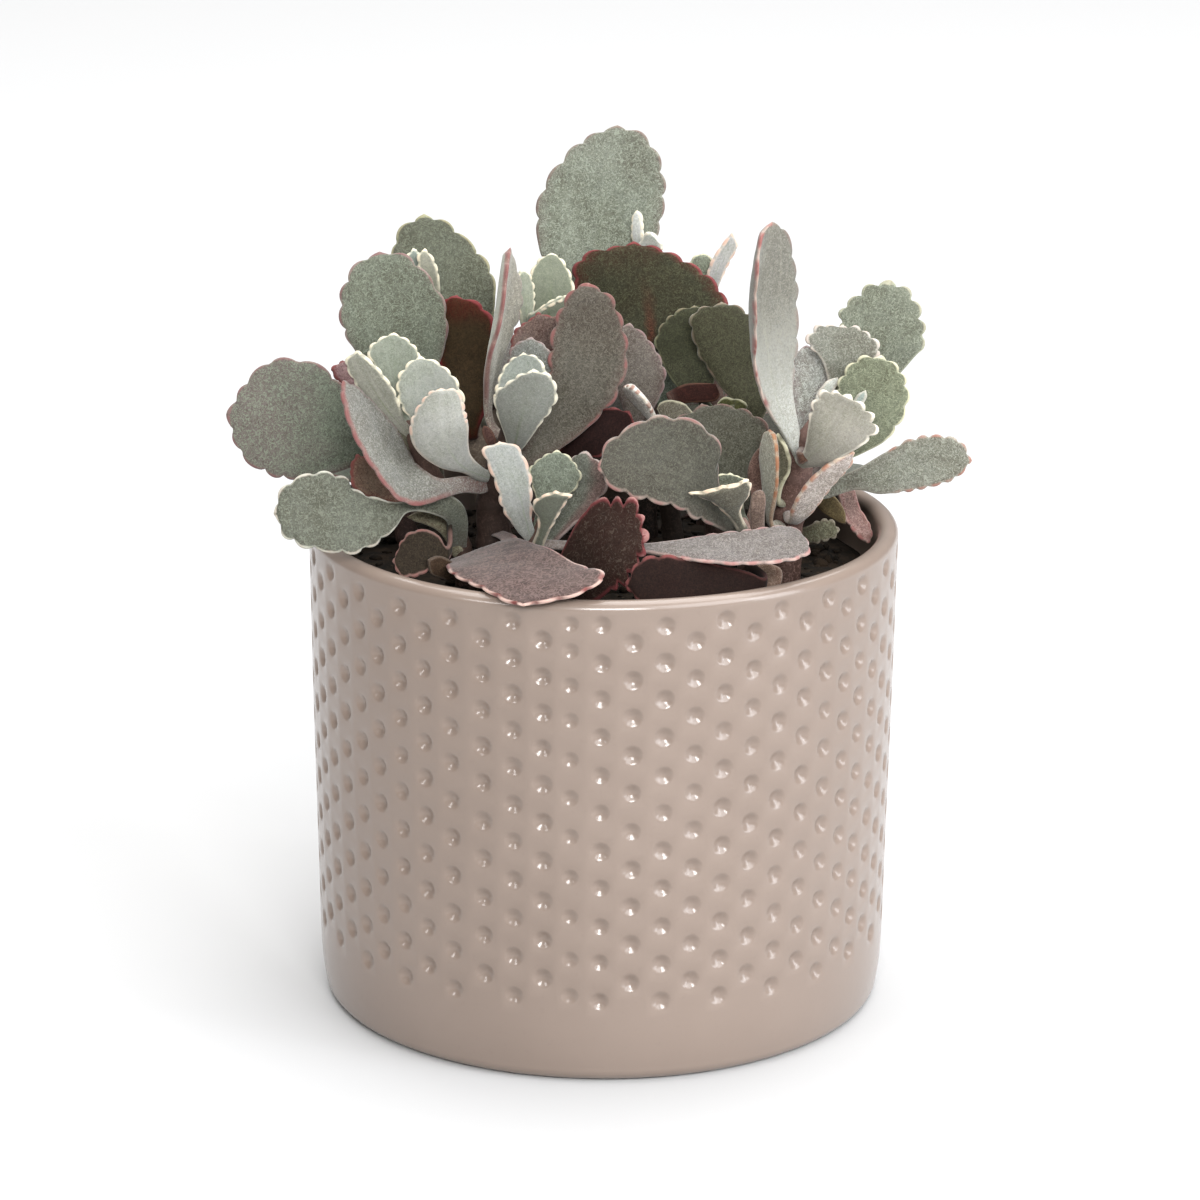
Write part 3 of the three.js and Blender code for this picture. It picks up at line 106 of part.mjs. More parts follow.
  {n:"leaf_rear_i",g:"shoot_top",k:"lilac",s:[[8.28,24.21,116.22],[0.0,34.0,118.0],[1.0,44.0,130.0],[2.0,49.0,147.0]],v:[[0.995,0.02,-0.099],[0.995,0.02,-0.099],[0.997,0.015,-0.077],[0.998,0.012,-0.062]],f:1,R:[[0.0,1.3],[0.171,1.35],[0.285,1.4],[0.371,2.42],[0.499,5.5],[0.642,9.24],[0.771,11.0],[0.886,9.68],[0.964,5.5],[1.0,0.0]],L:[[0.0,1.3],[0.171,1.35],[0.285,1.4],[0.371,2.42],[0.499,5.5],[0.642,9.24],[0.771,11.0],[0.886,9.68],[0.964,5.5],[1.0,0.0]],c:[0.1, 0.1],h:1.7},
  {n:"leaf_rear_j",g:"shoot_side_left",k:"green",s:[[-44.59,12.53,105.89],[-46.0,16.0,106.0],[-50.0,23.74,110.08],[-50.0,31.63,117.11]],v:[[0.616,0.592,-0.52],[0.616,0.592,-0.52],[0.56,0.57,-0.601],[0.538,0.561,-0.629]],f:1,R:[[0.0,1.3],[0.158,1.4],[0.259,1.98],[0.411,4.5],[0.579,7.56],[0.731,9.0],[0.865,7.92],[0.958,4.5],[1.0,0.0]],L:[[0.0,1.3],[0.158,1.4],[0.259,1.98],[0.411,4.5],[0.579,7.56],[0.731,9.0],[0.865,7.92],[0.958,4.5],[1.0,0.0]],c:[0.1, 0.1],h:1.7},
  {n:"leaf_rear_k",g:"shoot_side_left",k:"sagelilac",s:[[-42.72,11.13,99.43],[-43.0,14.0,100.0],[-50.0,22.0,103.0],[-59.0,31.0,103.0]],v:[[-0.756,-0.654,-0.02],[-0.756,-0.654,-0.02],[-0.729,-0.685,-0.009],[-0.707,-0.707,0.0]],f:1,R:[[0.0,1.3],[0.116,1.4],[0.222,1.98],[0.381,4.5],[0.558,7.56],[0.717,9.0],[0.859,7.92],[0.956,4.5],[1.0,0.0]],L:[[0.0,1.3],[0.116,1.4],[0.222,1.98],[0.381,4.5],[0.558,7.56],[0.717,9.0],[0.859,7.92],[0.956,4.5],[1.0,0.0]],c:[0.1, 0.1],h:1.7},
  {n:"leaf_rear_l",g:"shoot_side_right",k:"lilac2",s:[[40.38,16.38,104.01],[43.0,19.0,104.0],[48.0,30.85,106.84],[50.0,39.5,111.34]],v:[[-0.123,0.28,-0.952],[-0.123,0.28,-0.952],[-0.016,0.342,-0.94],[0.151,0.429,-0.891]],f:1,R:[[0.0,1.3],[0.142,1.4],[0.245,1.87],[0.399,4.25],[0.571,7.14],[0.725,8.5],[0.863,7.48],[0.957,4.25],[1.0,0.0]],L:[[0.0,1.3],[0.142,1.4],[0.245,1.87],[0.399,4.25],[0.571,7.14],[0.725,8.5],[0.863,7.48],[0.957,4.25],[1.0,0.0]],c:[0.1, 0.1],h:1.7},
  {n:"leaf_rear_m",g:"shoot_side_right",k:"sagepale",s:[[39.0,15.0,97.88],[41.0,15.0,99.0],[47.0,16.27,103.92],[51.0,21.25,106.04]],v:[[-0.056,0.981,-0.185],[-0.056,0.981,-0.185],[-0.489,0.869,-0.076],[-0.786,0.618,0.034]],f:1,R:[[0.0,1.3],[0.136,1.4],[0.24,1.76],[0.395,4.0],[0.568,6.72],[0.724,8.0],[0.862,7.04],[0.957,4.0],[1.0,0.0]],L:[[0.0,1.3],[0.136,1.4],[0.24,1.76],[0.395,4.0],[0.568,6.72],[0.724,8.0],[0.862,7.04],[0.957,4.0],[1.0,0.0]],c:[0.1, 0.1],h:1.7},
  {n:"leaf_rear_tip_a",g:"shoot_rear_left",k:"mint",s:[[-21.29,36.74,118.14],[-22.0,37.0,119.0],[-25.0,38.0,126.0],[-26.0,38.0,135.0]],v:[[0.877,0.354,0.325],[0.877,0.354,0.325],[0.903,0.379,0.202],[0.913,0.395,0.101]],f:1,R:[[0.0,1.3],[0.069,1.4],[0.181,1.2],[0.348,2.5],[0.534,4.2],[0.702,5.0],[0.851,4.4],[0.953,2.5],[1.0,0.0]],L:[[0.0,1.3],[0.069,1.4],[0.181,1.2],[0.348,2.5],[0.534,4.2],[0.702,5.0],[0.851,4.4],[0.953,2.5],[1.0,0.0]],c:[0.1, 0.1],h:1.7},
  {n:"leaf_rear_tip_b",g:"shoot_rear_left",k:"mint",s:[[-21.37,36.68,117.37],[-20.0,37.0,118.0],[-17.0,36.0,124.0],[-17.0,37.0,130.0]],v:[[0.238,-0.932,-0.274],[0.238,-0.932,-0.274],[0.222,-0.973,-0.056],[0.197,-0.967,0.161]],f:1,R:[[0.0,1.3],[0.118,1.4],[0.224,1.2],[0.382,2.3],[0.559,3.86],[0.718,4.6],[0.859,4.05],[0.956,2.3],[1.0,0.0]],L:[[0.0,1.3],[0.118,1.4],[0.224,1.2],[0.382,2.3],[0.559,3.86],[0.718,4.6],[0.859,4.05],[0.956,2.3],[1.0,0.0]],c:[0.1, 0.1],h:1.7},
  {n:"leaf_rear_tip_c",g:"shoot_rear_right",k:"mint",s:[[27.7,37.05,115.02],[27.0,38.0,116.0],[24.0,43.9,122.82],[23.0,46.57,130.32]],v:[[0.718,0.651,-0.247],[0.718,0.651,-0.247],[0.732,0.655,-0.187],[0.743,0.656,-0.135]],f:1,R:[[0.0,1.3],[0.082,1.4],[0.192,1.2],[0.358,2.4],[0.541,4.03],[0.706,4.8],[0.853,4.22],[0.954,2.4],[1.0,0.0]],L:[[0.0,1.3],[0.082,1.4],[0.192,1.2],[0.358,2.4],[0.541,4.03],[0.706,4.8],[0.853,4.22],[0.954,2.4],[1.0,0.0]],c:[0.1, 0.1],h:1.7},
  {n:"leaf_rear_tip_d",g:"shoot_rear_right",k:"mint",s:[[27.72,37.04,115.24],[29.0,37.0,116.0],[33.0,36.0,123.0],[33.0,37.0,131.0]],v:[[0.237,-0.933,-0.269],[0.237,-0.933,-0.269],[0.223,-0.973,-0.059],[0.202,-0.972,0.121]],f:1,R:[[0.0,1.3],[0.092,1.4],[0.201,1.2],[0.364,2.4],[0.546,4.03],[0.709,4.8],[0.855,4.22],[0.955,2.4],[1.0,0.0]],L:[[0.0,1.3],[0.092,1.4],[0.201,1.2],[0.364,2.4],[0.546,4.03],[0.709,4.8],[0.855,4.22],[0.955,2.4],[1.0,0.0]],c:[0.1, 0.1],h:1.7},
  {n:"leaf_fill_a",g:"shoot_back_left",k:"sage2",s:[[-24.4,6.87,107.13],[-27.0,7.0,108.0],[-33.0,18.0,112.0],[-38.0,28.0,117.0]],v:[[-0.802,-0.535,0.267],[-0.802,-0.535,0.267],[-0.802,-0.535,0.267],[-0.802,-0.535,0.267]],f:1,R:[[0.0,1.3],[0.114,1.4],[0.22,2.09],[0.38,4.75],[0.557,7.98],[0.716,9.5],[0.858,8.36],[0.956,4.75],[1.0,0.0]],L:[[0.0,1.3],[0.114,1.4],[0.22,2.09],[0.38,4.75],[0.557,7.98],[0.716,9.5],[0.858,8.36],[0.956,4.75],[1.0,0.0]],c:[0.1, 0.1],h:1.7},
  {n:"leaf_fill_b",g:"shoot_back_left",k:"sagelilac",s:[[-28.65,4.9,120.93],[-31.0,6.0,122.0],[-38.0,14.0,127.0],[-43.0,21.0,133.0]],v:[[0.798,0.44,0.413],[0.798,0.44,0.413],[0.834,0.507,0.217],[0.837,0.544,0.063]],f:1,R:[[0.0,1.3],[0.116,1.4],[0.222,1.87],[0.381,4.25],[0.558,7.14],[0.717,8.5],[0.859,7.48],[0.956,4.25],[1.0,0.0]],L:[[0.0,1.3],[0.116,1.4],[0.222,1.87],[0.381,4.25],[0.558,7.14],[0.717,8.5],[0.859,7.48],[0.956,4.25],[1.0,0.0]],c:[0.1, 0.1],h:1.7},
  {n:"leaf_fill_c",g:"shoot_back_left",k:"dark",s:[[-23.5,7.47,100.23],[-24.0,8.0,102.0],[-18.0,17.79,105.06],[-10.0,25.7,108.09]],v:[[-0.86,0.505,0.071],[-0.86,0.505,0.071],[-0.79,0.612,0.035],[-0.703,0.711,-0.002]],f:1,R:[[0.0,1.3],[0.101,1.4],[0.209,1.76],[0.371,4.0],[0.55,6.72],[0.712,8.0],[0.856,7.04],[0.955,4.0],[1.0,0.0]],L:[[0.0,1.3],[0.101,1.4],[0.209,1.76],[0.371,4.0],[0.55,6.72],[0.712,8.0],[0.856,7.04],[0.955,4.0],[1.0,0.0]],c:[0.1, 0.1],h:1.7},
  {n:"leaf_fill_d",g:"shoot_back_left",k:"purplegrey",s:[[-26.99,5.44,115.46],[-29.0,8.0,117.0],[-25.0,18.0,124.0],[-23.0,24.0,134.0]],v:[[0.894,-0.045,-0.447],[0.894,-0.045,-0.447],[0.959,-0.069,-0.274],[0.986,-0.084,-0.147]],f:1,R:[[0.0,1.3],[0.139,1.4],[0.242,1.87],[0.397,4.25],[0.569,7.14],[0.724,8.5],[0.862,7.48],[0.957,4.25],[1.0,0.0]],L:[[0.0,1.3],[0.139,1.4],[0.242,1.87],[0.397,4.25],[0.569,7.14],[0.724,8.5],[0.862,7.48],[0.957,4.25],[1.0,0.0]],c:[0.1, 0.1],h:1.7},
  {n:"leaf_fill_e",g:"shoot_back_center",k:"purplegrey",s:[[-13.09,8.41,108.85],[-13.0,10.0,110.0],[-8.0,20.0,115.0],[-5.0,29.0,123.0]],v:[[-0.882,0.237,0.407],[-0.882,0.237,0.407],[-0.922,0.141,0.361],[-0.95,0.041,0.31]],f:1,R:[[0.0,1.3],[0.08,1.4],[0.191,2.09],[0.356,4.75],[0.54,7.98],[0.706,9.5],[0.853,8.36],[0.954,4.75],[1.0,0.0]],L:[[0.0,1.3],[0.08,1.4],[0.191,2.09],[0.356,4.75],[0.54,7.98],[0.706,9.5],[0.853,8.36],[0.954,4.75],[1.0,0.0]],c:[0.1, 0.1],h:1.7},
  {n:"leaf_fill_f",g:"shoot_back_center",k:"lilac2",s:[[-13.3,7.85,119.12],[-13.0,9.0,120.0],[-19.0,15.0,126.0],[-21.0,19.0,134.0]],v:[[0.707,0.707,0.0],[0.707,0.707,0.0],[0.684,0.719,-0.123],[0.665,0.721,-0.194]],f:1,R:[[0.0,1.3],[0.09,1.4],[0.199,1.65],[0.363,3.75],[0.545,6.3],[0.709,7.5],[0.854,6.6],[0.955,3.75],[1.0,0.0]],L:[[0.0,1.3],[0.09,1.4],[0.199,1.65],[0.363,3.75],[0.545,6.3],[0.709,7.5],[0.854,6.6],[0.955,3.75],[1.0,0.0]],c:[0.1, 0.1],h:1.7},
  {n:"leaf_fill_g",g:"shoot_back_center",k:"sage",s:[[-13.11,9.34,99.29],[-13.0,9.0,101.0],[-16.0,21.21,103.94],[-18.0,31.3,107.91]],v:[[-0.973,-0.228,-0.046],[-0.973,-0.228,-0.046],[-0.978,-0.206,-0.041],[-0.983,-0.181,-0.036]],f:1,R:[[0.0,1.3],[0.103,1.4],[0.211,1.98],[0.372,4.5],[0.552,7.56],[0.713,9.0],[0.857,7.92],[0.955,4.5],[1.0,0.0]],L:[[0.0,1.3],[0.103,1.4],[0.211,1.98],[0.372,4.5],[0.552,7.56],[0.713,9.0],[0.857,7.92],[0.955,4.5],[1.0,0.0]],c:[0.1, 0.1],h:1.7},
  {n:"leaf_fill_h",g:"shoot_back_right",k:"sagegrey",s:[[23.53,17.26,102.34],[23.0,18.0,104.0],[34.0,24.0,109.0],[43.0,29.0,114.0]],v:[[-0.524,0.839,0.147],[-0.524,0.839,0.147],[-0.531,0.835,0.144],[-0.54,0.83,0.141]],f:1,R:[[0.0,1.3],[0.102,1.4],[0.209,2.09],[0.371,4.75],[0.551,7.98],[0.713,9.5],[0.856,8.36],[0.955,4.75],[1.0,0.0]],L:[[0.0,1.3],[0.102,1.4],[0.209,2.09],[0.371,4.75],[0.551,7.98],[0.713,9.5],[0.856,8.36],[0.955,4.75],[1.0,0.0]],c:[0.1, 0.1],h:1.7},
  {n:"leaf_fill_i",g:"shoot_back_right",k:"greypurple",s:[[23.27,18.46,111.16],[23.0,20.0,112.0],[18.0,32.27,117.62],[14.0,43.81,124.45]],v:[[-0.938,-0.323,-0.129],[-0.938,-0.323,-0.129],[-0.948,-0.296,-0.119],[-0.957,-0.268,-0.107]],f:1,R:[[0.0,1.3],[0.066,1.4],[0.178,2.2],[0.346,5.0],[0.533,8.4],[0.701,10.0],[0.851,8.8],[0.953,5.0],[1.0,0.0]],L:[[0.0,1.3],[0.066,1.4],[0.178,2.2],[0.346,5.0],[0.533,8.4],[0.701,10.0],[0.851,8.8],[0.953,5.0],[1.0,0.0]],c:[0.1, 0.1],h:1.7},
  {n:"leaf_fill_j",g:"shoot_back_right",k:"sage2",s:[[22.46,21.44,120.99],[22.0,22.0,122.0],[30.0,28.0,129.0],[34.0,31.0,137.0]],v:[[0.536,-0.837,0.105],[0.536,-0.837,0.105],[0.535,-0.841,0.076],[0.534,-0.844,0.05]],f:1,R:[[0.0,1.3],[0.089,1.4],[0.199,1.65],[0.363,3.75],[0.545,6.3],[0.709,7.5],[0.854,6.6],[0.954,3.75],[1.0,0.0]],L:[[0.0,1.3],[0.089,1.4],[0.199,1.65],[0.363,3.75],[0.545,6.3],[0.709,7.5],[0.854,6.6],[0.954,3.75],[1.0,0.0]],c:[0.1, 0.1],h:1.7},
  {n:"leaf_fill_k",g:"shoot_top",k:"sage2",s:[[8.15,23.01,103.64],[8.0,24.0,105.0],[-2.0,32.0,110.0],[-11.0,40.0,113.0]],v:[[-0.566,-0.808,0.162],[-0.566,-0.808,0.162],[-0.596,-0.787,0.157],[-0.628,-0.763,0.153]],f:1,R:[[0.0,1.3],[0.083,1.4],[0.193,2.2],[0.358,5.0],[0.542,8.4],[0.707,10.0],[0.853,8.8],[0.954,5.0],[1.0,0.0]],L:[[0.0,1.3],[0.083,1.4],[0.193,2.2],[0.358,5.0],[0.542,8.4],[0.707,10.0],[0.853,8.8],[0.954,5.0],[1.0,0.0]],c:[0.1, 0.1],h:1.7},
  {n:"leaf_fill_l",g:"shoot_top",k:"sagelilac",s:[[8.24,23.83,112.98],[8.0,25.0,114.0],[16.0,31.59,122.43],[21.0,35.98,132.61]],v:[[-0.788,0.221,0.575],[-0.788,0.221,0.575],[-0.835,0.064,0.546],[-0.863,-0.143,0.485]],f:1,R:[[0.0,1.3],[0.082,1.4],[0.192,1.98],[0.357,4.5],[0.541,7.56],[0.706,9.0],[0.853,7.92],[0.954,4.5],[1.0,0.0]],L:[[0.0,1.3],[0.082,1.4],[0.192,1.98],[0.357,4.5],[0.541,7.56],[0.706,9.0],[0.853,7.92],[0.954,4.5],[1.0,0.0]],c:[0.1, 0.1],h:1.7},
  {n:"leaf_fill_m",g:"shoot_top",k:"sage",s:[[8.49,26.06,127.16],[9.0,27.0,128.0],[3.0,36.0,136.0],[-1.0,41.0,149.0]],v:[[0.87,0.168,0.463],[0.87,0.168,0.463],[0.93,0.22,0.296],[0.949,0.245,0.198]],f:1,R:[[0.0,1.3],[0.072,1.4],[0.184,1.87],[0.351,4.25],[0.536,7.14],[0.703,8.5],[0.852,7.48],[0.954,4.25],[1.0,0.0]],L:[[0.0,1.3],[0.072,1.4],[0.184,1.87],[0.351,4.25],[0.536,7.14],[0.703,8.5],[0.852,7.48],[0.954,4.25],[1.0,0.0]],c:[0.1, 0.1],h:1.7},
  {n:"leaf_fill_n",g:"shoot_top",k:"sagegrey",s:[[8.45,25.66,125.01],[9.0,27.0,126.0],[14.0,33.24,133.13],[16.0,39.63,139.62]],v:[[0.882,-0.361,-0.302],[0.882,-0.361,-0.302],[0.926,-0.344,-0.157],[0.95,-0.313,0.016]],f:1,R:[[0.0,1.3],[0.084,1.4],[0.194,1.76],[0.359,4.0],[0.542,6.72],[0.707,8.0],[0.853,7.04],[0.954,4.0],[1.0,0.0]],L:[[0.0,1.3],[0.084,1.4],[0.194,1.76],[0.359,4.0],[0.542,6.72],[0.707,8.0],[0.853,7.04],[0.954,4.0],[1.0,0.0]],c:[0.1, 0.1],h:1.7},
  {n:"leaf_fill_o",g:"shoot_mid",k:"dark",s:[[13.86,-4.54,98.89],[13.0,-4.0,100.0],[20.0,4.0,103.0],[27.0,11.0,107.0]],v:[[-0.748,0.664,-0.025],[-0.748,0.664,-0.025],[-0.728,0.685,-0.013],[-0.707,0.707,0.0]],f:1,R:[[0.0,1.3],[0.097,1.4],[0.206,1.76],[0.368,4.0],[0.549,6.72],[0.711,8.0],[0.856,7.04],[0.955,4.0],[1.0,0.0]],L:[[0.0,1.3],[0.097,1.4],[0.206,1.76],[0.368,4.0],[0.549,6.72],[0.711,8.0],[0.856,7.04],[0.955,4.0],[1.0,0.0]],c:[0.1, 0.1],h:1.7},
  {n:"leaf_fill_p",g:"shoot_mid",k:"lilac2",s:[[11.87,-5.51,111.12],[10.0,-5.0,112.0],[4.0,5.28,118.31],[0.0,12.25,126.02]],v:[[-0.113,-0.567,0.816],[-0.113,-0.567,0.816],[-0.01,-0.634,0.773],[0.121,-0.704,0.7]],f:1,R:[[0.0,1.3],[0.095,1.4],[0.204,1.76],[0.366,4.0],[0.547,6.72],[0.71,8.0],[0.855,7.04],[0.955,4.0],[1.0,0.0]],L:[[0.0,1.3],[0.095,1.4],[0.204,1.76],[0.366,4.0],[0.547,6.72],[0.71,8.0],[0.855,7.04],[0.955,4.0],[1.0,0.0]],c:[0.1, 0.1],h:1.7},
  {n:"leaf_fill_q",g:"shoot_center",k:"dark",s:[[-21.96,-14.09,99.65],[-21.0,-14.0,101.0],[-14.0,-6.0,104.0],[-6.0,2.0,107.0]],v:[[-0.749,0.662,-0.017],[-0.749,0.662,-0.017],[-0.728,0.686,-0.008],[-0.707,0.707,0.0]],f:1,R:[[0.0,1.3],[0.087,1.4],[0.197,1.87],[0.361,4.25],[0.544,7.14],[0.708,8.5],[0.854,7.48],[0.954,4.25],[1.0,0.0]],L:[[0.0,1.3],[0.087,1.4],[0.197,1.87],[0.361,4.25],[0.544,7.14],[0.708,8.5],[0.854,7.48],[0.954,4.25],[1.0,0.0]],c:[0.1, 0.1],h:1.7},
];

// ---- stems: x, y, z and radius from the soil upwards ----
const STEMS = {
  shoot_center: [[-21.24,-14.0,85.5,3.9],[-21.84,-14.0,98.23,3.7],[-22.6,-15.0,107.27,2.9],[-21.55,-17.0,114.24,2.3],[-19.31,-19.0,121.37,1.9],[-17.9,-20.0,126.76,1.3]],
  shoot_left: [[-26.11,-13.0,85.5,2.6],[-29.07,-14.0,97.56,2.4],[-31.35,-17.0,106.73,2.1],[-34.55,-21.0,115.25,1.9],[-37.44,-22.0,121.64,1.5],[-38.85,-21.0,125.46,1.0]],
  shoot_front: [[-18.22,-24.0,85.5,2.4],[-18.22,-24.0,89.72,2.4],[-16.17,-27.0,96.44,2.2],[-13.75,-30.0,102.28,1.9],[-11.98,-31.0,107.9,1.2]],
  shoot_right: [[36.24,-11.0,85.5,3.658],[36.24,-11.0,93.1,3.658],[36.49,-11.0,101.92,3.658],[37.93,-12.0,109.51,3.4219999999999997],[39.18,-13.0,116.01,2.9499999999999997],[41.62,-14.0,122.08,2.242],[44.56,-13.0,126.77,1.534]],
  shoot_right_front: [[28.78,-25.0,85.5,2.1],[28.78,-25.0,91.98,2.1],[28.48,-25.0,98.61,2.0],[27.97,-26.0,104.06,1.6],[27.3,-27.0,107.42,1.0]],
  shoot_back_left: [[-22.99,8.0,85.5,2.9],[-22.99,8.0,91.24,2.9],[-24.17,7.0,106.03,2.7],[-28.17,5.0,119.21,2.4],[-31.98,5.0,133.83,1.9],[-34.81,6.0,143.96,1.2]],
  shoot_back_center: [[-13.13,10.0,85.5,2.8],[-13.13,10.0,92.44,2.8],[-13.14,8.0,114.3,2.4],[-13.77,8.0,126.93,1.9],[-14.19,8.0,136.97,1.1]],
  shoot_top: [[8.03,22.0,85.5,3.2],[8.03,22.0,90.0,3.2],[8.26,24.0,114.52,2.8],[8.54,27.0,133.01,2.2],[8.23,28.0,146.35,1.2]],
  shoot_back_right: [[23.77,16.0,85.5,2.8],[23.77,16.0,90.95,2.8],[23.13,19.0,113.76,2.4],[21.41,25.0,129.31,1.8],[20.51,27.0,138.18,1.1]],
  shoot_mid: [[14.76,-4.0,85.5,2.2],[14.76,-4.0,91.13,2.2],[12.98,-5.0,105.33,2.0],[10.22,-6.0,118.13,1.7],[8.38,-5.0,122.02,1.0]],
  shoot_rear_left: [[-24.0,30.0,86.0,3.0],[-24.0,33.0,100.0,2.6],[-22.0,36.0,112.0,2.0],[-21.0,37.0,121.0,1.2]],
  shoot_rear_right: [[22.0,34.0,86.0,3.0],[24.0,36.0,99.0,2.6],[27.0,37.0,110.0,2.0],[28.0,37.0,118.0,1.2]],
  shoot_side_right: [[36.0,12.0,86.0,2.6],[38.0,14.0,94.0,2.3],[40.0,16.0,102.0,1.8],[41.0,17.0,108.0,1.1]],
  shoot_side_left: [[-38.0,8.0,86.0,2.6],[-41.0,10.0,95.0,2.3],[-44.0,12.0,103.0,1.8],[-45.0,13.0,109.0,1.1]],
};

// ---- colours (roughness, metalness 0) ----
const COLOURS = {
  sage: [0xa9ada0, 0.75], sage2: [0x9ea298, 0.75], sagelilac: [0x9c9b97, 0.75], sagepale: [0xaab0a4, 0.75],
  sagegrey: [0x9ba096, 0.75], sagegreen: [0xa2a89a, 0.75], sagered: [0x9fa497, 0.75], green: [0x9aa48f, 0.75],
  greenpurple: [0x9da596, 0.75], greenorange: [0x99a08c, 0.75], mint: [0xc3cbc1, 0.8], mintgrey: [0xb9bfb6, 0.8],
  white: [0xd3d8d2, 0.8], white2: [0xc9cbc6, 0.8], whitegreen: [0xb9c2b6, 0.8], pale: [0xb9bdb5, 0.8],
  palegrey: [0xbcc3bf, 0.8], paleside: [0xc4c4be, 0.8], palepink: [0xb5aeaa, 0.8], palewavy: [0xb2b2ae, 0.8],
  tallpale: [0xbdbfb6, 0.8], edgepale: [0xc3bfb8, 0.8], greyedge: [0xb6b1a8, 0.8], lilac: [0xa39da0, 0.75],
  lilac2: [0x9d959a, 0.75], purplegrey: [0x918a8a, 0.75], greypurple: [0x94918f, 0.75], maroonlilac: [0x9a8688, 0.75],
  dark: [0x6b5654, 0.7], darkhairy: [0x5f5050, 0.75], darkgreen: [0x54514c, 0.7], deepgreen: [0x737a6c, 0.7],
  olivegrey: [0x84847a, 0.7], pink: [0xa3918f, 0.75], redpink: [0x9b706d, 0.7], cup: [0xa8ada4, 0.8],
  dullgrey: [0x7f7d78, 0.75], dullpurple: [0x857b7a, 0.75], dull: [0x6d6c63, 0.8], olive: [0x6f6a55, 0.8],
  purple: [0x6f5a5c, 0.8], dry: [0x6a4a40, 0.9], bud: [0xa5876f, 0.8],
  stem: [0x8b7873, 0.8], pot: [0xa79d95, 0.3], soil: [0x453d36, 0.95],
};

function material(kind) {
  const [color, roughness] = COLOURS[kind];
  return new THREE.MeshStandardMaterial({ color, roughness, metalness: 0 });
}

// ---- solids ----
function solid(geometry) {
  const g = geometry.clone();
  g.deleteAttribute("normal");
  g.deleteAttribute("uv");
  const m = mergeVertices(g, 1e-4);
  const p = m.attributes.position.array;
  const index = [];
  let volume = 0;
  const a = new THREE.Vector3(), b = new THREE.Vector3(), c = new THREE.Vector3();
  for (let i = 0; i < m.index.count; i += 3) {
    const t = [m.index.array[i], m.index.array[i + 1], m.index.array[i + 2]];
    if (t[0] === t[1] || t[1] === t[2] || t[0] === t[2]) continue;
    a.fromArray(p, t[0] * 3); b.fromArray(p, t[1] * 3); c.fromArray(p, t[2] * 3);
    volume += a.dot(b.cross(c));
    index.push(t);
  }
  if (volume < 0) for (const t of index) [t[1], t[2]] = [t[2], t[1]];
  return new wasm.Manifold(new wasm.Mesh({
    numProp: 3, vertProperties: new Float32Array(p), triVerts: new Uint32Array(index.flat()),
  }));
}

function largest(body) {
  return body.decompose().sort((p, q) => q.volume() - p.volume())[0];
}

function toMesh(body, name, kind) {
  const m = body.getMesh();
  const g = new THREE.BufferGeometry();
  g.setAttribute("position", new THREE.BufferAttribute(new Float32Array(m.vertProperties), 3));
  g.setIndex(new THREE.BufferAttribute(new Uint32Array(m.triVerts), 1));
  g.computeVertexNormals();
  const mesh = new THREE.Mesh(g, material(kind));
  mesh.name = name;
  return mesh;
}

function spline(points) {
  return new THREE.CatmullRomCurve3(points.map((p) => new THREE.Vector3(...p.slice(0, 3))), false, "catmullrom", 0.5);
}

// a leaf is a ball drawn out between its two margins
function leafGeometry(leaf, grow = 0) {
  const middle = spline(leaf.s), across = spline(leaf.v);
  middle.arcLengthDivisions = 240;
  const length = middle.getLength();
  const side = (rows) => {
    const c = spline(rows.map(([u, b]) => [u * length, b, 0]));
    c.arcLengthDivisions = 300;
    return c;
  };
  const right = side(leaf.R), left = side(leaf.L);
  const widest = Math.max(0.5, ...leaf.R.map((r) => r[1]), ...leaf.L.map((r) => r[1]));
  const g = new THREE.SphereGeometry(1, LEAF_AROUND, LEAF_ALONG);
  const pos = g.attributes.position;
  const P = new THREE.Vector3(), T = new THREE.Vector3(), S = new THREE.Vector3(), N = new THREE.Vector3();
  for (let i = 0; i < pos.count; i++) {
    const x = pos.getX(i), y = pos.getY(i), z = pos.getZ(i);
    const theta = Math.acos(THREE.MathUtils.clamp(y, -1, 1));
    const q = theta / Math.PI;
    const ring = Math.hypot(x, z);
    const c = ring > 1e-6 ? x / ring : 0, s = ring > 1e-6 ? z / ring : 0;
    const r = right.getPointAt(q), l = left.getPointAt(q);
    const middleA = 0.5 * (r.x + l.x);
    const half = 0.5 * (Math.abs(r.y) + Math.abs(l.y));
    const thick = (leaf.h + 2 * grow) * Math.min(1, Math.sqrt(half / (0.35 * widest + 0.6)));
    let a, b, h;
    if (ring > 1e-6) {
      a = c >= 0 ? middleA + (r.x - middleA) * c : middleA + (l.x - middleA) * -c;
      b = c >= 0 ? (r.y + grow) * c : (l.y + grow) * c;
      h = (s > 0 ? LEAF_UPPER_SHARE : 1 - LEAF_UPPER_SHARE) * thick * s + (leaf.c[b > 0 ? 0 : 1] * b * b) / widest;
    } else {
      a = q < 0.5 ? -grow : length + grow; b = 0; h = 0;
    }
    const u = THREE.MathUtils.clamp(a / length, 0, 1);
    const t = middle.getUtoTmapping(u);
    middle.getPoint(t, P);
    const d = 1e-3;
    T.copy(middle.getPoint(Math.min(t + d, 1))).sub(middle.getPoint(Math.max(t - d, 0))).normalize();
    across.getPoint(t, S);
    S.addScaledVector(T, -S.dot(T)).normalize();
    N.crossVectors(T, S).multiplyScalar(leaf.f);
    P.addScaledVector(T, a - u * length).addScaledVector(S, b).addScaledVector(N, h);
    pos.setXYZ(i, P.x, P.y, P.z);
  }
  return g;
}

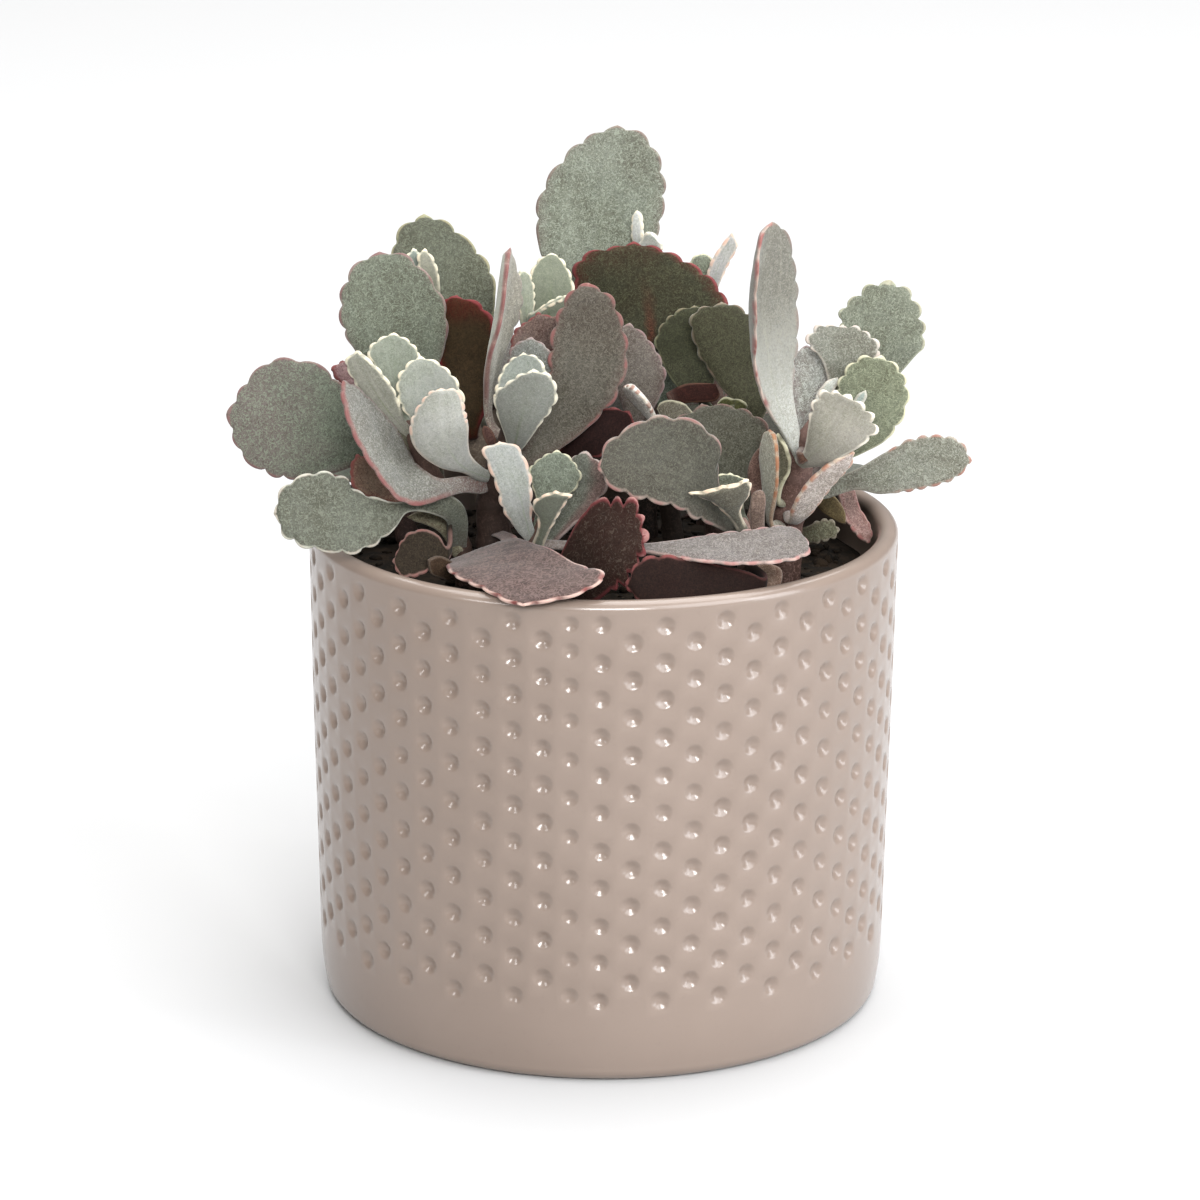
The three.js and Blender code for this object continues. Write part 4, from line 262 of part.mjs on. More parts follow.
// a stem is a straight round bar laid along a curve, thinner towards the top
function stemGeometry(rows, grow = 0) {
  const sections = 6, around = 8;
  const outline = new THREE.Shape();
  for (let k = 0; k < around; k++) {
    const a = (k / around) * 2 * Math.PI;
    if (k === 0) outline.moveTo(Math.cos(a), Math.sin(a));
    else outline.lineTo(Math.cos(a), Math.sin(a));
  }
  outline.closePath();
  const g = new THREE.ExtrudeGeometry(outline, { depth: 1, steps: sections, bevelEnabled: false });
  const curve = spline(rows);
  const length = curve.getLength();
  const frames = curve.computeFrenetFrames(sections, false);
  const pos = g.attributes.position;
  for (let i = 0; i < pos.count; i++) {
    const k = Math.round(pos.getZ(i) * sections), u = k / sections;
    const t = curve.getUtoTmapping(u) * (rows.length - 1);
    const lo = Math.min(Math.floor(t), rows.length - 2);
    const radius = THREE.MathUtils.lerp(rows[lo][3], rows[lo + 1][3], t - lo) + grow;
    const p = curve.getPointAt(u);
    p.addScaledVector(frames.normals[k], pos.getX(i) * radius);
    p.addScaledVector(frames.binormals[k], pos.getY(i) * radius);
    const end = k === sections ? grow + 0.3 * radius : 0;
    p.addScaledVector(frames.tangents[k], end);
    pos.setXYZ(i, p.x, p.y, p.z);
  }
  return g;
}

// ---- the pot ----
function wallRadius(z) {
  return FOOT_WALL_RADIUS + ((RIM_RADIUS - FOOT_WALL_RADIUS) * z) / POT_HEIGHT;
}
function potProfile() {
  const pts = [[0, 0]];
  const low = FOOT_FILLET;
  const inAt = (z) => {
    const k = Math.max(0, (FOOT_CURVE_HEIGHT - z) / FOOT_CURVE_HEIGHT);
    return wallRadius(z) - FOOT_CURVE_IN * (1 - Math.sqrt(Math.max(0, 1 - k * k)));
  };
  const edge = inAt(low);
  pts.push([edge - FOOT_FILLET, 0]);
  for (const a of [30, 60]) {
    const r = (a * Math.PI) / 180;
    pts.push([edge - FOOT_FILLET + FOOT_FILLET * Math.sin(r), FOOT_FILLET - FOOT_FILLET * Math.cos(r)]);
  }
  for (const z of [low, 5, 8, FOOT_CURVE_HEIGHT]) pts.push([inAt(z), z]);
  const lip = LIP_THICKNESS / 2;
  pts.push([wallRadius(50) + 0.15, 50]);
  for (const a of [0, 30, 60, 90, 120, 150, 180]) {
    const r = (a * Math.PI) / 180;
    pts.push([RIM_RADIUS - lip + lip * Math.cos(r), POT_HEIGHT - lip + lip * Math.sin(r)]);
  }
  const inner = RIM_RADIUS - LIP_THICKNESS;
  pts.push([inner - 1.2, 14], [inner - 5.5, FLOOR_THICKNESS], [0, FLOOR_THICKNESS]);
  return pts.map(([x, y]) => new THREE.Vector2(x, y));
}
function lathe(points, segments = POT_SEGMENTS) {
  const g = new THREE.LatheGeometry(points, segments);
  g.rotateX(Math.PI / 2);
  return g;
}
const pot = solid(lathe(potProfile()));

// ---- build ----
const group = new THREE.Group();
group.name = "potted_flower_dust_plant";

const stems = new Map(), stemsGrown = new Map();
for (const [name, rows] of Object.entries(STEMS)) {
  stems.set(name, solid(stemGeometry(rows)));
  stemsGrown.set(name, solid(stemGeometry(rows, GAP)));
}

// the soil fills the pot, with a socket round each stem
{
  const r = RIM_RADIUS - LIP_THICKNESS - GAP;
  const z0 = FLOOR_THICKNESS + GAP;
  const profile = [[0, z0], [r - 5.6, z0], [r - 1.35, 14.2], [r - 0.1, SOIL_TOP - 1.5], [r - 1.4, SOIL_TOP - 0.2], [40, SOIL_TOP - 0.6], [22, SOIL_TOP + 0.5], [0, SOIL_TOP]];
  let soil = solid(lathe(profile.map(([x, y]) => new THREE.Vector2(x, y)), 40));
  for (const s of stemsGrown.values()) soil = soil.subtract(s);
  group.add(toMesh(pot, "pot", "pot"));
  stems.set("soil", largest(soil));
}

// nodes: each shoot with its own small tip leaves, then each full leaf
const nodes = [{ name: "soil", kind: "soil", body: stems.get("soil"), grown: null }];
for (const name of Object.keys(STEMS)) {
  let body = stems.get(name), grown = stemsGrown.get(name);
  for (const leaf of LEAVES.filter((l) => l.g === name)) {
    body = body.add(solid(leafGeometry(leaf)));
    grown = grown.add(solid(leafGeometry(leaf, GAP)));
  }
  nodes.push({ name, kind: "stem", body: largest(body), grown });
}
for (const leaf of LEAVES.filter((l) => !l.g)) {
  nodes.push({ name: leaf.n, kind: leaf.k, body: solid(leafGeometry(leaf)), grown: solid(leafGeometry(leaf, GAP)) });
}

// neighbours that press on each other give way, the later one in the list
function near(p, q) {
  const a = p.boundingBox(), b = q.boundingBox();
  return [0, 1, 2].every((i) => a.min[i] < b.max[i] && b.min[i] < a.max[i]);
}
const potGrown = pot;
for (let j = 0; j < nodes.length; j++) {
  const n = nodes[j];
  if (n.name !== "soil" && near(n.body, pot) && n.body.intersect(potGrown).volume() > 0.001) {
    n.body = largest(n.body.subtract(solid(lathe(potProfile().map((p) => new THREE.Vector2(p.x + (p.x > 58 ? GAP : p.x > 1 ? -GAP : 0), p.y + (p.y > 90 ? GAP : 0)))))));
  }
  for (let i = 0; i < j; i++) {
    const m = nodes[i];
    const bulk = m.grown || m.body;
    if (!near(n.body, bulk)) continue;
    if (n.body.intersect(m.body).volume() > 0.0005) {
      const cut = m.grown ? m.grown : m.body.translate([0, 0, GAP]);
      n.body = largest(n.body.subtract(cut));
    }
  }
  group.add(toMesh(n.body, n.name, n.kind));
}

export default group;
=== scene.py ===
import bpy, math
import numpy as np
from mathutils import Matrix, Vector


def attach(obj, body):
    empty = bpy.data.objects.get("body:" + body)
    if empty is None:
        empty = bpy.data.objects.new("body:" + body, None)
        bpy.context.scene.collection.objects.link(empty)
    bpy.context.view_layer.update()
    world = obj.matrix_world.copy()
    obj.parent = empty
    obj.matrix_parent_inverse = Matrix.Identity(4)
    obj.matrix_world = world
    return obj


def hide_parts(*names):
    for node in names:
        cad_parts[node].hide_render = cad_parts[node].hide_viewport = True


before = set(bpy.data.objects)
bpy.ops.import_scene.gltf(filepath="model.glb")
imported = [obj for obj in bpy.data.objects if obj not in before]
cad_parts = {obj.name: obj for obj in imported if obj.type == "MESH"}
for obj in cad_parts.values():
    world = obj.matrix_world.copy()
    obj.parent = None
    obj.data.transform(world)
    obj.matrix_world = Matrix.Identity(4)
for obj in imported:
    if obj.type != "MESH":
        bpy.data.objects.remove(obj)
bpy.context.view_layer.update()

RNG = np.random.RandomState(7)
MM = 0.001

# ------------------------------------------------------------------ camera (pose of the reference view)
DIST, ELEV, ROLL, FOCAL = 930.0, math.radians(16.77), math.radians(0.336), 4538.4
TX, TZ = -0.67, 82.6
cd = bpy.data.cameras.new("camera"); cam = bpy.data.objects.new("camera", cd)
bpy.context.scene.collection.objects.link(cam)
back = Vector((0, -math.cos(ELEV), math.sin(ELEV)))
x0 = Vector((1, 0, 0)); y0 = back.cross(x0)
xr = math.cos(ROLL) * x0 + math.sin(ROLL) * y0
yr = back.cross(xr)
loc = (Vector((TX, 0, TZ)) + back * DIST) * MM
cam.matrix_world = Matrix(((xr[0], yr[0], back[0], loc[0]), (xr[1], yr[1], back[1], loc[1]), (xr[2], yr[2], back[2], loc[2]), (0, 0, 0, 1)))
cd.sensor_width = 36.0; cd.sensor_fit = "HORIZONTAL"; cd.lens = FOCAL / 1200 * 36.0
cd.clip_start = 0.05; cd.clip_end = 20.0
bpy.context.scene.camera = cam

# ------------------------------------------------------------------ tables (mm)
# 'col' is each leaf's base colour (linear); on the leaves noted below it also holds painted shade or painted light
LEAVES = [
  {"n":"leaf_top_back","k":"sage","s":[[8.48,27.49,137.93],[-0.21,27.15,139.29],[-0.93,31.15,156.37],[2.26,33.06,174.45]],"v":[[0.999,0.012,0.041],[0.999,0.012,0.041],[0.998,-0.02,-0.067],[0.984,-0.051,-0.169]],"f":-1,"R":[[0.0,1.3],[0.125,1.35],[0.208,1.3],[0.251,3.82],[0.332,7.81],[0.424,10.77],[0.579,12.27],[0.734,12.34],[0.844,10.97],[0.922,8.93],[0.98,5.65],[0.996,2.75],[1.0,0.0]],"L":[[0.0,1.3],[0.125,1.35],[0.208,1.3],[0.239,3.26],[0.312,7.62],[0.397,11.69],[0.505,12.91],[0.614,12.95],[0.71,11.59],[0.816,9.01],[0.914,5.95],[0.967,2.88],[1.0,0.0]],"c":[0.08,0.08],"h":1.7,"t":8,"a":0.6,"z":0.446,"col":[0.1517,0.1646,0.1317],"slot":"sage_leaf"},
  {"n":"leaf_dark_back","k":"darkback","s":[[8.49,26.06,127.16],[9.3,17.0,130.75],[8.83,20.0,141.0],[5.88,23.0,152.27]],"v":[[0.999,0.012,0.041],[0.999,0.012,0.041],[0.988,0.044,0.145],[0.969,0.071,0.235]],"f":1,"R":[[0.0,1.3],[0.186,1.35],[0.31,1.3],[0.316,4.53],[0.384,10.32],[0.489,14.85],[0.574,16.06],[0.68,13.66],[0.785,9.99],[0.915,4.8],[1.0,0.0]],"L":[[0.0,1.3],[0.186,1.35],[0.31,1.3],[0.348,5.31],[0.46,10.22],[0.701,13.25],[0.915,13.73],[0.996,10.41],[1.0,5.43],[1.0,0.0]],"c":[0.08,0.08],"h":1.7,"t":8,"a":0.6,"z":0.517,"col":[0.026,0.0256,0.0149],"slot":"dark_leaf"},
  {"n":"leaf_small_back_a","k":"mint","s":[[-14.14,8.0,135.78],[-12.19,10.0,136.51],[-11.0,11.0,145.04],[-10.84,13.0,152.07]],"v":[[0.99,-0.04,-0.134],[0.99,-0.04,-0.134],[0.996,-0.024,-0.082],[1.0,-0.006,-0.021]],"f":-1,"R":[[0.0,1.3],[0.167,1.3],[0.338,2.58],[0.56,4.42],[0.715,4.36],[0.873,2.88],[0.97,1.44],[1.0,0.0]],"L":[[0.0,1.3],[0.167,1.3],[0.277,2.18],[0.484,3.8],[0.715,4.39],[0.895,3.22],[0.977,1.41],[1.0,0.0]],"c":[0.15,0.15],"h":1.7,"t":4,"a":0.6,"z":0.417,"g":"shoot_back_center","col":[0.1504,0.1628,0.122],"slot":"young_leaf"},
  {"n":"leaf_small_back_b","k":"mint","s":[[-14.17,8.0,136.37],[-15.61,7.61,137.47],[-16.41,6.58,143.94],[-16.82,6.49,150.17]],"v":[[0.806,0.56,0.19],[0.806,0.56,0.19],[0.813,0.568,0.127],[0.818,0.572,0.061]],"f":-1,"R":[[0.0,1.3],[0.136,1.3],[0.391,1.79],[0.682,2.34],[0.912,1.61],[1.0,0.0]],"L":[[0.0,1.3],[0.136,1.3],[0.418,1.77],[0.691,2.28],[0.933,1.29],[1.0,0.0]],"c":[0.2,0.2],"h":1.7,"t":4,"a":0.6,"z":0.395,"g":"shoot_back_center","col":[0.2335,0.2473,0.1979],"slot":"young_leaf"},
  {"n":"leaf_small_back_c","k":"mint","s":[[-14.17,8.0,136.37],[-14.55,4.4,140.73],[-11.5,2.45,143.89],[-7.47,2.5,145.76]],"v":[[0.489,-0.449,-0.748],[0.489,-0.449,-0.748],[0.392,-0.53,-0.752],[0.351,-0.575,-0.739]],"f":-1,"R":[[0.0,1.3],[0.23,1.35],[0.383,1.3],[0.577,0.5],[0.753,0.5],[0.917,0.5],[1.0,0.0]],"L":[[0.0,1.3],[0.23,1.35],[0.383,1.3],[0.478,0.5],[0.739,0.5],[0.917,0.5],[1.0,0.0]],"c":[0.08,0.08],"h":1.7,"t":3,"a":0.4,"z":0.568,"g":"shoot_back_center","col":[0.17,0.19,0.155],"slot":"young_leaf"},
  {"n":"leaf_upper_left_back","k":"sage2","s":[[-30.99,4.87,130.02],[-28.75,12.0,132.58],[-32.31,16.0,145.86],[-36.85,19.0,158.3]],"v":[[0.969,0.072,0.237],[0.969,0.072,0.237],[0.957,0.084,0.278],[0.942,0.097,0.321]],"f":-1,"R":[[0.0,1.3],[0.137,1.35],[0.229,1.3],[0.253,3.37],[0.336,6.41],[0.452,8.44],[0.582,9.12],[0.686,8.23],[0.821,5.9],[0.94,3.12],[1.0,0.0]],"L":[[0.0,1.3],[0.137,1.35],[0.229,1.3],[0.328,3.55],[0.512,7.23],[0.72,9.02],[0.877,8.38],[0.966,5.83],[1.0,2.77],[1.0,0.0]],"c":[0.08,0.08],"h":1.7,"t":7,"a":0.6,"z":0.46,"col":[0.0882,0.0934,0.0687],"slot":"sage_leaf"},
  {"n":"leaf_tip_upper_a","k":"mint","s":[[-34.47,5.87,142.78],[-36.29,8.0,145.15],[-38.25,7.0,149.92],[-38.83,7.0,154.25]],"v":[[0.909,0.122,0.4],[0.909,0.122,0.4],[0.957,0.086,0.276],[0.99,0.042,0.131]],"f":-1,"R":[[0.0,1.3],[0.281,1.3],[0.518,1.88],[0.814,1.78],[0.961,0.95],[1.0,0.0]],"L":[[0.0,1.3],[0.281,1.3],[0.518,1.47],[0.732,1.67],[0.9,1.36],[1.0,0.0]],"c":[0.2,0.2],"h":1.7,"t":3,"a":0.4,"z":0.497,"g":"shoot_back_left","col":[0.2108,0.2406,0.2171],"slot":"young_leaf"},
  {"n":"leaf_tip_upper_b","k":"mint","s":[[-34.47,5.87,142.78],[-34.6,6.0,144.79],[-35.34,5.0,149.97],[-36.33,5.0,154.7]],"v":[[0.987,0.051,0.151],[0.987,0.051,0.151],[0.983,0.057,0.177],[0.977,0.063,0.203]],"f":-1,"R":[[0.0,1.3],[0.167,1.3],[0.349,1.55],[0.579,1.59],[0.824,1.18],[1.0,0.0]],"L":[[0.0,1.3],[0.167,1.3],[0.446,1.34],[0.709,2.01],[0.929,1.64],[1.0,0.0]],"c":[0.2,0.2],"h":1.7,"t":3,"a":0.4,"z":0.417,"g":"shoot_back_left","col":[0.2339,0.2303,0.1877],"slot":"young_leaf"},
  {"n":"leaf_round_left","k":"roundleft","s":[[-38.18,-21.69,123.54],[-40.78,-3.87,125.17],[-42.29,-3.54,140.99],[-45.04,-2.25,155.22]],"v":[[0.995,0.031,0.094],[0.995,0.031,0.094],[0.989,0.044,0.138],[0.981,0.057,0.185]],"f":-1,"R":[[0.0,1.3],[0.229,1.35],[0.381,1.3],[0.423,4.24],[0.509,7.84],[0.619,9.97],[0.723,10.7],[0.81,9.89],[0.915,7.3],[0.979,4.27],[1.0,0.0]],"L":[[0.0,1.3],[0.229,1.35],[0.381,1.3],[0.489,4.35],[0.609,8.24],[0.735,10.13],[0.836,9.65],[0.921,7.56],[0.982,4.04],[1.0,0.0]],"c":[0.08,0.08],"h":1.7,"t":7,"a":0.6,"z":0.567,"col":[0.1205,0.1335,0.1029],"slot":"sage_leaf"},
  {"n":"leaf_maroon_left","k":"darkleft","s":[[-27.34,5.29,116.51],[-26.75,-2.0,118.52],[-28.86,2.0,131.46],[-29.92,5.0,144.84]],"v":[[0.988,0.044,0.147],[0.988,0.044,0.147],[0.993,0.033,0.111],[0.997,0.022,0.074]],"f":1,"R":[[0.0,1.3],[0.137,1.35],[0.229,1.3],[0.368,4.05],[0.56,6.5],[0.799,7.24],[0.923,5.28],[0.973,2.56],[1.0,0.0]],"L":[[0.0,1.3],[0.137,1.35],[0.229,1.3],[0.402,3.54],[0.625,4.42],[0.849,4.0],[0.988,2.46],[1.0,0.0]],"c":[0.08,0.08],"h":1.7,"t":6,"a":0.6,"z":0.46,"col":[0.028,0.018,0.0077],"slot":"dark_leaf"},
  {"n":"leaf_edge_left","k":"edgeleft","s":[[-19.51,-18.84,120.73],[-23.05,-12.0,124.87],[-21.53,-12.5,138.13],[-19.95,-12.0,148.21],[-18.72,-9.0,157.67]],"v":[[0.359,0.933,-0.005],[0.359,0.933,-0.005],[0.287,0.957,-0.038],[0.189,0.962,-0.198],[0.102,0.944,-0.314]],"f":-1,"R":[[0.0,1.3],[0.128,1.35],[0.214,1.5],[0.308,2.38],[0.45,4.68],[0.607,7.22],[0.748,8.5],[0.874,7.48],[0.961,4.42],[1.0,0.0]],"L":[[0.0,1.3],[0.128,1.35],[0.214,1.5],[0.308,2.38],[0.45,4.68],[0.607,7.22],[0.748,8.5],[0.874,7.48],[0.961,4.42],[1.0,0.0]],"c":[0.16,0.16],"h":1.9,"t":8,"a":0.6,"z":0.45,"col":[0.216,0.2048,0.1702],"slot":"lilac_leaf"},
  {"n":"leaf_left_large","k":"sagelilac","s":[[-32.25,-18.22,109.4],[-41.79,-10.0,114.3],[-58.7,-14.0,122.91],[-74.65,-16.0,125.39]],"v":[[0.388,0.265,0.883],[0.388,0.265,0.883],[0.261,0.277,0.925],[0.11,0.286,0.952]],"f":-1,"R":[[0.0,1.3],[0.168,1.35],[0.28,1.3],[0.436,4.7],[0.583,9.03],[0.671,10.98],[0.743,11.96],[0.829,11.7],[0.903,9.0],[0.964,4.58],[1.0,0.0]],"L":[[0.0,1.3],[0.168,1.35],[0.28,1.3],[0.408,3.93],[0.512,7.74],[0.628,10.51],[0.783,11.3],[0.903,8.95],[0.964,4.99],[1.0,0.0]],"c":[0.08,0.08],"h":1.7,"t":8,"a":0.6,"z":0.496,"col":[0.0948,0.1081,0.0808],"slot":"sage_leaf"},
  {"n":"leaf_left_low","k":"sagepale","s":[[-29.07,-14.0,97.56],[-28.99,-16.46,98.69],[-30.77,-22.38,107.0],[-39.23,-28.35,110.26],[-51.83,-32.15,109.82],[-64.22,-34.73,110.27]],"v":[[0.96,0.096,0.264],[0.96,0.096,0.264],[0.599,0.234,0.766],[-0.007,0.285,0.959],[-0.074,0.287,0.955],[-0.025,0.288,0.957]],"f":-1,"R":[[0.0,1.3],[0.057,1.6],[0.285,3.39],[0.378,1.47],[0.514,0.82],[0.602,2.09],[0.684,4.05],[0.711,6.55],[0.804,7.97],[0.885,7.62],[0.95,5.86],[0.99,2.93],[1.0,0.0]],"L":[[0.0,1.3],[0.057,1.6],[0.151,1.51],[0.305,1.38],[0.462,1.17],[0.529,4.06],[0.613,6.36],[0.722,7.79],[0.809,7.33],[0.905,5.9],[0.97,3.74],[1.0,0.0]],"c":[0.08,0.08],"h":1.7,"t":9,"a":0.6,"z":0.481,"col":[0.0915,0.096,0.0756],"slot":"sage_leaf"},
  {"n":"leaf_maroon_fold","k":"dark","s":[[-31.08,-16.65,105.84],[-42.07,-14.0,107.49],[-46.49,-13.0,111.35],[-49.44,-13.0,116.51]],"v":[[0.5,0.783,0.371],[0.5,0.783,0.371],[0.535,0.767,0.353],[0.585,0.739,0.334]],"f":-1,"R":[[0.0,1.3],[0.295,1.35],[0.492,1.3],[0.558,1.64],[0.753,2.2],[0.923,1.39],[1.0,0.0]],"L":[[0.0,1.3],[0.295,1.35],[0.492,1.3],[0.615,2.84],[0.716,5.11],[0.816,5.24],[0.954,2.83],[1.0,0.0]],"c":[0.08,0.08],"h":1.7,"t":4,"a":0.6,"z":0.644,"col":[0.1317,0.0961,0.0714],"slot":"dark_leaf"},
  {"n":"leaf_maroon_bit","k":"dark","s":[[-38.36,-21.5,124.06],[-44.94,-9.62,124.54],[-49.38,-7.98,129.67],[-52.77,-7.33,134.23]],"v":[[0.771,0.184,0.609],[0.771,0.184,0.609],[0.785,0.179,0.593],[0.802,0.173,0.572]],"f":-1,"R":[[0.0,1.3],[0.314,1.35],[0.523,1.3],[0.649,2.24],[0.82,2.73],[0.954,2.06],[1.0,0.0]],"L":[[0.0,1.3],[0.314,1.35],[0.523,1.3],[0.636,1.43],[0.827,2.43],[0.985,2.52],[1.0,0.0]],"c":[0.08,0.08],"h":1.7,"t":4,"a":0.6,"z":0.666,"col":[0.1625,0.1159,0.1158],"slot":"dark_leaf"},
  {"n":"leaf_side_left","k":"paleside","s":[[-22.14,-16.15,111.54],[-24.48,-19.51,112.02],[-32.39,-26.1,113.57],[-39.21,-27.92,115.46],[-45.55,-29.5,124.38],[-50.95,-29.0,135.73]],"v":[[0.042,0.18,0.983],[0.042,0.18,0.983],[-0.099,0.515,0.851],[0.167,0.865,0.474],[0.414,0.865,0.284],[0.445,0.879,0.171]],"f":-1,"R":[[0.0,1.3],[0.054,1.35],[0.091,1.6],[0.195,2.16],[0.322,1.86],[0.404,3.89],[0.575,7.37],[0.704,7.1],[0.832,5.56],[0.939,2.92],[1.0,0.0]],"L":[[0.0,1.3],[0.054,1.35],[0.091,1.6],[0.2,1.21],[0.315,2.47],[0.444,5.44],[0.519,6.26],[0.668,5.33],[0.821,4.55],[0.961,2.48],[1.0,0.0]],"c":[0.1,0.1],"h":1.7,"t":9,"a":0.6,"z":0.363,"col":[0.1388,0.1378,0.1241],"slot":"lilac_leaf"},
  {"n":"leaf_left_young_a","k":"pale","s":[[-38.22,-22.22,122.92],[-44.13,-25.15,131.37],[-48.4,-28.06,141.54]],"v":[[0.834,-0.184,0.521],[0.884,-0.21,0.418],[0.918,-0.238,0.316]],"f":-1,"R":[[0.0,1.3],[0.159,1.26],[0.362,2.87],[0.56,3.62],[0.745,2.84],[0.907,1.37],[1.0,0.0]],"L":[[0.0,1.3],[0.183,1.35],[0.45,2.0],[0.698,2.99],[0.933,2.99],[1.0,0.0]],"c":[0.12,0.12],"h":1.7,"t":6,"a":0.45,"z":0.3,"col":[0.208,0.2034,0.177],"slot":"young_leaf"},
  {"n":"leaf_left_young_b","k":"mint","s":[[-38.71,-21.11,125.09],[-39.77,-17.73,126.25],[-41.31,-17.64,134.18],[-41.7,-16.45,142.22]],"v":[[0.98,0.06,0.19],[0.98,0.06,0.19],[0.993,0.037,0.116],[0.999,0.015,0.045]],"f":-1,"R":[[0.0,1.3],[0.197,1.3],[0.373,1.79],[0.601,4.2],[0.786,5.01],[0.899,3.49],[0.96,1.74],[1.0,0.0]],"L":[[0.0,1.3],[0.197,1.3],[0.401,1.53],[0.653,3.46],[0.822,5.25],[0.927,3.62],[0.984,1.6],[1.0,0.0]],"c":[0.2,0.2],"h":1.7,"t":5,"a":0.5,"z":0.438,"col":[0.1826,0.1971,0.1625],"slot":"young_leaf"},
  {"n":"leaf_left_young_c","k":"mint","s":[[-36.41,-21.89,119.37],[-34.81,-23.7,121.29],[-35.31,-24.62,130.89],[-36.06,-24.44,139.33]],"v":[[0.998,0.022,0.054],[0.998,0.022,0.054],[0.997,0.025,0.07],[0.996,0.029,0.087]],"f":-1,"R":[[0.0,1.3],[0.156,1.3],[0.301,4.13],[0.506,7.34],[0.687,7.05],[0.845,5.39],[0.949,2.85],[1.0,0.0]],"L":[[0.0,1.3],[0.156,1.3],[0.402,2.85],[0.605,4.93],[0.817,4.92],[0.922,3.32],[0.98,1.81],[1.0,0.0]],"c":[0.12,0.12],"h":1.7,"t":6,"a":0.5,"z":0.409,"col":[0.2303,0.2392,0.2149],"slot":"young_leaf"},
  {"n":"leaf_left_young_d","k":"white","s":[[-21.71,-16.8,113.55],[-24.27,-19.74,114.35],[-28.8,-26.65,118.85],[-31.75,-31.43,126.59],[-31.92,-31.28,134.61]],"v":[[0.461,0.248,0.852],[0.461,0.248,0.852],[0.745,0.195,0.639],[0.974,0.073,0.216],[1.0,0.008,0.018]],"f":1,"R":[[0.0,1.3],[0.077,1.35],[0.129,1.4],[0.397,2.93],[0.688,5.19],[0.903,4.55],[0.992,3.31],[1.0,1.76],[1.0,0.0]],"L":[[0.0,1.3],[0.077,1.35],[0.129,1.4],[0.339,1.24],[0.507,4.04],[0.657,6.17],[0.771,6.15],[0.883,4.41],[0.981,2.15],[1.0,0.0]],"c":[0.2,0.2],"h":1.7,"t":5,"a":0.5,"z":0.669,"col":[0.2537,0.2571,0.2383],"slot":"young_leaf"},
  {"n":"leaf_centre_a","k":"lilac","s":[[-18.17,-19.82,125.71],[-15.24,-13.63,127.39],[-14.45,-13.6,134.36],[-14.48,-12.62,140.65]],"v":[[0.993,-0.032,-0.113],[0.993,-0.032,-0.113],[0.998,-0.016,-0.056],[1.0,0.002,0.004]],"f":-1,"R":[[0.0,1.3],[0.212,1.35],[0.353,1.3],[0.414,3.26],[0.572,5.03],[0.789,4.31],[0.921,2.56],[1.0,0.0]],"L":[[0.0,1.3],[0.212,1.35],[0.353,1.3],[0.425,2.99],[0.653,4.73],[0.878,4.41],[0.963,2.39],[1.0,0.0]],"c":[0.1,0.1],"h":1.7,"t":4,"a":0.4,"z":0.547,"col":[0.1292,0.1359,0.122],"slot":"lilac_leaf"},
  {"n":"leaf_centre_b","k":"mint","s":[[-18.56,-19.56,124.17],[-18.1,-20.0,124.71],[-16.7,-21.0,132.11],[-16.15,-19.0,138.93]],"v":[[0.98,-0.054,-0.193],[0.98,-0.054,-0.193],[0.99,-0.039,-0.133],[0.997,-0.022,-0.073]],"f":-1,"R":[[0.0,1.3],[0.075,1.3],[0.46,3.43],[0.749,4.83],[0.928,3.65],[0.987,2.0],[1.0,0.0]],"L":[[0.0,1.3],[0.075,1.3],[0.21,3.05],[0.385,4.79],[0.704,4.22],[0.901,2.46],[1.0,0.0]],"c":[0.2,0.2],"h":1.7,"t":5,"a":0.45,"z":0.352,"g":"shoot_center","col":[0.1868,0.1979,0.1829],"slot":"young_leaf"},
  {"n":"leaf_centre_c","k":"palegrey","s":[[-19.41,-18.92,121.06],[-18.02,-24.0,120.66],[-16.16,-29.0,129.09],[-14.0,-30.0,138.21]],"v":[[0.966,-0.06,-0.249],[0.966,-0.06,-0.249],[0.968,-0.064,-0.244],[0.969,-0.067,-0.236]],"f":1,"R":[[0.0,1.3],[0.134,1.35],[0.223,1.3],[0.352,2.28],[0.615,4.28],[0.814,5.73],[0.955,4.5],[1.0,2.41],[1.0,0.0]],"L":[[0.0,1.3],[0.134,1.35],[0.223,1.3],[0.377,2.5],[0.588,5.27],[0.709,6.12],[0.826,4.6],[0.932,2.42],[1.0,0.0]],"c":[0.2,0.2],"h":1.7,"t":6,"a":0.5,"z":0.456,"g":"shoot_center","col":[0.1409,0.1499,0.1338],"slot":"young_leaf"},
  {"n":"leaf_big_right","k":"purplegrey","s":[[-21.27,-17.31,115.32],[-16.76,-17.22,115.16],[-7.87,-15.41,131.78],[-3.41,-11.25,150.97]],"v":[[0.879,-0.137,-0.457],[0.879,-0.137,-0.457],[0.938,-0.1,-0.333],[0.975,-0.064,-0.211]],"f":-1,"R":[[0.0,1.3],[0.072,1.35],[0.12,1.3],[0.222,3.22],[0.375,6.72],[0.503,9.01],[0.608,10.48],[0.734,10.28],[0.844,8.46],[0.955,5.33],[0.995,2.5],[1.0,0.0]],"L":[[0.0,1.3],[0.072,1.35],[0.12,1.3],[0.214,1.94],[0.363,2.6],[0.516,3.14],[0.684,4.65],[0.835,4.76],[0.927,3.53],[0.982,2.04],[1.0,0.0]],"c":[0.08,0.08],"h":1.7,"t":9,"a":0.6,"z":0.384,"col":[0.0723,0.0657,0.0527],"slot":"lilac_leaf"},
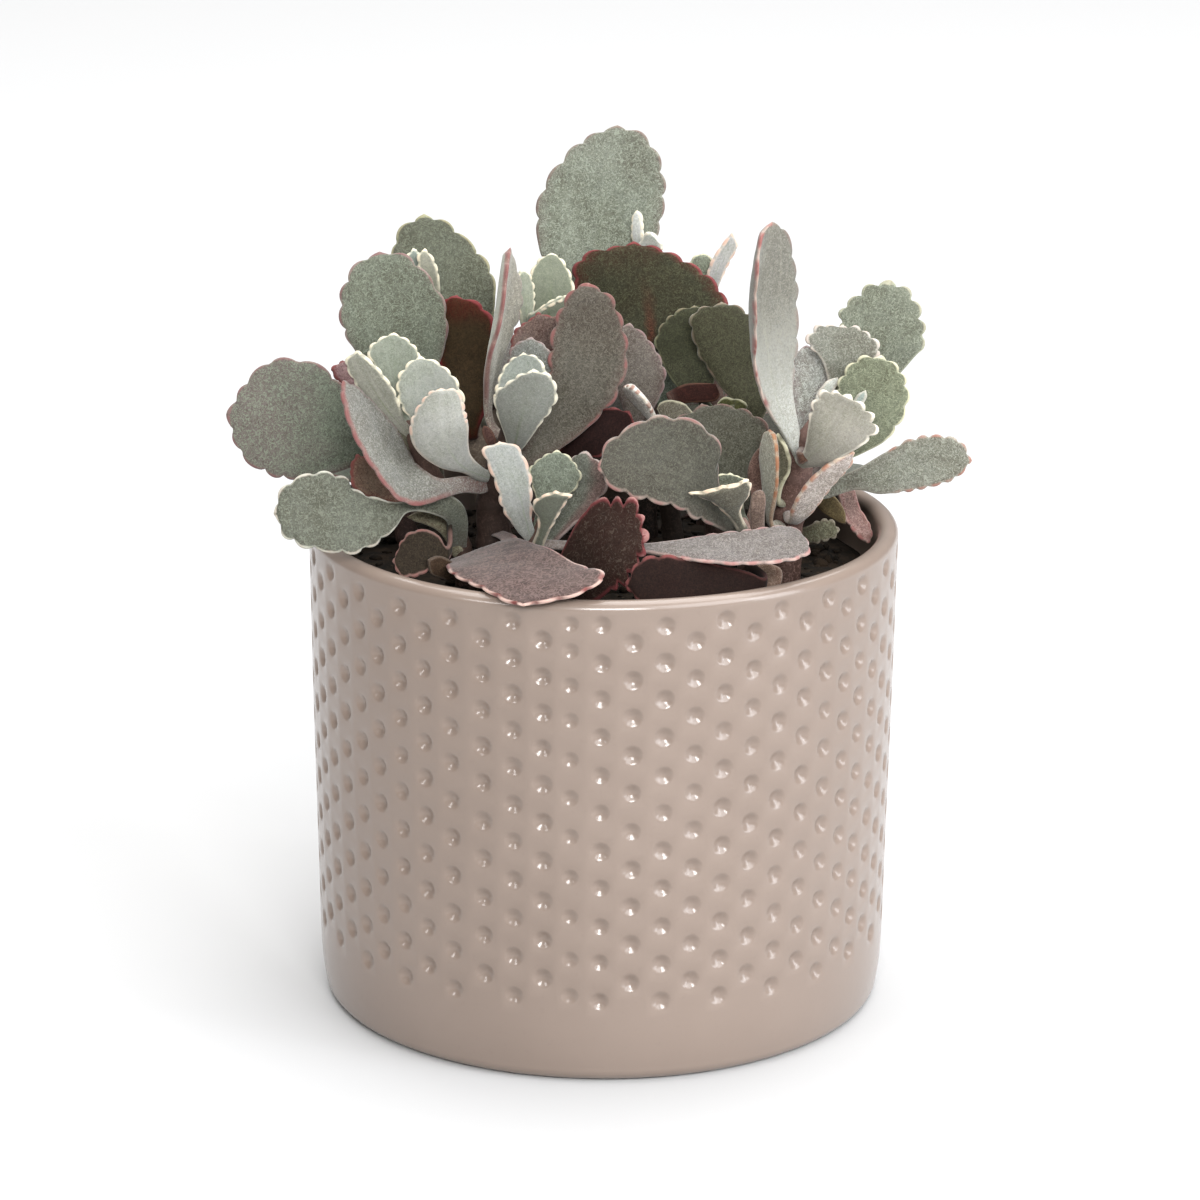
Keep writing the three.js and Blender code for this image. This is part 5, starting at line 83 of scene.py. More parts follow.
  {"n":"leaf_maroon_centre","k":"dark","s":[[-13.82,8.0,128.04],[-16.21,-4.0,129.91],[-15.43,-3.0,136.28],[-13.45,-2.0,143.27]],"v":[[0.993,-0.034,-0.115],[0.993,-0.034,-0.115],[0.979,-0.058,-0.194],[0.962,-0.078,-0.262]],"f":-1,"R":[[0.0,1.3],[0.29,1.35],[0.483,1.3],[0.612,3.89],[0.852,5.8],[1.0,4.96],[1.0,2.48],[1.0,0.0]],"L":[[0.0,1.3],[0.29,1.35],[0.483,1.3],[0.61,2.57],[0.736,3.55],[0.83,3.24],[0.911,1.59],[1.0,0.0]],"c":[0.08,0.08],"h":1.7,"t":5,"a":0.6,"z":0.638,"col":[0.1245,0.0995,0.0868],"slot":"dark_leaf"},
  {"n":"leaf_lilac_right","k":"lilac2","s":[[8.65,-5.17,121.52],[6.41,-1.33,119.38],[6.33,-0.07,130.11],[5.06,2.95,139.95]],"v":[[1.0,0.002,0.006],[1.0,0.002,0.006],[0.998,0.018,0.062],[0.992,0.036,0.118]],"f":-1,"R":[[0.0,1.3],[0.123,1.35],[0.205,1.3],[0.323,3.2],[0.458,4.96],[0.598,5.85],[0.747,4.81],[0.895,2.69],[1.0,0.0]],"L":[[0.0,1.3],[0.123,1.35],[0.205,1.3],[0.38,2.89],[0.622,5.04],[0.864,4.56],[0.973,2.53],[1.0,0.0]],"c":[0.08,0.08],"h":1.7,"t":5,"a":0.6,"z":0.443,"col":[0.1071,0.0931,0.0799],"slot":"lilac_leaf"},
  # leaf_shadow: col darker than the leaf's own pigment, painted shade
  {"n":"leaf_shadow","k":"dark","s":[[-22.37,-15.73,110.2],[-11.84,-12.0,111.7],[-2.85,-14.0,120.16],[4.69,-13.0,125.71]],"v":[[0.643,-0.218,-0.734],[0.643,-0.218,-0.734],[0.622,-0.224,-0.75],[0.596,-0.232,-0.769]],"f":-1,"R":[[0.0,1.3],[0.206,1.35],[0.343,1.3],[0.556,1.47],[0.717,3.83],[0.874,3.83],[0.986,2.64],[1.0,0.0]],"L":[[0.0,1.3],[0.206,1.35],[0.343,1.3],[0.502,2.65],[0.727,3.59],[0.902,3.33],[1.0,0.0]],"c":[0.08,0.08],"h":1.7,"t":5,"a":0.6,"z":0.54,"col":[0.013,0.0053,0.0043],"slot":"dark_leaf"},
  # leaf_edge_small: col lighter than the leaf's own pale grey, painted light making up for the shade it sits in
  {"n":"leaf_edge_small","k":"greyedge","s":[[9.64,-5.87,119.86],[10.34,-10.0,121.87],[7.48,-12.0,126.91],[4.46,-13.0,131.05]],"v":[[0.545,-0.838,-0.024],[0.545,-0.838,-0.024],[0.513,-0.857,0.049],[0.468,-0.874,0.133]],"f":-1,"R":[[0.0,1.3],[0.178,1.35],[0.297,1.0],[0.381,1.12],[0.508,2.2],[0.648,3.4],[0.775,4.0],[0.887,3.52],[0.965,2.08],[1.0,0.0]],"L":[[0.0,1.3],[0.178,1.35],[0.297,1.0],[0.381,1.12],[0.508,2.2],[0.648,3.4],[0.775,4.0],[0.887,3.52],[0.965,2.08],[1.0,0.0]],"c":[0.08,0.08],"h":1.7,"t":5,"a":0.4,"z":0.508,"col":[0.56,0.54,0.5],"slot":"lilac_leaf"},
  {"n":"leaf_front_upright","k":"white","s":[[-13.43,-30.27,103.19],[-14.33,-31.0,104.61],[-16.82,-35.0,115.5],[-20.31,-36.0,125.24]],"v":[[0.965,0.079,0.249],[0.965,0.079,0.249],[0.95,0.092,0.298],[0.933,0.105,0.345]],"f":-1,"R":[[0.0,1.3],[0.082,1.3],[0.256,1.07],[0.492,2.14],[0.703,3.33],[0.881,3.12],[0.957,1.93],[1.0,0.0]],"L":[[0.0,1.3],[0.082,1.3],[0.206,2.41],[0.444,3.83],[0.682,3.73],[0.873,3.68],[0.996,3.58],[1.0,1.89],[1.0,0.0]],"c":[0.08,0.08],"h":1.7,"t":7,"a":0.4,"z":0.265,"col":[0.2484,0.2556,0.2447],"slot":"young_leaf"},
  {"n":"leaf_front_small_a","k":"green","s":[[-12.49,-30.76,106.22],[-12.57,-31.0,107.49],[-10.24,-30.0,115.19],[-9.29,-28.0,121.57]],"v":[[0.957,-0.084,-0.279],[0.957,-0.084,-0.279],[0.975,-0.064,-0.213],[0.99,-0.04,-0.133]],"f":-1,"R":[[0.0,1.3],[0.089,1.3],[0.384,2.59],[0.586,4.43],[0.732,5.32],[0.89,3.59],[0.967,1.86],[1.0,0.0]],"L":[[0.0,1.3],[0.089,1.3],[0.308,1.78],[0.535,3.86],[0.74,4.82],[0.882,3.12],[0.951,1.48],[1.0,0.0]],"c":[0.1,0.1],"h":1.7,"t":5,"a":0.5,"z":0.362,"g":"shoot_front","col":[0.1136,0.1275,0.0991],"slot":"sage_leaf"},
  {"n":"leaf_front_small_b","k":"whitegreen","s":[[-13.73,-30.02,102.34],[-13.31,-33.37,102.85],[-11.52,-36.34,109.82],[-9.36,-38.27,116.25]],"v":[[0.957,-0.077,-0.279],[0.957,-0.077,-0.279],[0.946,-0.088,-0.311],[0.934,-0.098,-0.343]],"f":1,"R":[[0.0,1.3],[0.197,1.3],[0.397,1.41],[0.693,2.08],[0.951,2.81],[1.0,3.2],[1.0,0.0]],"L":[[0.0,1.3],[0.197,1.3],[0.461,0.91],[0.627,1.48],[0.693,3.11],[0.778,3.22],[0.887,2.01],[1.0,0.0]],"c":[0.25,0.25],"h":1.7,"t":4,"a":0.4,"z":0.438,"g":"shoot_front","col":[0.0854,0.0932,0.0728],"slot":"young_leaf"},
  {"n":"leaf_front_small_c","k":"greenpurple","s":[[-14.42,-29.28,100.63],[-12.39,-29.0,101.59],[-5.72,-27.0,110.3],[-3.6,-24.0,120.13]],"v":[[0.711,-0.566,-0.417],[0.711,-0.566,-0.417],[0.82,-0.516,-0.249],[0.888,-0.456,-0.049]],"f":-1,"R":[[0.0,1.3],[0.101,1.3],[0.275,1.51],[0.484,2.55],[0.642,4.47],[0.777,5.98],[0.886,5.12],[0.956,2.43],[1.0,0.0]],"L":[[0.0,1.3],[0.101,1.3],[0.261,1.6],[0.466,2.89],[0.711,2.78],[0.886,3.01],[0.97,2.05],[1.0,0.0]],"c":[0.08,0.08],"h":2.0,"t":6,"a":0.6,"z":0.371,"col":[0.1049,0.1101,0.0912],"slot":"sage_leaf"},
  {"n":"leaf_front_right_round","k":"sagegrey","s":[[28.28,-25.37,101.2],[28.85,-23.75,103.01],[16.81,-33.35,116.27],[-1.02,-38.38,121.16]],"v":[[0.493,0.431,0.756],[0.493,0.431,0.756],[0.251,0.51,0.823],[0.064,0.567,0.821]],"f":-1,"R":[[0.0,1.3],[0.057,1.35],[0.095,1.3],[0.218,0.9],[0.347,2.08],[0.445,4.73],[0.49,9.46],[0.565,11.48],[0.66,11.99],[0.773,11.26],[0.889,8.27],[0.978,4.35],[1.0,0.0]],"L":[[0.0,1.3],[0.057,1.35],[0.095,1.3],[0.232,3.04],[0.459,5.25],[0.716,5.46],[0.863,4.71],[0.956,2.79],[1.0,0.0]],"c":[0.08,0.08],"h":1.7,"t":9,"a":0.6,"z":0.321,"col":[0.051,0.049,0.0381],"slot":"sage_leaf"},
  {"n":"leaf_grey_right","k":"greypurple","s":[[36.59,-11.06,102.73],[30.14,-12.64,105.89],[25.2,-11.66,116.61],[19.73,-8.78,125.96]],"v":[[0.906,0.121,0.406],[0.906,0.121,0.406],[0.89,0.131,0.436],[0.873,0.141,0.467]],"f":-1,"R":[[0.0,1.3],[0.148,1.35],[0.246,1.3],[0.41,2.82],[0.584,7.72],[0.704,9.08],[0.836,6.83],[0.938,3.32],[1.0,0.0]],"L":[[0.0,1.3],[0.148,1.35],[0.246,1.3],[0.422,4.02],[0.674,7.96],[0.92,9.44],[1.0,8.55],[1.0,4.52],[1.0,0.0]],"c":[0.08,0.08],"h":1.7,"t":7,"a":0.6,"z":0.472,"col":[0.0689,0.0687,0.0524],"slot":"lilac_leaf"},
  {"n":"leaf_cup_front","k":"cup","s":[[27.91,-26.1,104.48],[27.71,-28.0,104.83],[25.12,-33.0,111.14],[22.98,-37.0,117.1]],"v":[[0.884,0.115,0.454],[0.884,0.115,0.454],[0.899,0.107,0.425],[0.914,0.099,0.394]],"f":1,"R":[[0.0,1.3],[0.119,1.3],[0.417,1.26],[0.577,2.11],[0.702,4.85],[0.865,5.21],[0.918,2.96],[1.0,0.0]],"L":[[0.0,1.3],[0.119,1.3],[0.403,1.03],[0.76,2.49],[0.93,4.58],[1.0,6.54],[1.0,4.43],[1.0,2.52],[1.0,0.0]],"c":[0.25,0.25],"h":1.7,"t":5,"a":0.5,"z":0.383,"g":"shoot_right_front","col":[0.0752,0.0712,0.0534],"slot":"young_leaf"},
  {"n":"leaf_cup_back","k":"green","s":[[27.47,-26.76,106.66],[26.55,-25.18,108.55],[25.24,-27.15,113.19],[24.79,-27.18,116.87]],"v":[[0.951,0.077,0.3],[0.951,0.077,0.3],[0.974,0.057,0.219],[0.992,0.033,0.119]],"f":-1,"R":[[0.0,1.3],[0.236,1.3],[0.445,1.85],[0.693,3.44],[0.877,3.04],[1.0,0.0]],"L":[[0.0,1.3],[0.236,1.3],[0.606,1.81],[0.853,3.7],[1.0,3.15],[1.0,0.0]],"c":[0.15,0.15],"h":1.7,"t":4,"a":0.4,"z":0.465,"g":"shoot_right_front","col":[0.0676,0.0729,0.0532],"slot":"sage_leaf"},
  {"n":"leaf_pink_back","k":"pink","s":[[28.22,-25.51,101.87],[30.66,-14.29,108.02],[29.98,-13.73,114.08],[31.32,-13.22,118.92]],"v":[[0.993,0.031,0.11],[0.993,0.031,0.11],[0.998,-0.019,-0.059],[0.962,-0.079,-0.261]],"f":-1,"R":[[0.0,1.3],[0.326,1.35],[0.544,1.3],[0.703,1.53],[0.917,1.36],[1.0,0.0]],"L":[[0.0,1.3],[0.326,1.35],[0.544,1.3],[0.662,1.43],[0.805,1.23],[0.937,0.74],[1.0,0.0]],"c":[0.08,0.08],"h":1.7,"t":0,"a":0.6,"z":0.681,"g":"shoot_right_front","col":[0.1178,0.0712,0.0565],"slot":"lilac_leaf"},
  {"n":"leaf_pink_front","k":"pink","s":[[28.19,-25.58,102.19],[30.4,-24.41,104.03],[30.46,-26.3,109.3],[30.8,-26.1,113.34]],"v":[[1.0,-0.018,-0.017],[1.0,-0.018,-0.017],[0.999,-0.021,-0.046],[0.996,-0.027,-0.082]],"f":-1,"R":[[0.0,1.3],[0.252,1.3],[0.508,1.29],[0.826,1.43],[0.975,0.83],[1.0,0.0]],"L":[[0.0,1.3],[0.252,1.3],[0.4,1.45],[0.754,1.65],[0.941,1.31],[1.0,0.0]],"c":[0.08,0.08],"h":1.7,"t":0,"a":0.6,"z":0.476,"g":"shoot_right_front","col":[0.1307,0.0929,0.0747],"slot":"lilac_leaf"},
  {"n":"leaf_green_edge_a","k":"greenorange","s":[[36.59,-11.06,102.73],[33.12,-20.0,104.65],[32.84,-23.0,115.58],[32.53,-22.0,124.52]],"v":[[0.371,-0.897,-0.238],[0.371,-0.897,-0.238],[0.343,-0.936,-0.084],[0.319,-0.94,0.118]],"f":-1,"R":[[0.0,1.3],[0.199,1.35],[0.332,1.2],[0.412,1.4],[0.532,2.75],[0.666,4.25],[0.786,5.0],[0.893,4.4],[0.967,2.6],[1.0,0.0]],"L":[[0.0,1.3],[0.199,1.35],[0.332,1.2],[0.412,1.4],[0.532,2.75],[0.666,4.25],[0.786,5.0],[0.893,4.4],[0.967,2.6],[1.0,0.0]],"c":[0.08,0.08],"h":1.7,"t":5,"a":0.3,"z":0.532,"col":[0.2765,0.2715,0.2165],"slot":"sage_leaf"},
  {"n":"leaf_green_edge_b","k":"green","s":[[37.39,-11.61,106.98],[34.19,-16.0,108.51],[35.63,-17.0,116.03],[34.52,-17.0,122.61]],"v":[[0.724,-0.652,-0.226],[0.724,-0.652,-0.226],[0.779,-0.624,-0.062],[0.797,-0.589,0.136]],"f":-1,"R":[[0.0,1.3],[0.174,1.35],[0.29,1.3],[0.466,0.95],[0.674,1.77],[0.844,1.52],[1.0,0.0]],"L":[[0.0,1.3],[0.174,1.35],[0.29,1.3],[0.493,1.56],[0.785,1.88],[0.938,1.09],[1.0,0.0]],"c":[0.08,0.08],"h":1.7,"t":3,"a":0.3,"z":0.503,"g":"shoot_right","col":[0.126,0.1185,0.0825],"slot":"sage_leaf"},
  {"n":"leaf_tall_right","k":"tallpale","s":[[39.18,-13.0,116.01],[39.28,-15.0,116.55],[33.11,-19.0,131.5],[31.0,-20.0,150.36],[32.59,-18.0,165.15]],"v":[[0.55,0.72,0.423],[0.55,0.72,0.423],[0.647,0.716,0.262],[0.717,0.697,-0.009],[0.719,0.673,-0.171]],"f":-1,"R":[[0.0,1.3],[0.059,1.3],[0.173,3.19],[0.355,5.85],[0.563,8.78],[0.743,9.57],[0.89,7.41],[0.979,3.84],[1.0,0.0]],"L":[[0.0,1.3],[0.059,1.3],[0.209,1.7],[0.341,3.6],[0.482,6.2],[0.642,8.2],[0.812,8.2],[0.925,5.8],[0.976,3.0],[1.0,0.0]],"c":[0.06,0.85],"h":2.1,"t":9,"a":0.6,"z":0.294,"col":[0.1297,0.1244,0.105],"slot":"lilac_leaf"},
  # leaf_lilac_inner: col lighter than the leaf's own lilac, painted light making up for the shade of the tall leaf over
  # it
  {"n":"leaf_lilac_inner","k":"lilac2","s":[[38.66,-12.65,113.81],[39.55,-9.0,115.36],[40.58,-8.0,127.12],[40.46,-6.0,137.76]],"v":[[0.996,-0.027,-0.085],[0.996,-0.027,-0.085],[0.999,-0.013,-0.039],[1.0,0.003,0.011]],"f":-1,"R":[[0.0,1.3],[0.099,1.35],[0.164,1.3],[0.416,1.04],[0.622,2.38],[0.763,4.72],[0.893,3.77],[0.964,2.0],[1.0,0.0]],"L":[[0.0,1.3],[0.099,1.35],[0.164,1.3],[0.403,2.15],[0.711,3.29],[0.937,2.42],[1.0,0.0]],"c":[0.08,0.08],"h":1.7,"t":4,"a":0.6,"z":0.415,"col":[0.2681,0.2766,0.2543],"slot":"lilac_leaf"},
  {"n":"leaf_wavy_right","k":"palewavy","s":[[44.11,-13.17,126.08],[45.09,-10.2,126.68],[46.93,-10.06,134.88],[47.49,-7.79,141.92]],"v":[[0.974,-0.068,-0.217],[0.974,-0.068,-0.217],[0.988,-0.045,-0.148],[0.997,-0.022,-0.072]],"f":-1,"R":[[0.0,1.3],[0.181,1.3],[0.403,2.59],[0.628,5.21],[0.776,7.45],[0.912,5.9],[1.0,3.33],[1.0,0.0]],"L":[[0.0,1.3],[0.181,1.3],[0.43,1.88],[0.66,4.15],[0.825,6.8],[0.95,5.73],[1.0,3.44],[1.0,0.0]],"c":[0.15,0.15],"h":1.7,"t":4,"a":1.05,"z":0.55,"col":[0.1463,0.1486,0.1242],"slot":"lilac_leaf"},
  {"n":"leaf_green_upper_right","k":"sagegreen","s":[[43.21,-13.56,124.74],[53.11,-2.02,128.17],[55.4,-0.3,137.71],[57.11,2.34,148.45]],"v":[[0.973,-0.068,-0.222],[0.973,-0.068,-0.222],[0.982,-0.055,-0.182],[0.988,-0.044,-0.146]],"f":-1,"R":[[0.0,1.3],[0.258,1.35],[0.431,1.3],[0.502,3.89],[0.6,6.67],[0.702,8.61],[0.814,7.8],[0.924,5.73],[0.991,2.91],[1.0,0.0]],"L":[[0.0,1.3],[0.258,1.35],[0.431,1.3],[0.542,4.84],[0.662,7.76],[0.823,8.35],[0.909,6.19],[0.979,3.35],[1.0,0.0]],"c":[0.08,0.08],"h":1.7,"t":5,"a":0.9,"z":0.601,"col":[0.1374,0.148,0.1148],"slot":"sage_leaf"},
  {"n":"leaf_green_right","k":"green","s":[[39.58,-13.23,117.28],[46.82,-12.0,116.41],[52.48,-14.0,126.67],[54.69,-13.0,137.08]],"v":[[0.851,-0.156,-0.502],[0.851,-0.156,-0.502],[0.927,-0.112,-0.358],[0.978,-0.062,-0.199]],"f":-1,"R":[[0.0,1.3],[0.154,1.35],[0.256,1.3],[0.383,3.39],[0.507,5.64],[0.636,6.67],[0.761,6.93],[0.884,5.51],[0.979,2.78],[1.0,0.0]],"L":[[0.0,1.3],[0.154,1.35],[0.256,1.3],[0.436,3.81],[0.611,6.63],[0.807,7.03],[0.93,5.22],[0.982,2.72],[1.0,0.0]],"c":[0.08,0.08],"h":1.7,"t":6,"a":0.8,"z":0.479,"col":[0.1322,0.1438,0.0984],"slot":"sage_leaf"},
  {"n":"leaf_white_right","k":"white2","s":[[39.58,-13.23,117.28],[39.04,-25.06,118.43],[43.34,-31.22,125.98],[47.51,-30.8,133.36]],"v":[[0.778,-0.19,-0.599],[0.778,-0.19,-0.599],[0.829,-0.167,-0.534],[0.865,-0.146,-0.48]],"f":1,"R":[[0.0,1.3],[0.232,1.35],[0.387,1.3],[0.533,3.42],[0.689,5.43],[0.791,7.07],[0.905,7.78],[0.968,5.31],[1.0,2.44],[1.0,0.0]],"L":[[0.0,1.3],[0.232,1.35],[0.387,1.3],[0.551,1.85],[0.75,4.4],[0.91,5.35],[0.981,3.29],[1.0,0.0]],"c":[0.1,0.1],"h":1.7,"t":4,"a":0.95,"z":0.663,"col":[0.2044,0.1951,0.168],"slot":"young_leaf"},
  {"n":"leaf_tiny_right","k":"white","s":[[43.96,-13.23,125.86],[48.73,-17.0,127.41],[50.27,-17.0,129.47],[51.81,-17.0,131.52]],"v":[[0.787,-0.179,-0.591],[0.787,-0.179,-0.591],[0.787,-0.179,-0.591],[0.787,-0.179,-0.591]],"f":-1,"R":[[0.0,1.3],[0.333,1.35],[0.555,1.3],[0.74,1.36],[0.916,1.02],[1.0,0.0]],"L":[[0.0,1.3],[0.333,1.35],[0.555,1.3],[0.686,0.68],[0.86,0.74],[1.0,0.0]],"c":[0.08,0.08],"h":1.7,"t":0,"a":0.6,"z":0.689,"g":"shoot_right","col":[0.2289,0.2629,0.2488],"slot":"young_leaf"},
  {"n":"leaf_sliver_right","k":"white","s":[[44.11,-13.17,126.08],[43.37,-12.0,128.57],[44.52,-12.0,131.04],[46.53,-11.0,132.65]],"v":[[0.901,-0.127,-0.416],[0.901,-0.127,-0.416],[0.799,-0.173,-0.575],[0.672,-0.214,-0.709]],"f":-1,"R":[[0.0,1.3],[0.345,1.3],[0.55,1.68],[0.893,1.07],[1.0,0.0]],"L":[[0.0,1.3],[0.345,1.3],[0.553,1.0],[0.769,0.82],[1.0,0.0]],"c":[0.08,0.08],"h":1.7,"t":0,"a":0.6,"z":0.541,"g":"shoot_right","col":[0.4132,0.416,0.3994],"slot":"young_leaf"},
  {"n":"leaf_bud_right","k":"bud","s":[[39.8,-13.36,117.91],[38.34,-26.95,120.15],[40.83,-28.02,121.07],[41.1,-29.32,124.86]],"v":[[0.217,-0.278,-0.936],[0.217,-0.278,-0.936],[0.808,-0.177,-0.562],[0.996,-0.039,-0.079]],"f":-1,"R":[[0.0,1.3],[0.405,1.35],[0.675,1.3],[0.758,0.75],[0.856,0.92],[0.946,0.64],[1.0,0.0]],"L":[[0.0,1.3],[0.405,1.35],[0.675,1.3],[0.708,1.1],[0.889,0.92],[0.967,0.5],[1.0,0.0]],"c":[0.08,0.08],"h":1.7,"t":0,"a":0.6,"z":0.773,"g":"shoot_right","col":[0.0592,0.0304,0.0197],"slot":"young_leaf"},
  {"n":"leaf_edge_right","k":"edgepale","s":[[36.99,-11.33,105.09],[38.0,-22.0,105.87],[43.3,-28.0,115.58],[48.9,-31.0,122.72]],"v":[[0.875,0.437,-0.207],[0.875,0.437,-0.207],[0.832,0.477,-0.283],[0.763,0.524,-0.379]],"f":-1,"R":[[0.0,1.3],[0.2,1.35],[0.333,1.3],[0.477,2.08],[0.702,2.46],[0.889,2.02],[1.0,0.0]],"L":[[0.0,1.3],[0.2,1.35],[0.333,1.3],[0.457,2.93],[0.671,3.58],[0.883,2.21],[1.0,0.0]],"c":[0.08,0.08],"h":1.9,"t":8,"a":0.35,"z":0.399,"col":[0.3106,0.2745,0.2513],"slot":"lilac_leaf"},
  {"n":"leaf_right_long","k":"sagered","s":[[37.64,-11.78,108.08],[44.66,-10.0,108.79],[58.24,-13.0,113.64],[73.22,-15.0,116.55]],"v":[[0.269,-0.277,-0.922],[0.269,-0.277,-0.922],[0.205,-0.282,-0.937],[0.145,-0.285,-0.947]],"f":-1,"R":[[0.0,1.3],[0.118,1.35],[0.197,1.5],[0.354,1.44],[0.479,3.59],[0.626,4.12],[0.777,3.95],[0.918,2.59],[1.0,0.0]],"L":[[0.0,1.3],[0.118,1.35],[0.197,1.5],[0.295,2.11],[0.424,2.78],[0.586,4.52],[0.711,5.69],[0.843,5.81],[0.955,4.06],[1.0,0.0]],"c":[0.08,0.08],"h":1.7,"t":8,"a":0.6,"z":0.518,"col":[0.1635,0.1677,0.1396],"slot":"sage_leaf"},
  {"n":"leaf_red_in_pot","k":"redpink","s":[[40.18,16.18,102.88],[48.02,8.0,105.34],[51.52,6.0,99.96],[54.29,2.0,94.51]],"v":[[-0.753,-0.602,-0.268],[-0.753,-0.602,-0.268],[-0.816,-0.554,-0.166],[-0.865,-0.496,-0.075]],"f":-1,"R":[[0.0,1.3],[0.276,1.35],[0.459,1.3],[0.557,2.42],[0.721,2.95],[0.906,1.91],[1.0,0.0]],"L":[[0.0,1.3],[0.276,1.35],[0.459,1.3],[0.547,1.98],[0.711,1.48],[0.84,1.96],[0.94,1.49],[1.0,0.0]],"c":[0.08,0.08],"h":1.7,"t":4,"a":0.4,"z":0.621,"col":[0.1695,0.1109,0.0992],"slot":"dark_leaf"},
  {"n":"leaf_olive_in_pot","k":"olive","s":[[39.61,15.61,100.3],[41.19,2.0,106.1],[45.62,0.0,104.14],[49.28,-2.0,99.65]],"v":[[-0.481,-0.25,-0.84],[-0.481,-0.25,-0.84],[-0.671,-0.212,-0.71],[-0.801,-0.172,-0.574]],"f":-1,"R":[[0.0,1.3],[0.346,1.35],[0.576,1.3],[0.629,2.03],[0.812,2.58],[0.954,1.09],[1.0,0.0]],"L":[[0.0,1.3],[0.346,1.35],[0.576,1.3],[0.689,1.38],[0.821,1.49],[0.921,1.22],[1.0,0.0]],"c":[0.08,0.08],"h":1.7,"t":0,"a":0.6,"z":0.703,"g":"litter","col":[0.0681,0.0514,0.0222],"slot":"sage_leaf"},
  {"n":"leaf_dull_in_pot","k":"dull","s":[[39.6,-10.0,99.56],[43.52,-12.0,100.78],[47.13,-12.0,101.22]],"v":[[0.151,-0.283,-0.947],[0.134,-0.285,-0.949],[0.116,-0.287,-0.951]],"f":-1,"R":[[0.0,1.3],[0.299,1.96],[0.68,1.74],[0.934,1.16],[1.0,0.0]],"L":[[0.0,1.3],[0.259,1.55],[0.64,2.35],[0.877,1.93],[1.0,0.0]],"c":[0.08,0.08],"h":1.7,"t":3,"a":0.6,"z":0.3,"g":"litter","col":[0.0726,0.0722,0.0479],"slot":"dark_leaf"},
  {"n":"leaf_front_flat","k":"palepink","s":[[-13.43,-30.27,103.19],[6.87,-41.0,105.58],[18.66,-45.0,106.41],[30.33,-44.0,106.59],[39.81,-40.0,106.71]],"v":[[-0.273,-0.878,-0.393],[-0.273,-0.878,-0.393],[-0.1,-0.924,-0.368],[0.219,-0.906,-0.363],[0.367,-0.853,-0.37]],"f":-1,"R":[[0.0,1.3],[0.24,1.35],[0.401,1.3],[0.496,2.09],[0.618,3.76],[0.767,5.02],[0.878,5.06],[0.963,3.83],[1.0,0.0]],"L":[[0.0,1.3],[0.24,1.35],[0.401,1.3],[0.503,2.47],[0.634,4.39],[0.773,5.28],[0.923,5.68],[0.984,4.41],[1.0,0.0]],"c":[0.08,0.08],"h":1.7,"t":9,"a":0.6,"z":0.52,"col":[0.1215,0.1089,0.1022],"slot":"lilac_leaf"},
  # leaf_dark_low: col darker than the leaf's own pigment, painted shade
  {"n":"leaf_dark_low","k":"darkgreen","s":[[28.54,-24.94,97.62],[31.28,-42.33,98.81],[18.67,-47.76,101.16],[4.34,-49.08,100.25]],"v":[[0.055,0.287,0.956],[0.055,0.287,0.956],[-0.021,0.288,0.957],[-0.087,0.287,0.954]],"f":-1,"R":[[0.0,1.3],[0.235,1.35],[0.392,1.3],[0.488,2.42],[0.691,3.68],[0.847,5.15],[0.944,4.24],[1.0,0.0]],"L":[[0.0,1.3],[0.235,1.35],[0.392,1.3],[0.5,3.48],[0.667,5.23],[0.828,5.05],[0.947,3.13],[1.0,0.0]],"c":[0.08,0.08],"h":1.7,"t":6,"a":0.6,"z":0.574,"col":[0.0108,0.0054,0.004],"slot":"dark_leaf"},
  {"n":"leaf_purple_low","k":"purple","s":[[33.38,-29.25,93.69],[32.55,-29.16,96.55],[31.31,-29.2,99.44]],"v":[[0.958,0.081,0.277],[0.937,0.099,0.336],[0.913,0.115,0.392]],"f":-1,"R":[[0.0,1.3],[0.237,2.42],[0.582,2.78],[1.0,0.0]],"L":[[0.0,1.3],[0.266,2.04],[0.907,2.63],[1.0,0.0]],"c":[0.08,0.08],"h":1.7,"t":0,"a":0.6,"z":0.3,"g":"litter","col":[0.1948,0.135,0.1016],"slot":"dark_leaf"},
  {"n":"leaf_green_mid","k":"deepgreen","s":[[22.98,19.55,115.83],[19.9,8.0,123.36],[17.84,12.0,131.39],[18.17,14.0,140.97]],"v":[[0.974,0.065,0.219],[0.974,0.065,0.219],[0.996,0.027,0.089],[0.999,-0.01,-0.034]],"f":-1,"R":[[0.0,1.3],[0.261,1.35],[0.434,1.3],[0.519,3.71],[0.77,6.2],[0.944,4.42],[0.997,2.05],[1.0,0.0]],"L":[[0.0,1.3],[0.261,1.35],[0.434,1.3],[0.544,4.54],[0.708,6.57],[0.802,7.32],[0.909,5.53],[0.971,2.81],[1.0,0.0]],"c":[0.08,0.08],"h":1.7,"t":6,"a":0.6,"z":0.604,"col":[0.0311,0.0323,0.0166],"slot":"dark_leaf"},
  {"n":"leaf_olive_mid","k":"olivegrey","s":[[23.37,18.04,108.57],[30.36,1.0,118.92],[27.05,5.0,131.06],[23.71,8.0,143.02]],"v":[[0.968,0.072,0.24],[0.968,0.072,0.24],[0.967,0.074,0.245],[0.965,0.075,0.25]],"f":1,"R":[[0.0,1.3],[0.275,1.35],[0.458,1.3],[0.557,4.15],[0.701,5.89],[0.843,6.4],[0.92,4.87],[0.976,2.64],[1.0,0.0]],"L":[[0.0,1.3],[0.275,1.35],[0.458,1.3],[0.549,2.45],[0.69,5.13],[0.825,7.04],[0.947,7.16],[0.997,5.26],[1.0,2.46],[1.0,0.0]],"c":[0.08,0.08],"h":1.7,"t":7,"a":0.6,"z":0.62,"col":[0.0437,0.0438,0.0242],"slot":"dark_leaf"},
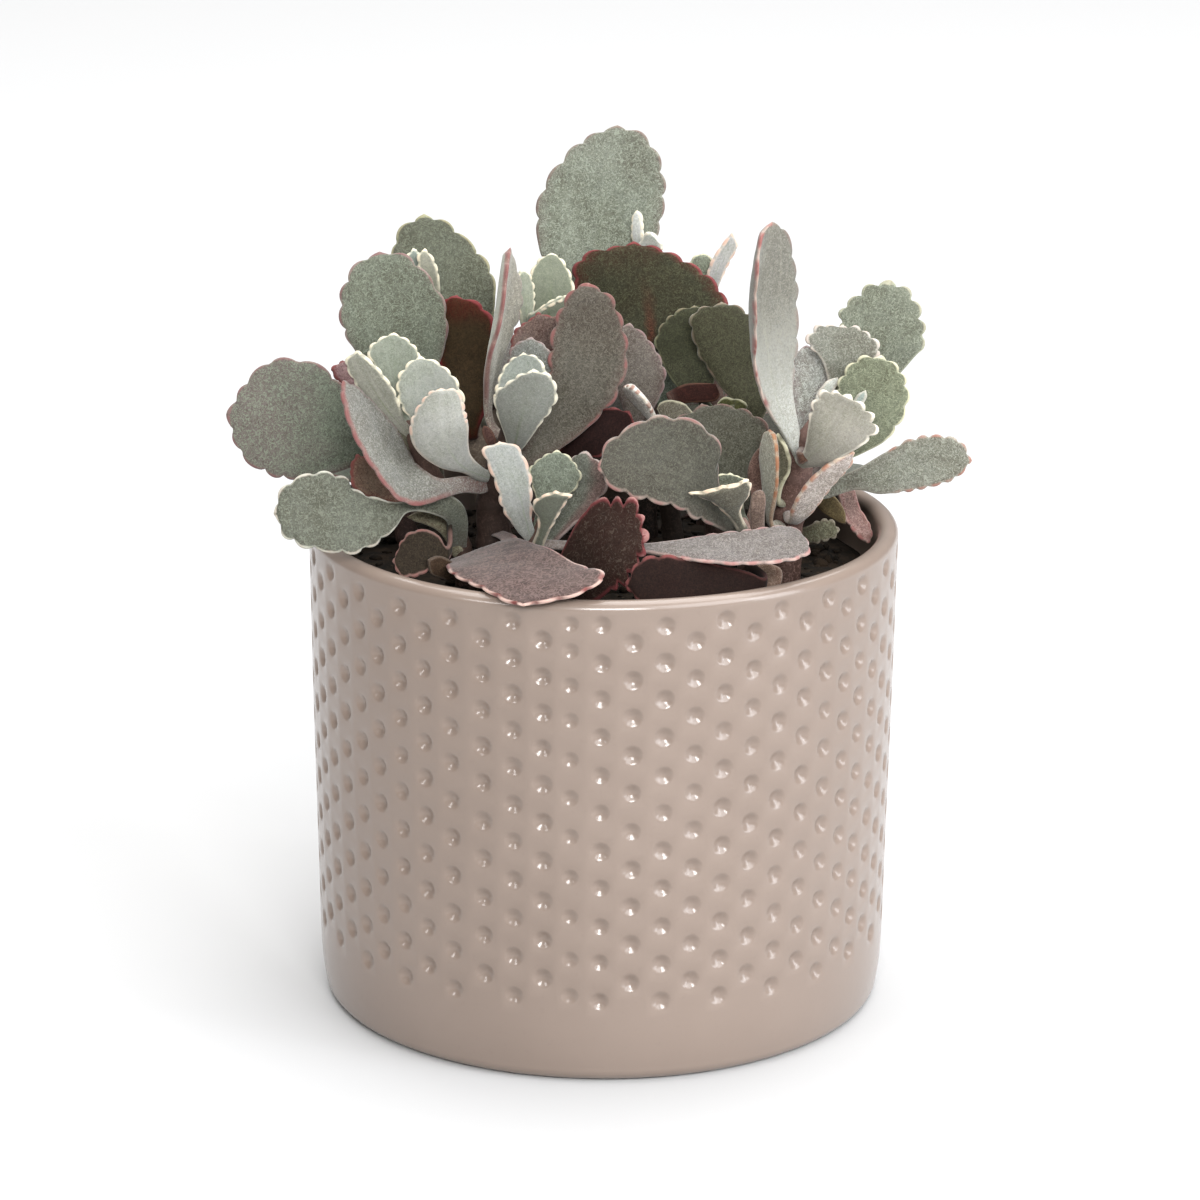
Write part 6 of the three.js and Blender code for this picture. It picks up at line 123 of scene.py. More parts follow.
  {"n":"leaf_tip_right_back_a","k":"green","s":[[20.54,26.94,137.92],[20.06,27.21,141.1],[19.81,27.2,145.33],[20.17,27.18,149.13]],"v":[[0.998,0.016,0.062],[0.998,0.016,0.062],[1.0,-0.006,-0.014],[0.995,-0.03,-0.097]],"f":-1,"R":[[0.0,1.3],[0.286,1.3],[0.581,2.27],[0.843,2.53],[0.976,1.28],[1.0,0.0]],"L":[[0.0,1.3],[0.286,1.3],[0.522,1.9],[0.752,2.55],[0.923,1.77],[1.0,0.0]],"c":[0.08,0.08],"h":1.7,"t":3,"a":0.3,"z":0.5,"g":"shoot_back_right","col":[0.184,0.203,0.1557],"slot":"sage_leaf"},
  {"n":"leaf_tip_right_back_b","k":"white","s":[[20.56,26.89,137.66],[21.09,25.79,139.73],[23.24,24.81,147.36],[26.03,24.86,154.09]],"v":[[0.943,0.233,-0.236],[0.943,0.233,-0.236],[0.925,0.229,-0.304],[0.9,0.222,-0.376]],"f":-1,"R":[[0.0,1.3],[0.138,1.3],[0.425,1.66],[0.715,2.14],[0.886,2.16],[1.0,0.0]],"L":[[0.0,1.3],[0.138,1.3],[0.394,1.59],[0.619,1.61],[0.837,0.8],[1.0,0.0]],"c":[0.08,0.08],"h":1.7,"t":4,"a":0.3,"z":0.397,"g":"shoot_back_right","col":[0.3113,0.3066,0.2959],"slot":"young_leaf"},
  {"n":"leaf_dry_mid_a","k":"dry","s":[[12.89,3.0,124.16],[17.35,4.0,125.61],[22.64,5.0,127.07]],"v":[[0.351,-0.27,-0.897],[0.325,-0.272,-0.905],[0.303,-0.275,-0.913]],"f":-1,"R":[[0.0,1.3],[0.389,2.11],[0.82,3.26],[1.0,2.49],[1.0,0.0]],"L":[[0.0,1.3],[0.055,1.52],[0.418,1.86],[0.798,0.84],[1.0,0.0]],"c":[0.08,0.08],"h":1.7,"t":0,"a":0.6,"z":0.3,"g":"litter","col":[0.0223,0.0061,0.004],"slot":"sage_leaf"},
  {"n":"leaf_green_low_mid","k":"green","s":[[10.41,-5.99,117.41],[17.3,-2.0,120.88],[13.65,-2.0,122.94],[10.61,-2.0,123.55]],"v":[[0.476,0.253,0.842],[0.476,0.253,0.842],[0.357,0.269,0.895],[0.186,0.283,0.941]],"f":-1,"R":[[0.0,1.3],[0.333,1.35],[0.555,1.3],[0.698,2.37],[0.85,2.3],[0.974,1.3],[1.0,0.0]],"L":[[0.0,1.3],[0.333,1.35],[0.555,1.3],[0.647,1.37],[0.892,1.99],[1.0,0.0]],"c":[0.08,0.08],"h":1.7,"t":0,"a":0.6,"z":0.688,"g":"shoot_mid","col":[0.1076,0.0979,0.0753],"slot":"sage_leaf"},
  {"n":"leaf_green_low_mid_b","k":"green","s":[[23.32,18.24,109.88],[27.81,-1.0,122.77],[25.39,0.0,124.17],[22.56,0.0,124.15]],"v":[[0.56,0.237,0.794],[0.56,0.237,0.794],[0.293,0.275,0.916],[-0.009,0.289,0.957]],"f":-1,"R":[[0.0,1.3],[0.489,1.35],[0.815,1.3],[0.893,1.14],[0.947,1.3],[1.0,0.0]],"L":[[0.0,1.3],[0.489,1.35],[0.815,1.3],[0.853,0.5],[0.95,1.12],[1.0,0.0]],"c":[0.08,0.08],"h":1.7,"t":0,"a":0.6,"z":0.87,"g":"shoot_back_right","col":[0.0354,0.0364,0.0091],"slot":"sage_leaf"},
  {"n":"leaf_tip_top_a","k":"mint","s":[[8.24,27.97,145.95],[8.41,27.64,149.38],[6.71,26.6,153.81],[6.47,26.54,158.22]],"v":[[0.9,-0.346,0.265],[0.9,-0.346,0.265],[0.901,-0.408,0.147],[0.882,-0.469,0.041]],"f":-1,"R":[[0.0,1.3],[0.272,1.3],[0.474,0.92],[0.765,1.37],[0.952,0.92],[1.0,0.0]],"L":[[0.0,1.3],[0.272,1.3],[0.474,1.87],[0.699,1.3],[0.917,0.96],[1.0,0.0]],"c":[0.08,0.08],"h":1.7,"t":3,"a":0.3,"z":0.491,"g":"shoot_top","col":[0.4993,0.5083,0.4957],"slot":"young_leaf"},
  {"n":"leaf_tip_top_b","k":"mintgrey","s":[[8.25,27.94,145.56],[7.15,25.18,149.07],[9.19,24.2,151.4],[10.6,23.23,153.3]],"v":[[0.697,-0.196,-0.69],[0.697,-0.196,-0.69],[0.717,-0.189,-0.671],[0.743,-0.179,-0.645]],"f":-1,"R":[[0.0,1.3],[0.269,1.35],[0.448,1.3],[0.632,1.74],[0.866,2.38],[0.971,1.58],[1.0,0.0]],"L":[[0.0,1.3],[0.269,1.35],[0.448,1.3],[0.663,2.05],[0.892,2.41],[0.998,1.89],[1.0,0.0]],"c":[0.08,0.08],"h":1.7,"t":3,"a":0.3,"z":0.614,"g":"shoot_top","col":[0.3449,0.3545,0.3333],"slot":"young_leaf"},
  # leaf_pot_left_a: col darker than the leaf's own pigment, painted shade
  {"n":"leaf_pot_left_a","k":"dullgrey","s":[[-30.62,-15.96,104.03],[-30.66,-32.08,101.96],[-35.09,-34.26,103.38],[-41.31,-36.13,101.23]],"v":[[0.014,0.531,0.847],[0.014,0.531,0.847],[-0.266,0.558,0.786],[-0.418,0.562,0.714]],"f":-1,"R":[[0.0,1.3],[0.35,1.35],[0.584,1.3],[0.7,2.95],[0.771,3.87],[0.873,3.03],[1.0,0.0]],"L":[[0.0,1.3],[0.35,1.35],[0.584,1.3],[0.635,2.51],[0.837,5.14],[0.988,3.99],[1.0,0.0]],"c":[0.08,0.08],"h":1.7,"t":4,"a":0.6,"z":0.708,"col":[0.0177,0.0129,0.0078],"slot":"dark_leaf"},
  {"n":"leaf_pot_left_b","k":"dullpurple","s":[[-28.81,-13.82,96.65],[-29.21,-16.13,97.34],[-31.52,-18.1,103.31],[-35.65,-19.57,106.18],[-39.37,-21.03,105.95]],"v":[[0.912,0.125,0.392],[0.912,0.125,0.392],[0.753,0.193,0.628],[0.213,0.28,0.936],[-0.175,0.281,0.943]],"f":-1,"R":[[0.0,1.3],[0.14,1.3],[0.359,0.5],[0.583,1.06],[0.793,0.78],[1.0,0.0]],"L":[[0.0,1.3],[0.14,1.3],[0.223,1.18],[0.56,1.97],[0.855,1.84],[1.0,0.0]],"c":[0.08,0.08],"h":1.7,"t":0,"a":0.6,"z":0.398,"col":[0.1496,0.1411,0.0947],"slot":"dark_leaf"},
  {"n":"leaf_pot_left_c","k":"dull","s":[[-28.68,-32.88,97.48],[-31.71,-36.03,100.44],[-34.37,-38.0,102.02]],"v":[[0.531,0.251,0.81],[0.446,0.262,0.856],[0.332,0.274,0.903]],"f":-1,"R":[[0.0,1.3],[0.461,1.62],[0.778,1.34],[1.0,0.0]],"L":[[0.0,1.3],[0.226,2.11],[0.77,2.56],[1.0,0.0]],"c":[0.08,0.08],"h":1.7,"t":0,"a":0.6,"z":0.3,"g":"litter","col":[0.0339,0.0209,0.0121],"slot":"dark_leaf"},
  {"n":"leaf_front_bend","k":"maroonlilac","s":[[-22.11,-14.2,101.07],[-18.75,-27.0,103.23],[-17.52,-39.0,103.43],[-16.1,-52.5,101.95],[-15.36,-61.5,100.25]],"v":[[-0.951,-0.102,-0.292],[-0.951,-0.102,-0.292],[-0.966,-0.088,-0.244],[-0.981,-0.069,-0.182],[-0.989,-0.055,-0.137]],"f":-1,"R":[[0.0,1.3],[0.167,1.35],[0.278,1.6],[0.278,2.01],[0.278,5.32],[0.285,8.95],[0.337,13.16],[0.549,13.16],[0.677,10.98],[0.794,7.79],[0.92,4.21],[1.0,0.0]],"L":[[0.0,1.3],[0.167,1.35],[0.278,1.6],[0.322,1.69],[0.448,4.23],[0.583,7.37],[0.771,11.96],[0.89,15.99],[0.948,14.6],[1.0,10.2],[1.0,5.13],[1.0,0.0]],"c":[0.03,0.03],"h":1.7,"t":8,"a":0.55,"z":0.567,"col":[0.0717,0.0483,0.0422],"slot":"dark_leaf"},
  {"n":"leaf_dark_teeth","k":"darkhairy","s":[[-14.95,-28.62,99.43],[-9.35,-34.0,96.9],[-0.72,-41.0,104.52],[7.6,-44.0,108.88]],"v":[[0.358,-0.449,-0.818],[0.358,-0.449,-0.818],[0.334,-0.435,-0.836],[0.303,-0.408,-0.861]],"f":-1,"R":[[0.0,1.3],[0.159,1.35],[0.265,1.3],[0.3,6.01],[0.428,7.3],[0.55,7.82],[0.774,6.89],[0.889,4.65],[0.969,2.39],[1.0,0.0]],"L":[[0.0,1.3],[0.159,1.35],[0.265,1.3],[0.419,4.89],[0.689,8.75],[0.774,9.72],[0.913,7.91],[1.0,6.61],[1.0,4.2],[1.0,0.0]],"c":[0.08,0.08],"h":1.7,"t":4,"a":1.7,"z":0.633,"col":[0.0226,0.0125,0.0091],"slot":"dark_leaf"},
  {"n":"leaf_low_behind","k":"olivegrey","s":[[-31.08,-16.65,105.84],[-31.41,-15.02,107.84],[-34.22,-19.37,113.57],[-37.28,-21.61,118.88],[-40.58,-22.21,124.34]],"v":[[0.773,0.262,0.578],[0.773,0.262,0.578],[0.768,0.281,0.576],[0.78,0.311,0.543],[0.795,0.319,0.516]],"f":-1,"R":[[0.0,1.3],[0.124,1.5],[0.229,1.2],[0.387,2.37],[0.562,3.65],[0.72,4.3],[0.86,3.78],[0.956,2.24],[1.0,0.0]],"L":[[0.0,1.3],[0.124,1.5],[0.229,1.2],[0.387,2.37],[0.562,3.65],[0.72,4.3],[0.86,3.78],[0.956,2.24],[1.0,0.0]],"c":[0.08,0.08],"h":1.7,"t":4,"a":0.35,"z":0.387,"g":"shoot_left","col":[0.0728,0.0676,0.0468],"slot":"dark_leaf"},
  {"n":"leaf_tip_brown","k":"dry","s":[[-21.05,-17.52,116.05],[-21.94,-17.0,117.74],[-22.46,-20.0,121.41],[-23.82,-21.0,124.73]],"v":[[0.978,0.07,0.195],[0.978,0.07,0.195],[0.945,0.099,0.31],[0.905,0.125,0.408]],"f":-1,"R":[[0.0,1.3],[0.198,0.7],[0.294,0.31],[0.439,0.61],[0.599,0.94],[0.743,1.1],[0.872,0.97],[0.96,0.57],[1.0,0.0]],"L":[[0.0,1.3],[0.198,0.7],[0.294,0.31],[0.439,0.61],[0.599,0.94],[0.743,1.1],[0.872,0.97],[0.96,0.57],[1.0,0.0]],"c":[0.08,0.08],"h":0.9,"t":0,"a":0.6,"z":0.439,"g":"shoot_center","col":[0.0624,0.0312,0.026],"slot":"sage_leaf"},
  {"n":"leaf_rear_a","k":"sage2","s":[[-22.25,35.68,110.49],[-27.0,38.0,112.0],[-36.0,50.0,128.0],[-38.0,58.0,143.0]],"v":[[0.797,-0.174,0.578],[0.797,-0.174,0.578],[0.909,-0.12,0.4],[0.987,-0.047,0.157]],"f":1,"R":[[0.0,1.3],[0.079,1.35],[0.132,1.4],[0.236,2.75],[0.392,6.25],[0.566,10.5],[0.722,12.5],[0.861,11.0],[0.957,6.25],[1.0,0.0]],"L":[[0.0,1.3],[0.079,1.35],[0.132,1.4],[0.236,2.75],[0.392,6.25],[0.566,10.5],[0.722,12.5],[0.861,11.0],[0.957,6.25],[1.0,0.0]],"c":[0.1,0.1],"h":1.7,"t":7,"a":0.6,"z":0.392,"g":"shoot_rear_left","col":[0.11,0.1197,0.0906],"slot":"sage_leaf"},
  {"n":"leaf_rear_b","k":"sagelilac","s":[[-22.71,35.1,108.1],[-20.0,40.0,108.0],[-12.0,48.0,118.0],[-10.0,53.0,129.0]],"v":[[0.824,-0.137,-0.549],[0.824,-0.137,-0.549],[0.927,-0.217,-0.307],[0.959,-0.278,-0.048]],"f":1,"R":[[0.0,1.3],[0.106,1.35],[0.177,1.4],[0.276,2.31],[0.424,5.25],[0.589,8.82],[0.737,10.5],[0.868,9.24],[0.959,5.25],[1.0,0.0]],"L":[[0.0,1.3],[0.106,1.35],[0.177,1.4],[0.276,2.31],[0.424,5.25],[0.589,8.82],[0.737,10.5],[0.868,9.24],[0.959,5.25],[1.0,0.0]],"c":[0.1,0.1],"h":1.7,"t":7,"a":0.6,"z":0.424,"g":"shoot_rear_left","col":[0.0996,0.1133,0.0849],"slot":"sage_leaf"},
  {"n":"leaf_rear_c","k":"purplegrey","s":[[-23.98,33.06,100.26],[-27.0,33.0,102.0],[-42.0,40.26,107.92],[-54.0,47.37,111.89]],"v":[[-0.255,-0.871,0.42],[-0.255,-0.871,0.42],[-0.316,-0.864,0.392],[-0.386,-0.851,0.356]],"f":1,"R":[[0.0,1.3],[0.104,1.4],[0.212,2.53],[0.373,5.75],[0.552,9.66],[0.713,11.5],[0.857,10.12],[0.955,5.75],[1.0,0.0]],"L":[[0.0,1.3],[0.104,1.4],[0.212,2.53],[0.373,5.75],[0.552,9.66],[0.713,11.5],[0.857,10.12],[0.955,5.75],[1.0,0.0]],"c":[0.1,0.1],"h":1.7,"t":7,"a":0.6,"z":0.373,"g":"shoot_rear_left","col":[0.0687,0.0624,0.0502],"slot":"lilac_leaf"},
  {"n":"leaf_rear_d","k":"sagegrey","s":[[-24.12,32.43,97.46],[-22.0,36.0,98.0],[-22.0,50.0,102.0],[-21.0,64.0,104.0]],"v":[[-1.0,0.0,0.0],[-1.0,0.0,0.0],[-0.999,0.038,-0.011],[-0.997,0.074,-0.022]],"f":1,"R":[[0.0,1.3],[0.079,1.35],[0.132,1.4],[0.236,2.64],[0.392,6.0],[0.566,10.08],[0.722,12.0],[0.861,10.56],[0.957,6.0],[1.0,0.0]],"L":[[0.0,1.3],[0.079,1.35],[0.132,1.4],[0.236,2.64],[0.392,6.0],[0.566,10.08],[0.722,12.0],[0.861,10.56],[0.957,6.0],[1.0,0.0]],"c":[0.1,0.1],"h":1.7,"t":7,"a":0.6,"z":0.392,"g":"shoot_rear_left","col":[0.0499,0.0479,0.0373],"slot":"sage_leaf"},
  {"n":"leaf_rear_e","k":"sage","s":[[25.96,36.74,106.13],[29.0,40.0,106.0],[32.0,50.0,114.0],[32.0,56.0,123.0]],"v":[[0.847,0.153,-0.508],[0.847,0.153,-0.508],[0.969,0.071,-0.238],[1.0,0.0,0.0]],"f":1,"R":[[0.0,1.3],[0.099,1.35],[0.165,1.4],[0.265,2.31],[0.416,5.25],[0.583,8.82],[0.733,10.5],[0.866,9.24],[0.958,5.25],[1.0,0.0]],"L":[[0.0,1.3],[0.099,1.35],[0.165,1.4],[0.265,2.31],[0.416,5.25],[0.583,8.82],[0.733,10.5],[0.866,9.24],[0.958,5.25],[1.0,0.0]],"c":[0.1,0.1],"h":1.7,"t":7,"a":0.6,"z":0.416,"g":"shoot_rear_right","col":[0.1556,0.1688,0.1352],"slot":"sage_leaf"},
  {"n":"leaf_rear_f","k":"purplegrey","s":[[27.39,37.07,112.21],[22.0,40.0,114.0],[14.0,52.0,126.0],[9.0,60.0,139.0]],"v":[[0.879,0.126,0.46],[0.879,0.126,0.46],[0.924,0.175,0.34],[0.949,0.215,0.233]],"f":1,"R":[[0.0,1.3],[0.096,1.35],[0.16,1.4],[0.261,2.53],[0.412,5.75],[0.58,9.66],[0.731,11.5],[0.866,10.12],[0.958,5.75],[1.0,0.0]],"L":[[0.0,1.3],[0.096,1.35],[0.16,1.4],[0.261,2.53],[0.412,5.75],[0.58,9.66],[0.731,11.5],[0.866,10.12],[0.958,5.75],[1.0,0.0]],"c":[0.1,0.1],"h":1.7,"t":7,"a":0.6,"z":0.412,"g":"shoot_rear_right","col":[0.0749,0.0681,0.0547],"slot":"lilac_leaf"},
  {"n":"leaf_rear_g","k":"sage2","s":[[24.39,36.2,100.67],[28.0,38.0,101.0],[43.0,46.88,105.74],[56.0,54.25,106.62]],"v":[[-0.447,0.869,-0.213],[-0.447,0.869,-0.213],[-0.46,0.864,-0.208],[-0.473,0.858,-0.201]],"f":1,"R":[[0.0,1.3],[0.066,1.35],[0.11,1.4],[0.217,2.53],[0.377,5.75],[0.555,9.66],[0.715,11.5],[0.858,10.12],[0.956,5.75],[1.0,0.0]],"L":[[0.0,1.3],[0.066,1.35],[0.11,1.4],[0.217,2.53],[0.377,5.75],[0.555,9.66],[0.715,11.5],[0.858,10.12],[0.956,5.75],[1.0,0.0]],"c":[0.1,0.1],"h":1.7,"t":7,"a":0.6,"z":0.377,"g":"shoot_rear_right","col":[0.1108,0.1206,0.0913],"slot":"sage_leaf"},
  {"n":"leaf_rear_h","k":"maroonlilac","s":[[23.56,35.68,96.65],[23.0,39.0,98.0],[20.0,53.0,102.0],[16.0,66.0,101.0]],"v":[[-0.974,-0.221,0.044],[-0.974,-0.221,0.044],[-0.965,-0.256,0.051],[-0.955,-0.29,0.058]],"f":1,"R":[[0.0,1.3],[0.113,1.4],[0.219,2.42],[0.379,5.5],[0.556,9.24],[0.716,11.0],[0.858,9.68],[0.956,5.5],[1.0,0.0]],"L":[[0.0,1.3],[0.113,1.4],[0.219,2.42],[0.379,5.5],[0.556,9.24],[0.716,11.0],[0.858,9.68],[0.956,5.5],[1.0,0.0]],"c":[0.1,0.1],"h":1.7,"t":7,"a":0.6,"z":0.379,"g":"shoot_rear_right","col":[0.0798,0.0547,0.0481],"slot":"dark_leaf"},
  {"n":"leaf_rear_i","k":"lilac","s":[[8.28,24.21,116.22],[0.0,34.0,118.0],[1.0,44.0,130.0],[2.0,49.0,147.0]],"v":[[0.995,0.02,-0.099],[0.995,0.02,-0.099],[0.997,0.015,-0.077],[0.998,0.012,-0.062]],"f":1,"R":[[0.0,1.3],[0.171,1.35],[0.285,1.4],[0.371,2.42],[0.499,5.5],[0.642,9.24],[0.771,11.0],[0.886,9.68],[0.964,5.5],[1.0,0.0]],"L":[[0.0,1.3],[0.171,1.35],[0.285,1.4],[0.371,2.42],[0.499,5.5],[0.642,9.24],[0.771,11.0],[0.886,9.68],[0.964,5.5],[1.0,0.0]],"c":[0.1,0.1],"h":1.7,"t":7,"a":0.6,"z":0.499,"g":"shoot_top","col":[0.1192,0.1248,0.112],"slot":"lilac_leaf"},
  {"n":"leaf_rear_j","k":"green","s":[[-44.59,12.53,105.89],[-46.0,16.0,106.0],[-50.0,23.74,110.08],[-50.0,31.63,117.11]],"v":[[0.616,0.592,-0.52],[0.616,0.592,-0.52],[0.56,0.57,-0.601],[0.538,0.561,-0.629]],"f":1,"R":[[0.0,1.3],[0.158,1.4],[0.259,1.98],[0.411,4.5],[0.579,7.56],[0.731,9.0],[0.865,7.92],[0.958,4.5],[1.0,0.0]],"L":[[0.0,1.3],[0.158,1.4],[0.259,1.98],[0.411,4.5],[0.579,7.56],[0.731,9.0],[0.865,7.92],[0.958,4.5],[1.0,0.0]],"c":[0.1,0.1],"h":1.7,"t":7,"a":0.6,"z":0.411,"g":"shoot_side_left","col":[0.1262,0.1297,0.0959],"slot":"sage_leaf"},
  {"n":"leaf_rear_k","k":"sagelilac","s":[[-42.72,11.13,99.43],[-43.0,14.0,100.0],[-50.0,22.0,103.0],[-59.0,31.0,103.0]],"v":[[-0.756,-0.654,-0.02],[-0.756,-0.654,-0.02],[-0.729,-0.685,-0.009],[-0.707,-0.707,0.0]],"f":1,"R":[[0.0,1.3],[0.116,1.4],[0.222,1.98],[0.381,4.5],[0.558,7.56],[0.717,9.0],[0.859,7.92],[0.956,4.5],[1.0,0.0]],"L":[[0.0,1.3],[0.116,1.4],[0.222,1.98],[0.381,4.5],[0.558,7.56],[0.717,9.0],[0.859,7.92],[0.956,4.5],[1.0,0.0]],"c":[0.1,0.1],"h":1.7,"t":7,"a":0.6,"z":0.381,"g":"shoot_side_left","col":[0.0976,0.111,0.0832],"slot":"sage_leaf"},
  {"n":"leaf_rear_l","k":"lilac2","s":[[40.38,16.38,104.01],[43.0,19.0,104.0],[48.0,30.85,106.84],[50.0,39.5,111.34]],"v":[[-0.123,0.28,-0.952],[-0.123,0.28,-0.952],[-0.016,0.342,-0.94],[0.151,0.429,-0.891]],"f":1,"R":[[0.0,1.3],[0.142,1.4],[0.245,1.87],[0.399,4.25],[0.571,7.14],[0.725,8.5],[0.863,7.48],[0.957,4.25],[1.0,0.0]],"L":[[0.0,1.3],[0.142,1.4],[0.245,1.87],[0.399,4.25],[0.571,7.14],[0.725,8.5],[0.863,7.48],[0.957,4.25],[1.0,0.0]],"c":[0.1,0.1],"h":1.7,"t":7,"a":0.6,"z":0.399,"g":"shoot_side_right","col":[0.085,0.07,0.06],"slot":"lilac_leaf"},
  {"n":"leaf_rear_m","k":"sagepale","s":[[39.0,15.0,97.88],[41.0,15.0,99.0],[47.0,16.27,103.92],[51.0,21.25,106.04]],"v":[[-0.056,0.981,-0.185],[-0.056,0.981,-0.185],[-0.489,0.869,-0.076],[-0.786,0.618,0.034]],"f":1,"R":[[0.0,1.3],[0.136,1.4],[0.24,1.76],[0.395,4.0],[0.568,6.72],[0.724,8.0],[0.862,7.04],[0.957,4.0],[1.0,0.0]],"L":[[0.0,1.3],[0.136,1.4],[0.24,1.76],[0.395,4.0],[0.568,6.72],[0.724,8.0],[0.862,7.04],[0.957,4.0],[1.0,0.0]],"c":[0.1,0.1],"h":1.7,"t":7,"a":0.6,"z":0.395,"g":"shoot_side_right","col":[0.0871,0.0912,0.072],"slot":"sage_leaf"},
  {"n":"leaf_rear_tip_a","k":"mint","s":[[-21.29,36.74,118.14],[-22.0,37.0,119.0],[-25.0,38.0,126.0],[-26.0,38.0,135.0]],"v":[[0.877,0.354,0.325],[0.877,0.354,0.325],[0.903,0.379,0.202],[0.913,0.395,0.101]],"f":1,"R":[[0.0,1.3],[0.069,1.4],[0.181,1.2],[0.348,2.5],[0.534,4.2],[0.702,5.0],[0.851,4.4],[0.953,2.5],[1.0,0.0]],"L":[[0.0,1.3],[0.069,1.4],[0.181,1.2],[0.348,2.5],[0.534,4.2],[0.702,5.0],[0.851,4.4],[0.953,2.5],[1.0,0.0]],"c":[0.1,0.1],"h":1.7,"t":4,"a":0.45,"z":0.348,"g":"shoot_rear_left","col":[0.2087,0.216,0.1868],"slot":"young_leaf"},
  {"n":"leaf_rear_tip_b","k":"mint","s":[[-21.37,36.68,117.37],[-20.0,37.0,118.0],[-17.0,36.0,124.0],[-17.0,37.0,130.0]],"v":[[0.238,-0.932,-0.274],[0.238,-0.932,-0.274],[0.222,-0.973,-0.056],[0.197,-0.967,0.161]],"f":1,"R":[[0.0,1.3],[0.118,1.4],[0.224,1.2],[0.382,2.3],[0.559,3.86],[0.718,4.6],[0.859,4.05],[0.956,2.3],[1.0,0.0]],"L":[[0.0,1.3],[0.118,1.4],[0.224,1.2],[0.382,2.3],[0.559,3.86],[0.718,4.6],[0.859,4.05],[0.956,2.3],[1.0,0.0]],"c":[0.1,0.1],"h":1.7,"t":4,"a":0.45,"z":0.382,"g":"shoot_rear_left","col":[0.1959,0.2027,0.1753],"slot":"young_leaf"},
  {"n":"leaf_rear_tip_c","k":"mint","s":[[27.7,37.05,115.02],[27.0,38.0,116.0],[24.0,43.9,122.82],[23.0,46.57,130.32]],"v":[[0.718,0.651,-0.247],[0.718,0.651,-0.247],[0.732,0.655,-0.187],[0.743,0.656,-0.135]],"f":1,"R":[[0.0,1.3],[0.082,1.4],[0.192,1.2],[0.358,2.4],[0.541,4.03],[0.706,4.8],[0.853,4.22],[0.954,2.4],[1.0,0.0]],"L":[[0.0,1.3],[0.082,1.4],[0.192,1.2],[0.358,2.4],[0.541,4.03],[0.706,4.8],[0.853,4.22],[0.954,2.4],[1.0,0.0]],"c":[0.1,0.1],"h":1.7,"t":4,"a":0.45,"z":0.358,"g":"shoot_rear_right","col":[0.2242,0.232,0.2007],"slot":"young_leaf"},
  {"n":"leaf_rear_tip_d","k":"mint","s":[[27.72,37.04,115.24],[29.0,37.0,116.0],[33.0,36.0,123.0],[33.0,37.0,131.0]],"v":[[0.237,-0.933,-0.269],[0.237,-0.933,-0.269],[0.223,-0.973,-0.059],[0.202,-0.972,0.121]],"f":1,"R":[[0.0,1.3],[0.092,1.4],[0.201,1.2],[0.364,2.4],[0.546,4.03],[0.709,4.8],[0.855,4.22],[0.955,2.4],[1.0,0.0]],"L":[[0.0,1.3],[0.092,1.4],[0.201,1.2],[0.364,2.4],[0.546,4.03],[0.709,4.8],[0.855,4.22],[0.955,2.4],[1.0,0.0]],"c":[0.1,0.1],"h":1.7,"t":4,"a":0.45,"z":0.364,"g":"shoot_rear_right","col":[0.2219,0.2296,0.1986],"slot":"young_leaf"},
  {"n":"leaf_fill_a","k":"sage2","s":[[-24.4,6.87,107.13],[-27.0,7.0,108.0],[-33.0,18.0,112.0],[-38.0,28.0,117.0]],"v":[[-0.802,-0.535,0.267],[-0.802,-0.535,0.267],[-0.802,-0.535,0.267],[-0.802,-0.535,0.267]],"f":1,"R":[[0.0,1.3],[0.114,1.4],[0.22,2.09],[0.38,4.75],[0.557,7.98],[0.716,9.5],[0.858,8.36],[0.956,4.75],[1.0,0.0]],"L":[[0.0,1.3],[0.114,1.4],[0.22,2.09],[0.38,4.75],[0.557,7.98],[0.716,9.5],[0.858,8.36],[0.956,4.75],[1.0,0.0]],"c":[0.1,0.1],"h":1.7,"t":7,"a":0.6,"z":0.38,"g":"shoot_back_left","col":[0.1004,0.1093,0.0828],"slot":"sage_leaf"},
  {"n":"leaf_fill_b","k":"sagelilac","s":[[-28.65,4.9,120.93],[-31.0,6.0,122.0],[-38.0,14.0,127.0],[-43.0,21.0,133.0]],"v":[[0.798,0.44,0.413],[0.798,0.44,0.413],[0.834,0.507,0.217],[0.837,0.544,0.063]],"f":1,"R":[[0.0,1.3],[0.116,1.4],[0.222,1.87],[0.381,4.25],[0.558,7.14],[0.717,8.5],[0.859,7.48],[0.956,4.25],[1.0,0.0]],"L":[[0.0,1.3],[0.116,1.4],[0.222,1.87],[0.381,4.25],[0.558,7.14],[0.717,8.5],[0.859,7.48],[0.956,4.25],[1.0,0.0]],"c":[0.1,0.1],"h":1.7,"t":7,"a":0.6,"z":0.381,"g":"shoot_back_left","col":[0.089,0.1012,0.0758],"slot":"sage_leaf"},
  {"n":"leaf_fill_c","k":"dark","s":[[-23.5,7.47,100.23],[-24.0,8.0,102.0],[-18.0,17.79,105.06],[-10.0,25.7,108.09]],"v":[[-0.86,0.505,0.071],[-0.86,0.505,0.071],[-0.79,0.612,0.035],[-0.703,0.711,-0.002]],"f":1,"R":[[0.0,1.3],[0.101,1.4],[0.209,1.76],[0.371,4.0],[0.55,6.72],[0.712,8.0],[0.856,7.04],[0.955,4.0],[1.0,0.0]],"L":[[0.0,1.3],[0.101,1.4],[0.209,1.76],[0.371,4.0],[0.55,6.72],[0.712,8.0],[0.856,7.04],[0.955,4.0],[1.0,0.0]],"c":[0.1,0.1],"h":1.7,"t":7,"a":0.6,"z":0.371,"g":"shoot_back_left","col":[0.0393,0.0256,0.0197],"slot":"dark_leaf"},
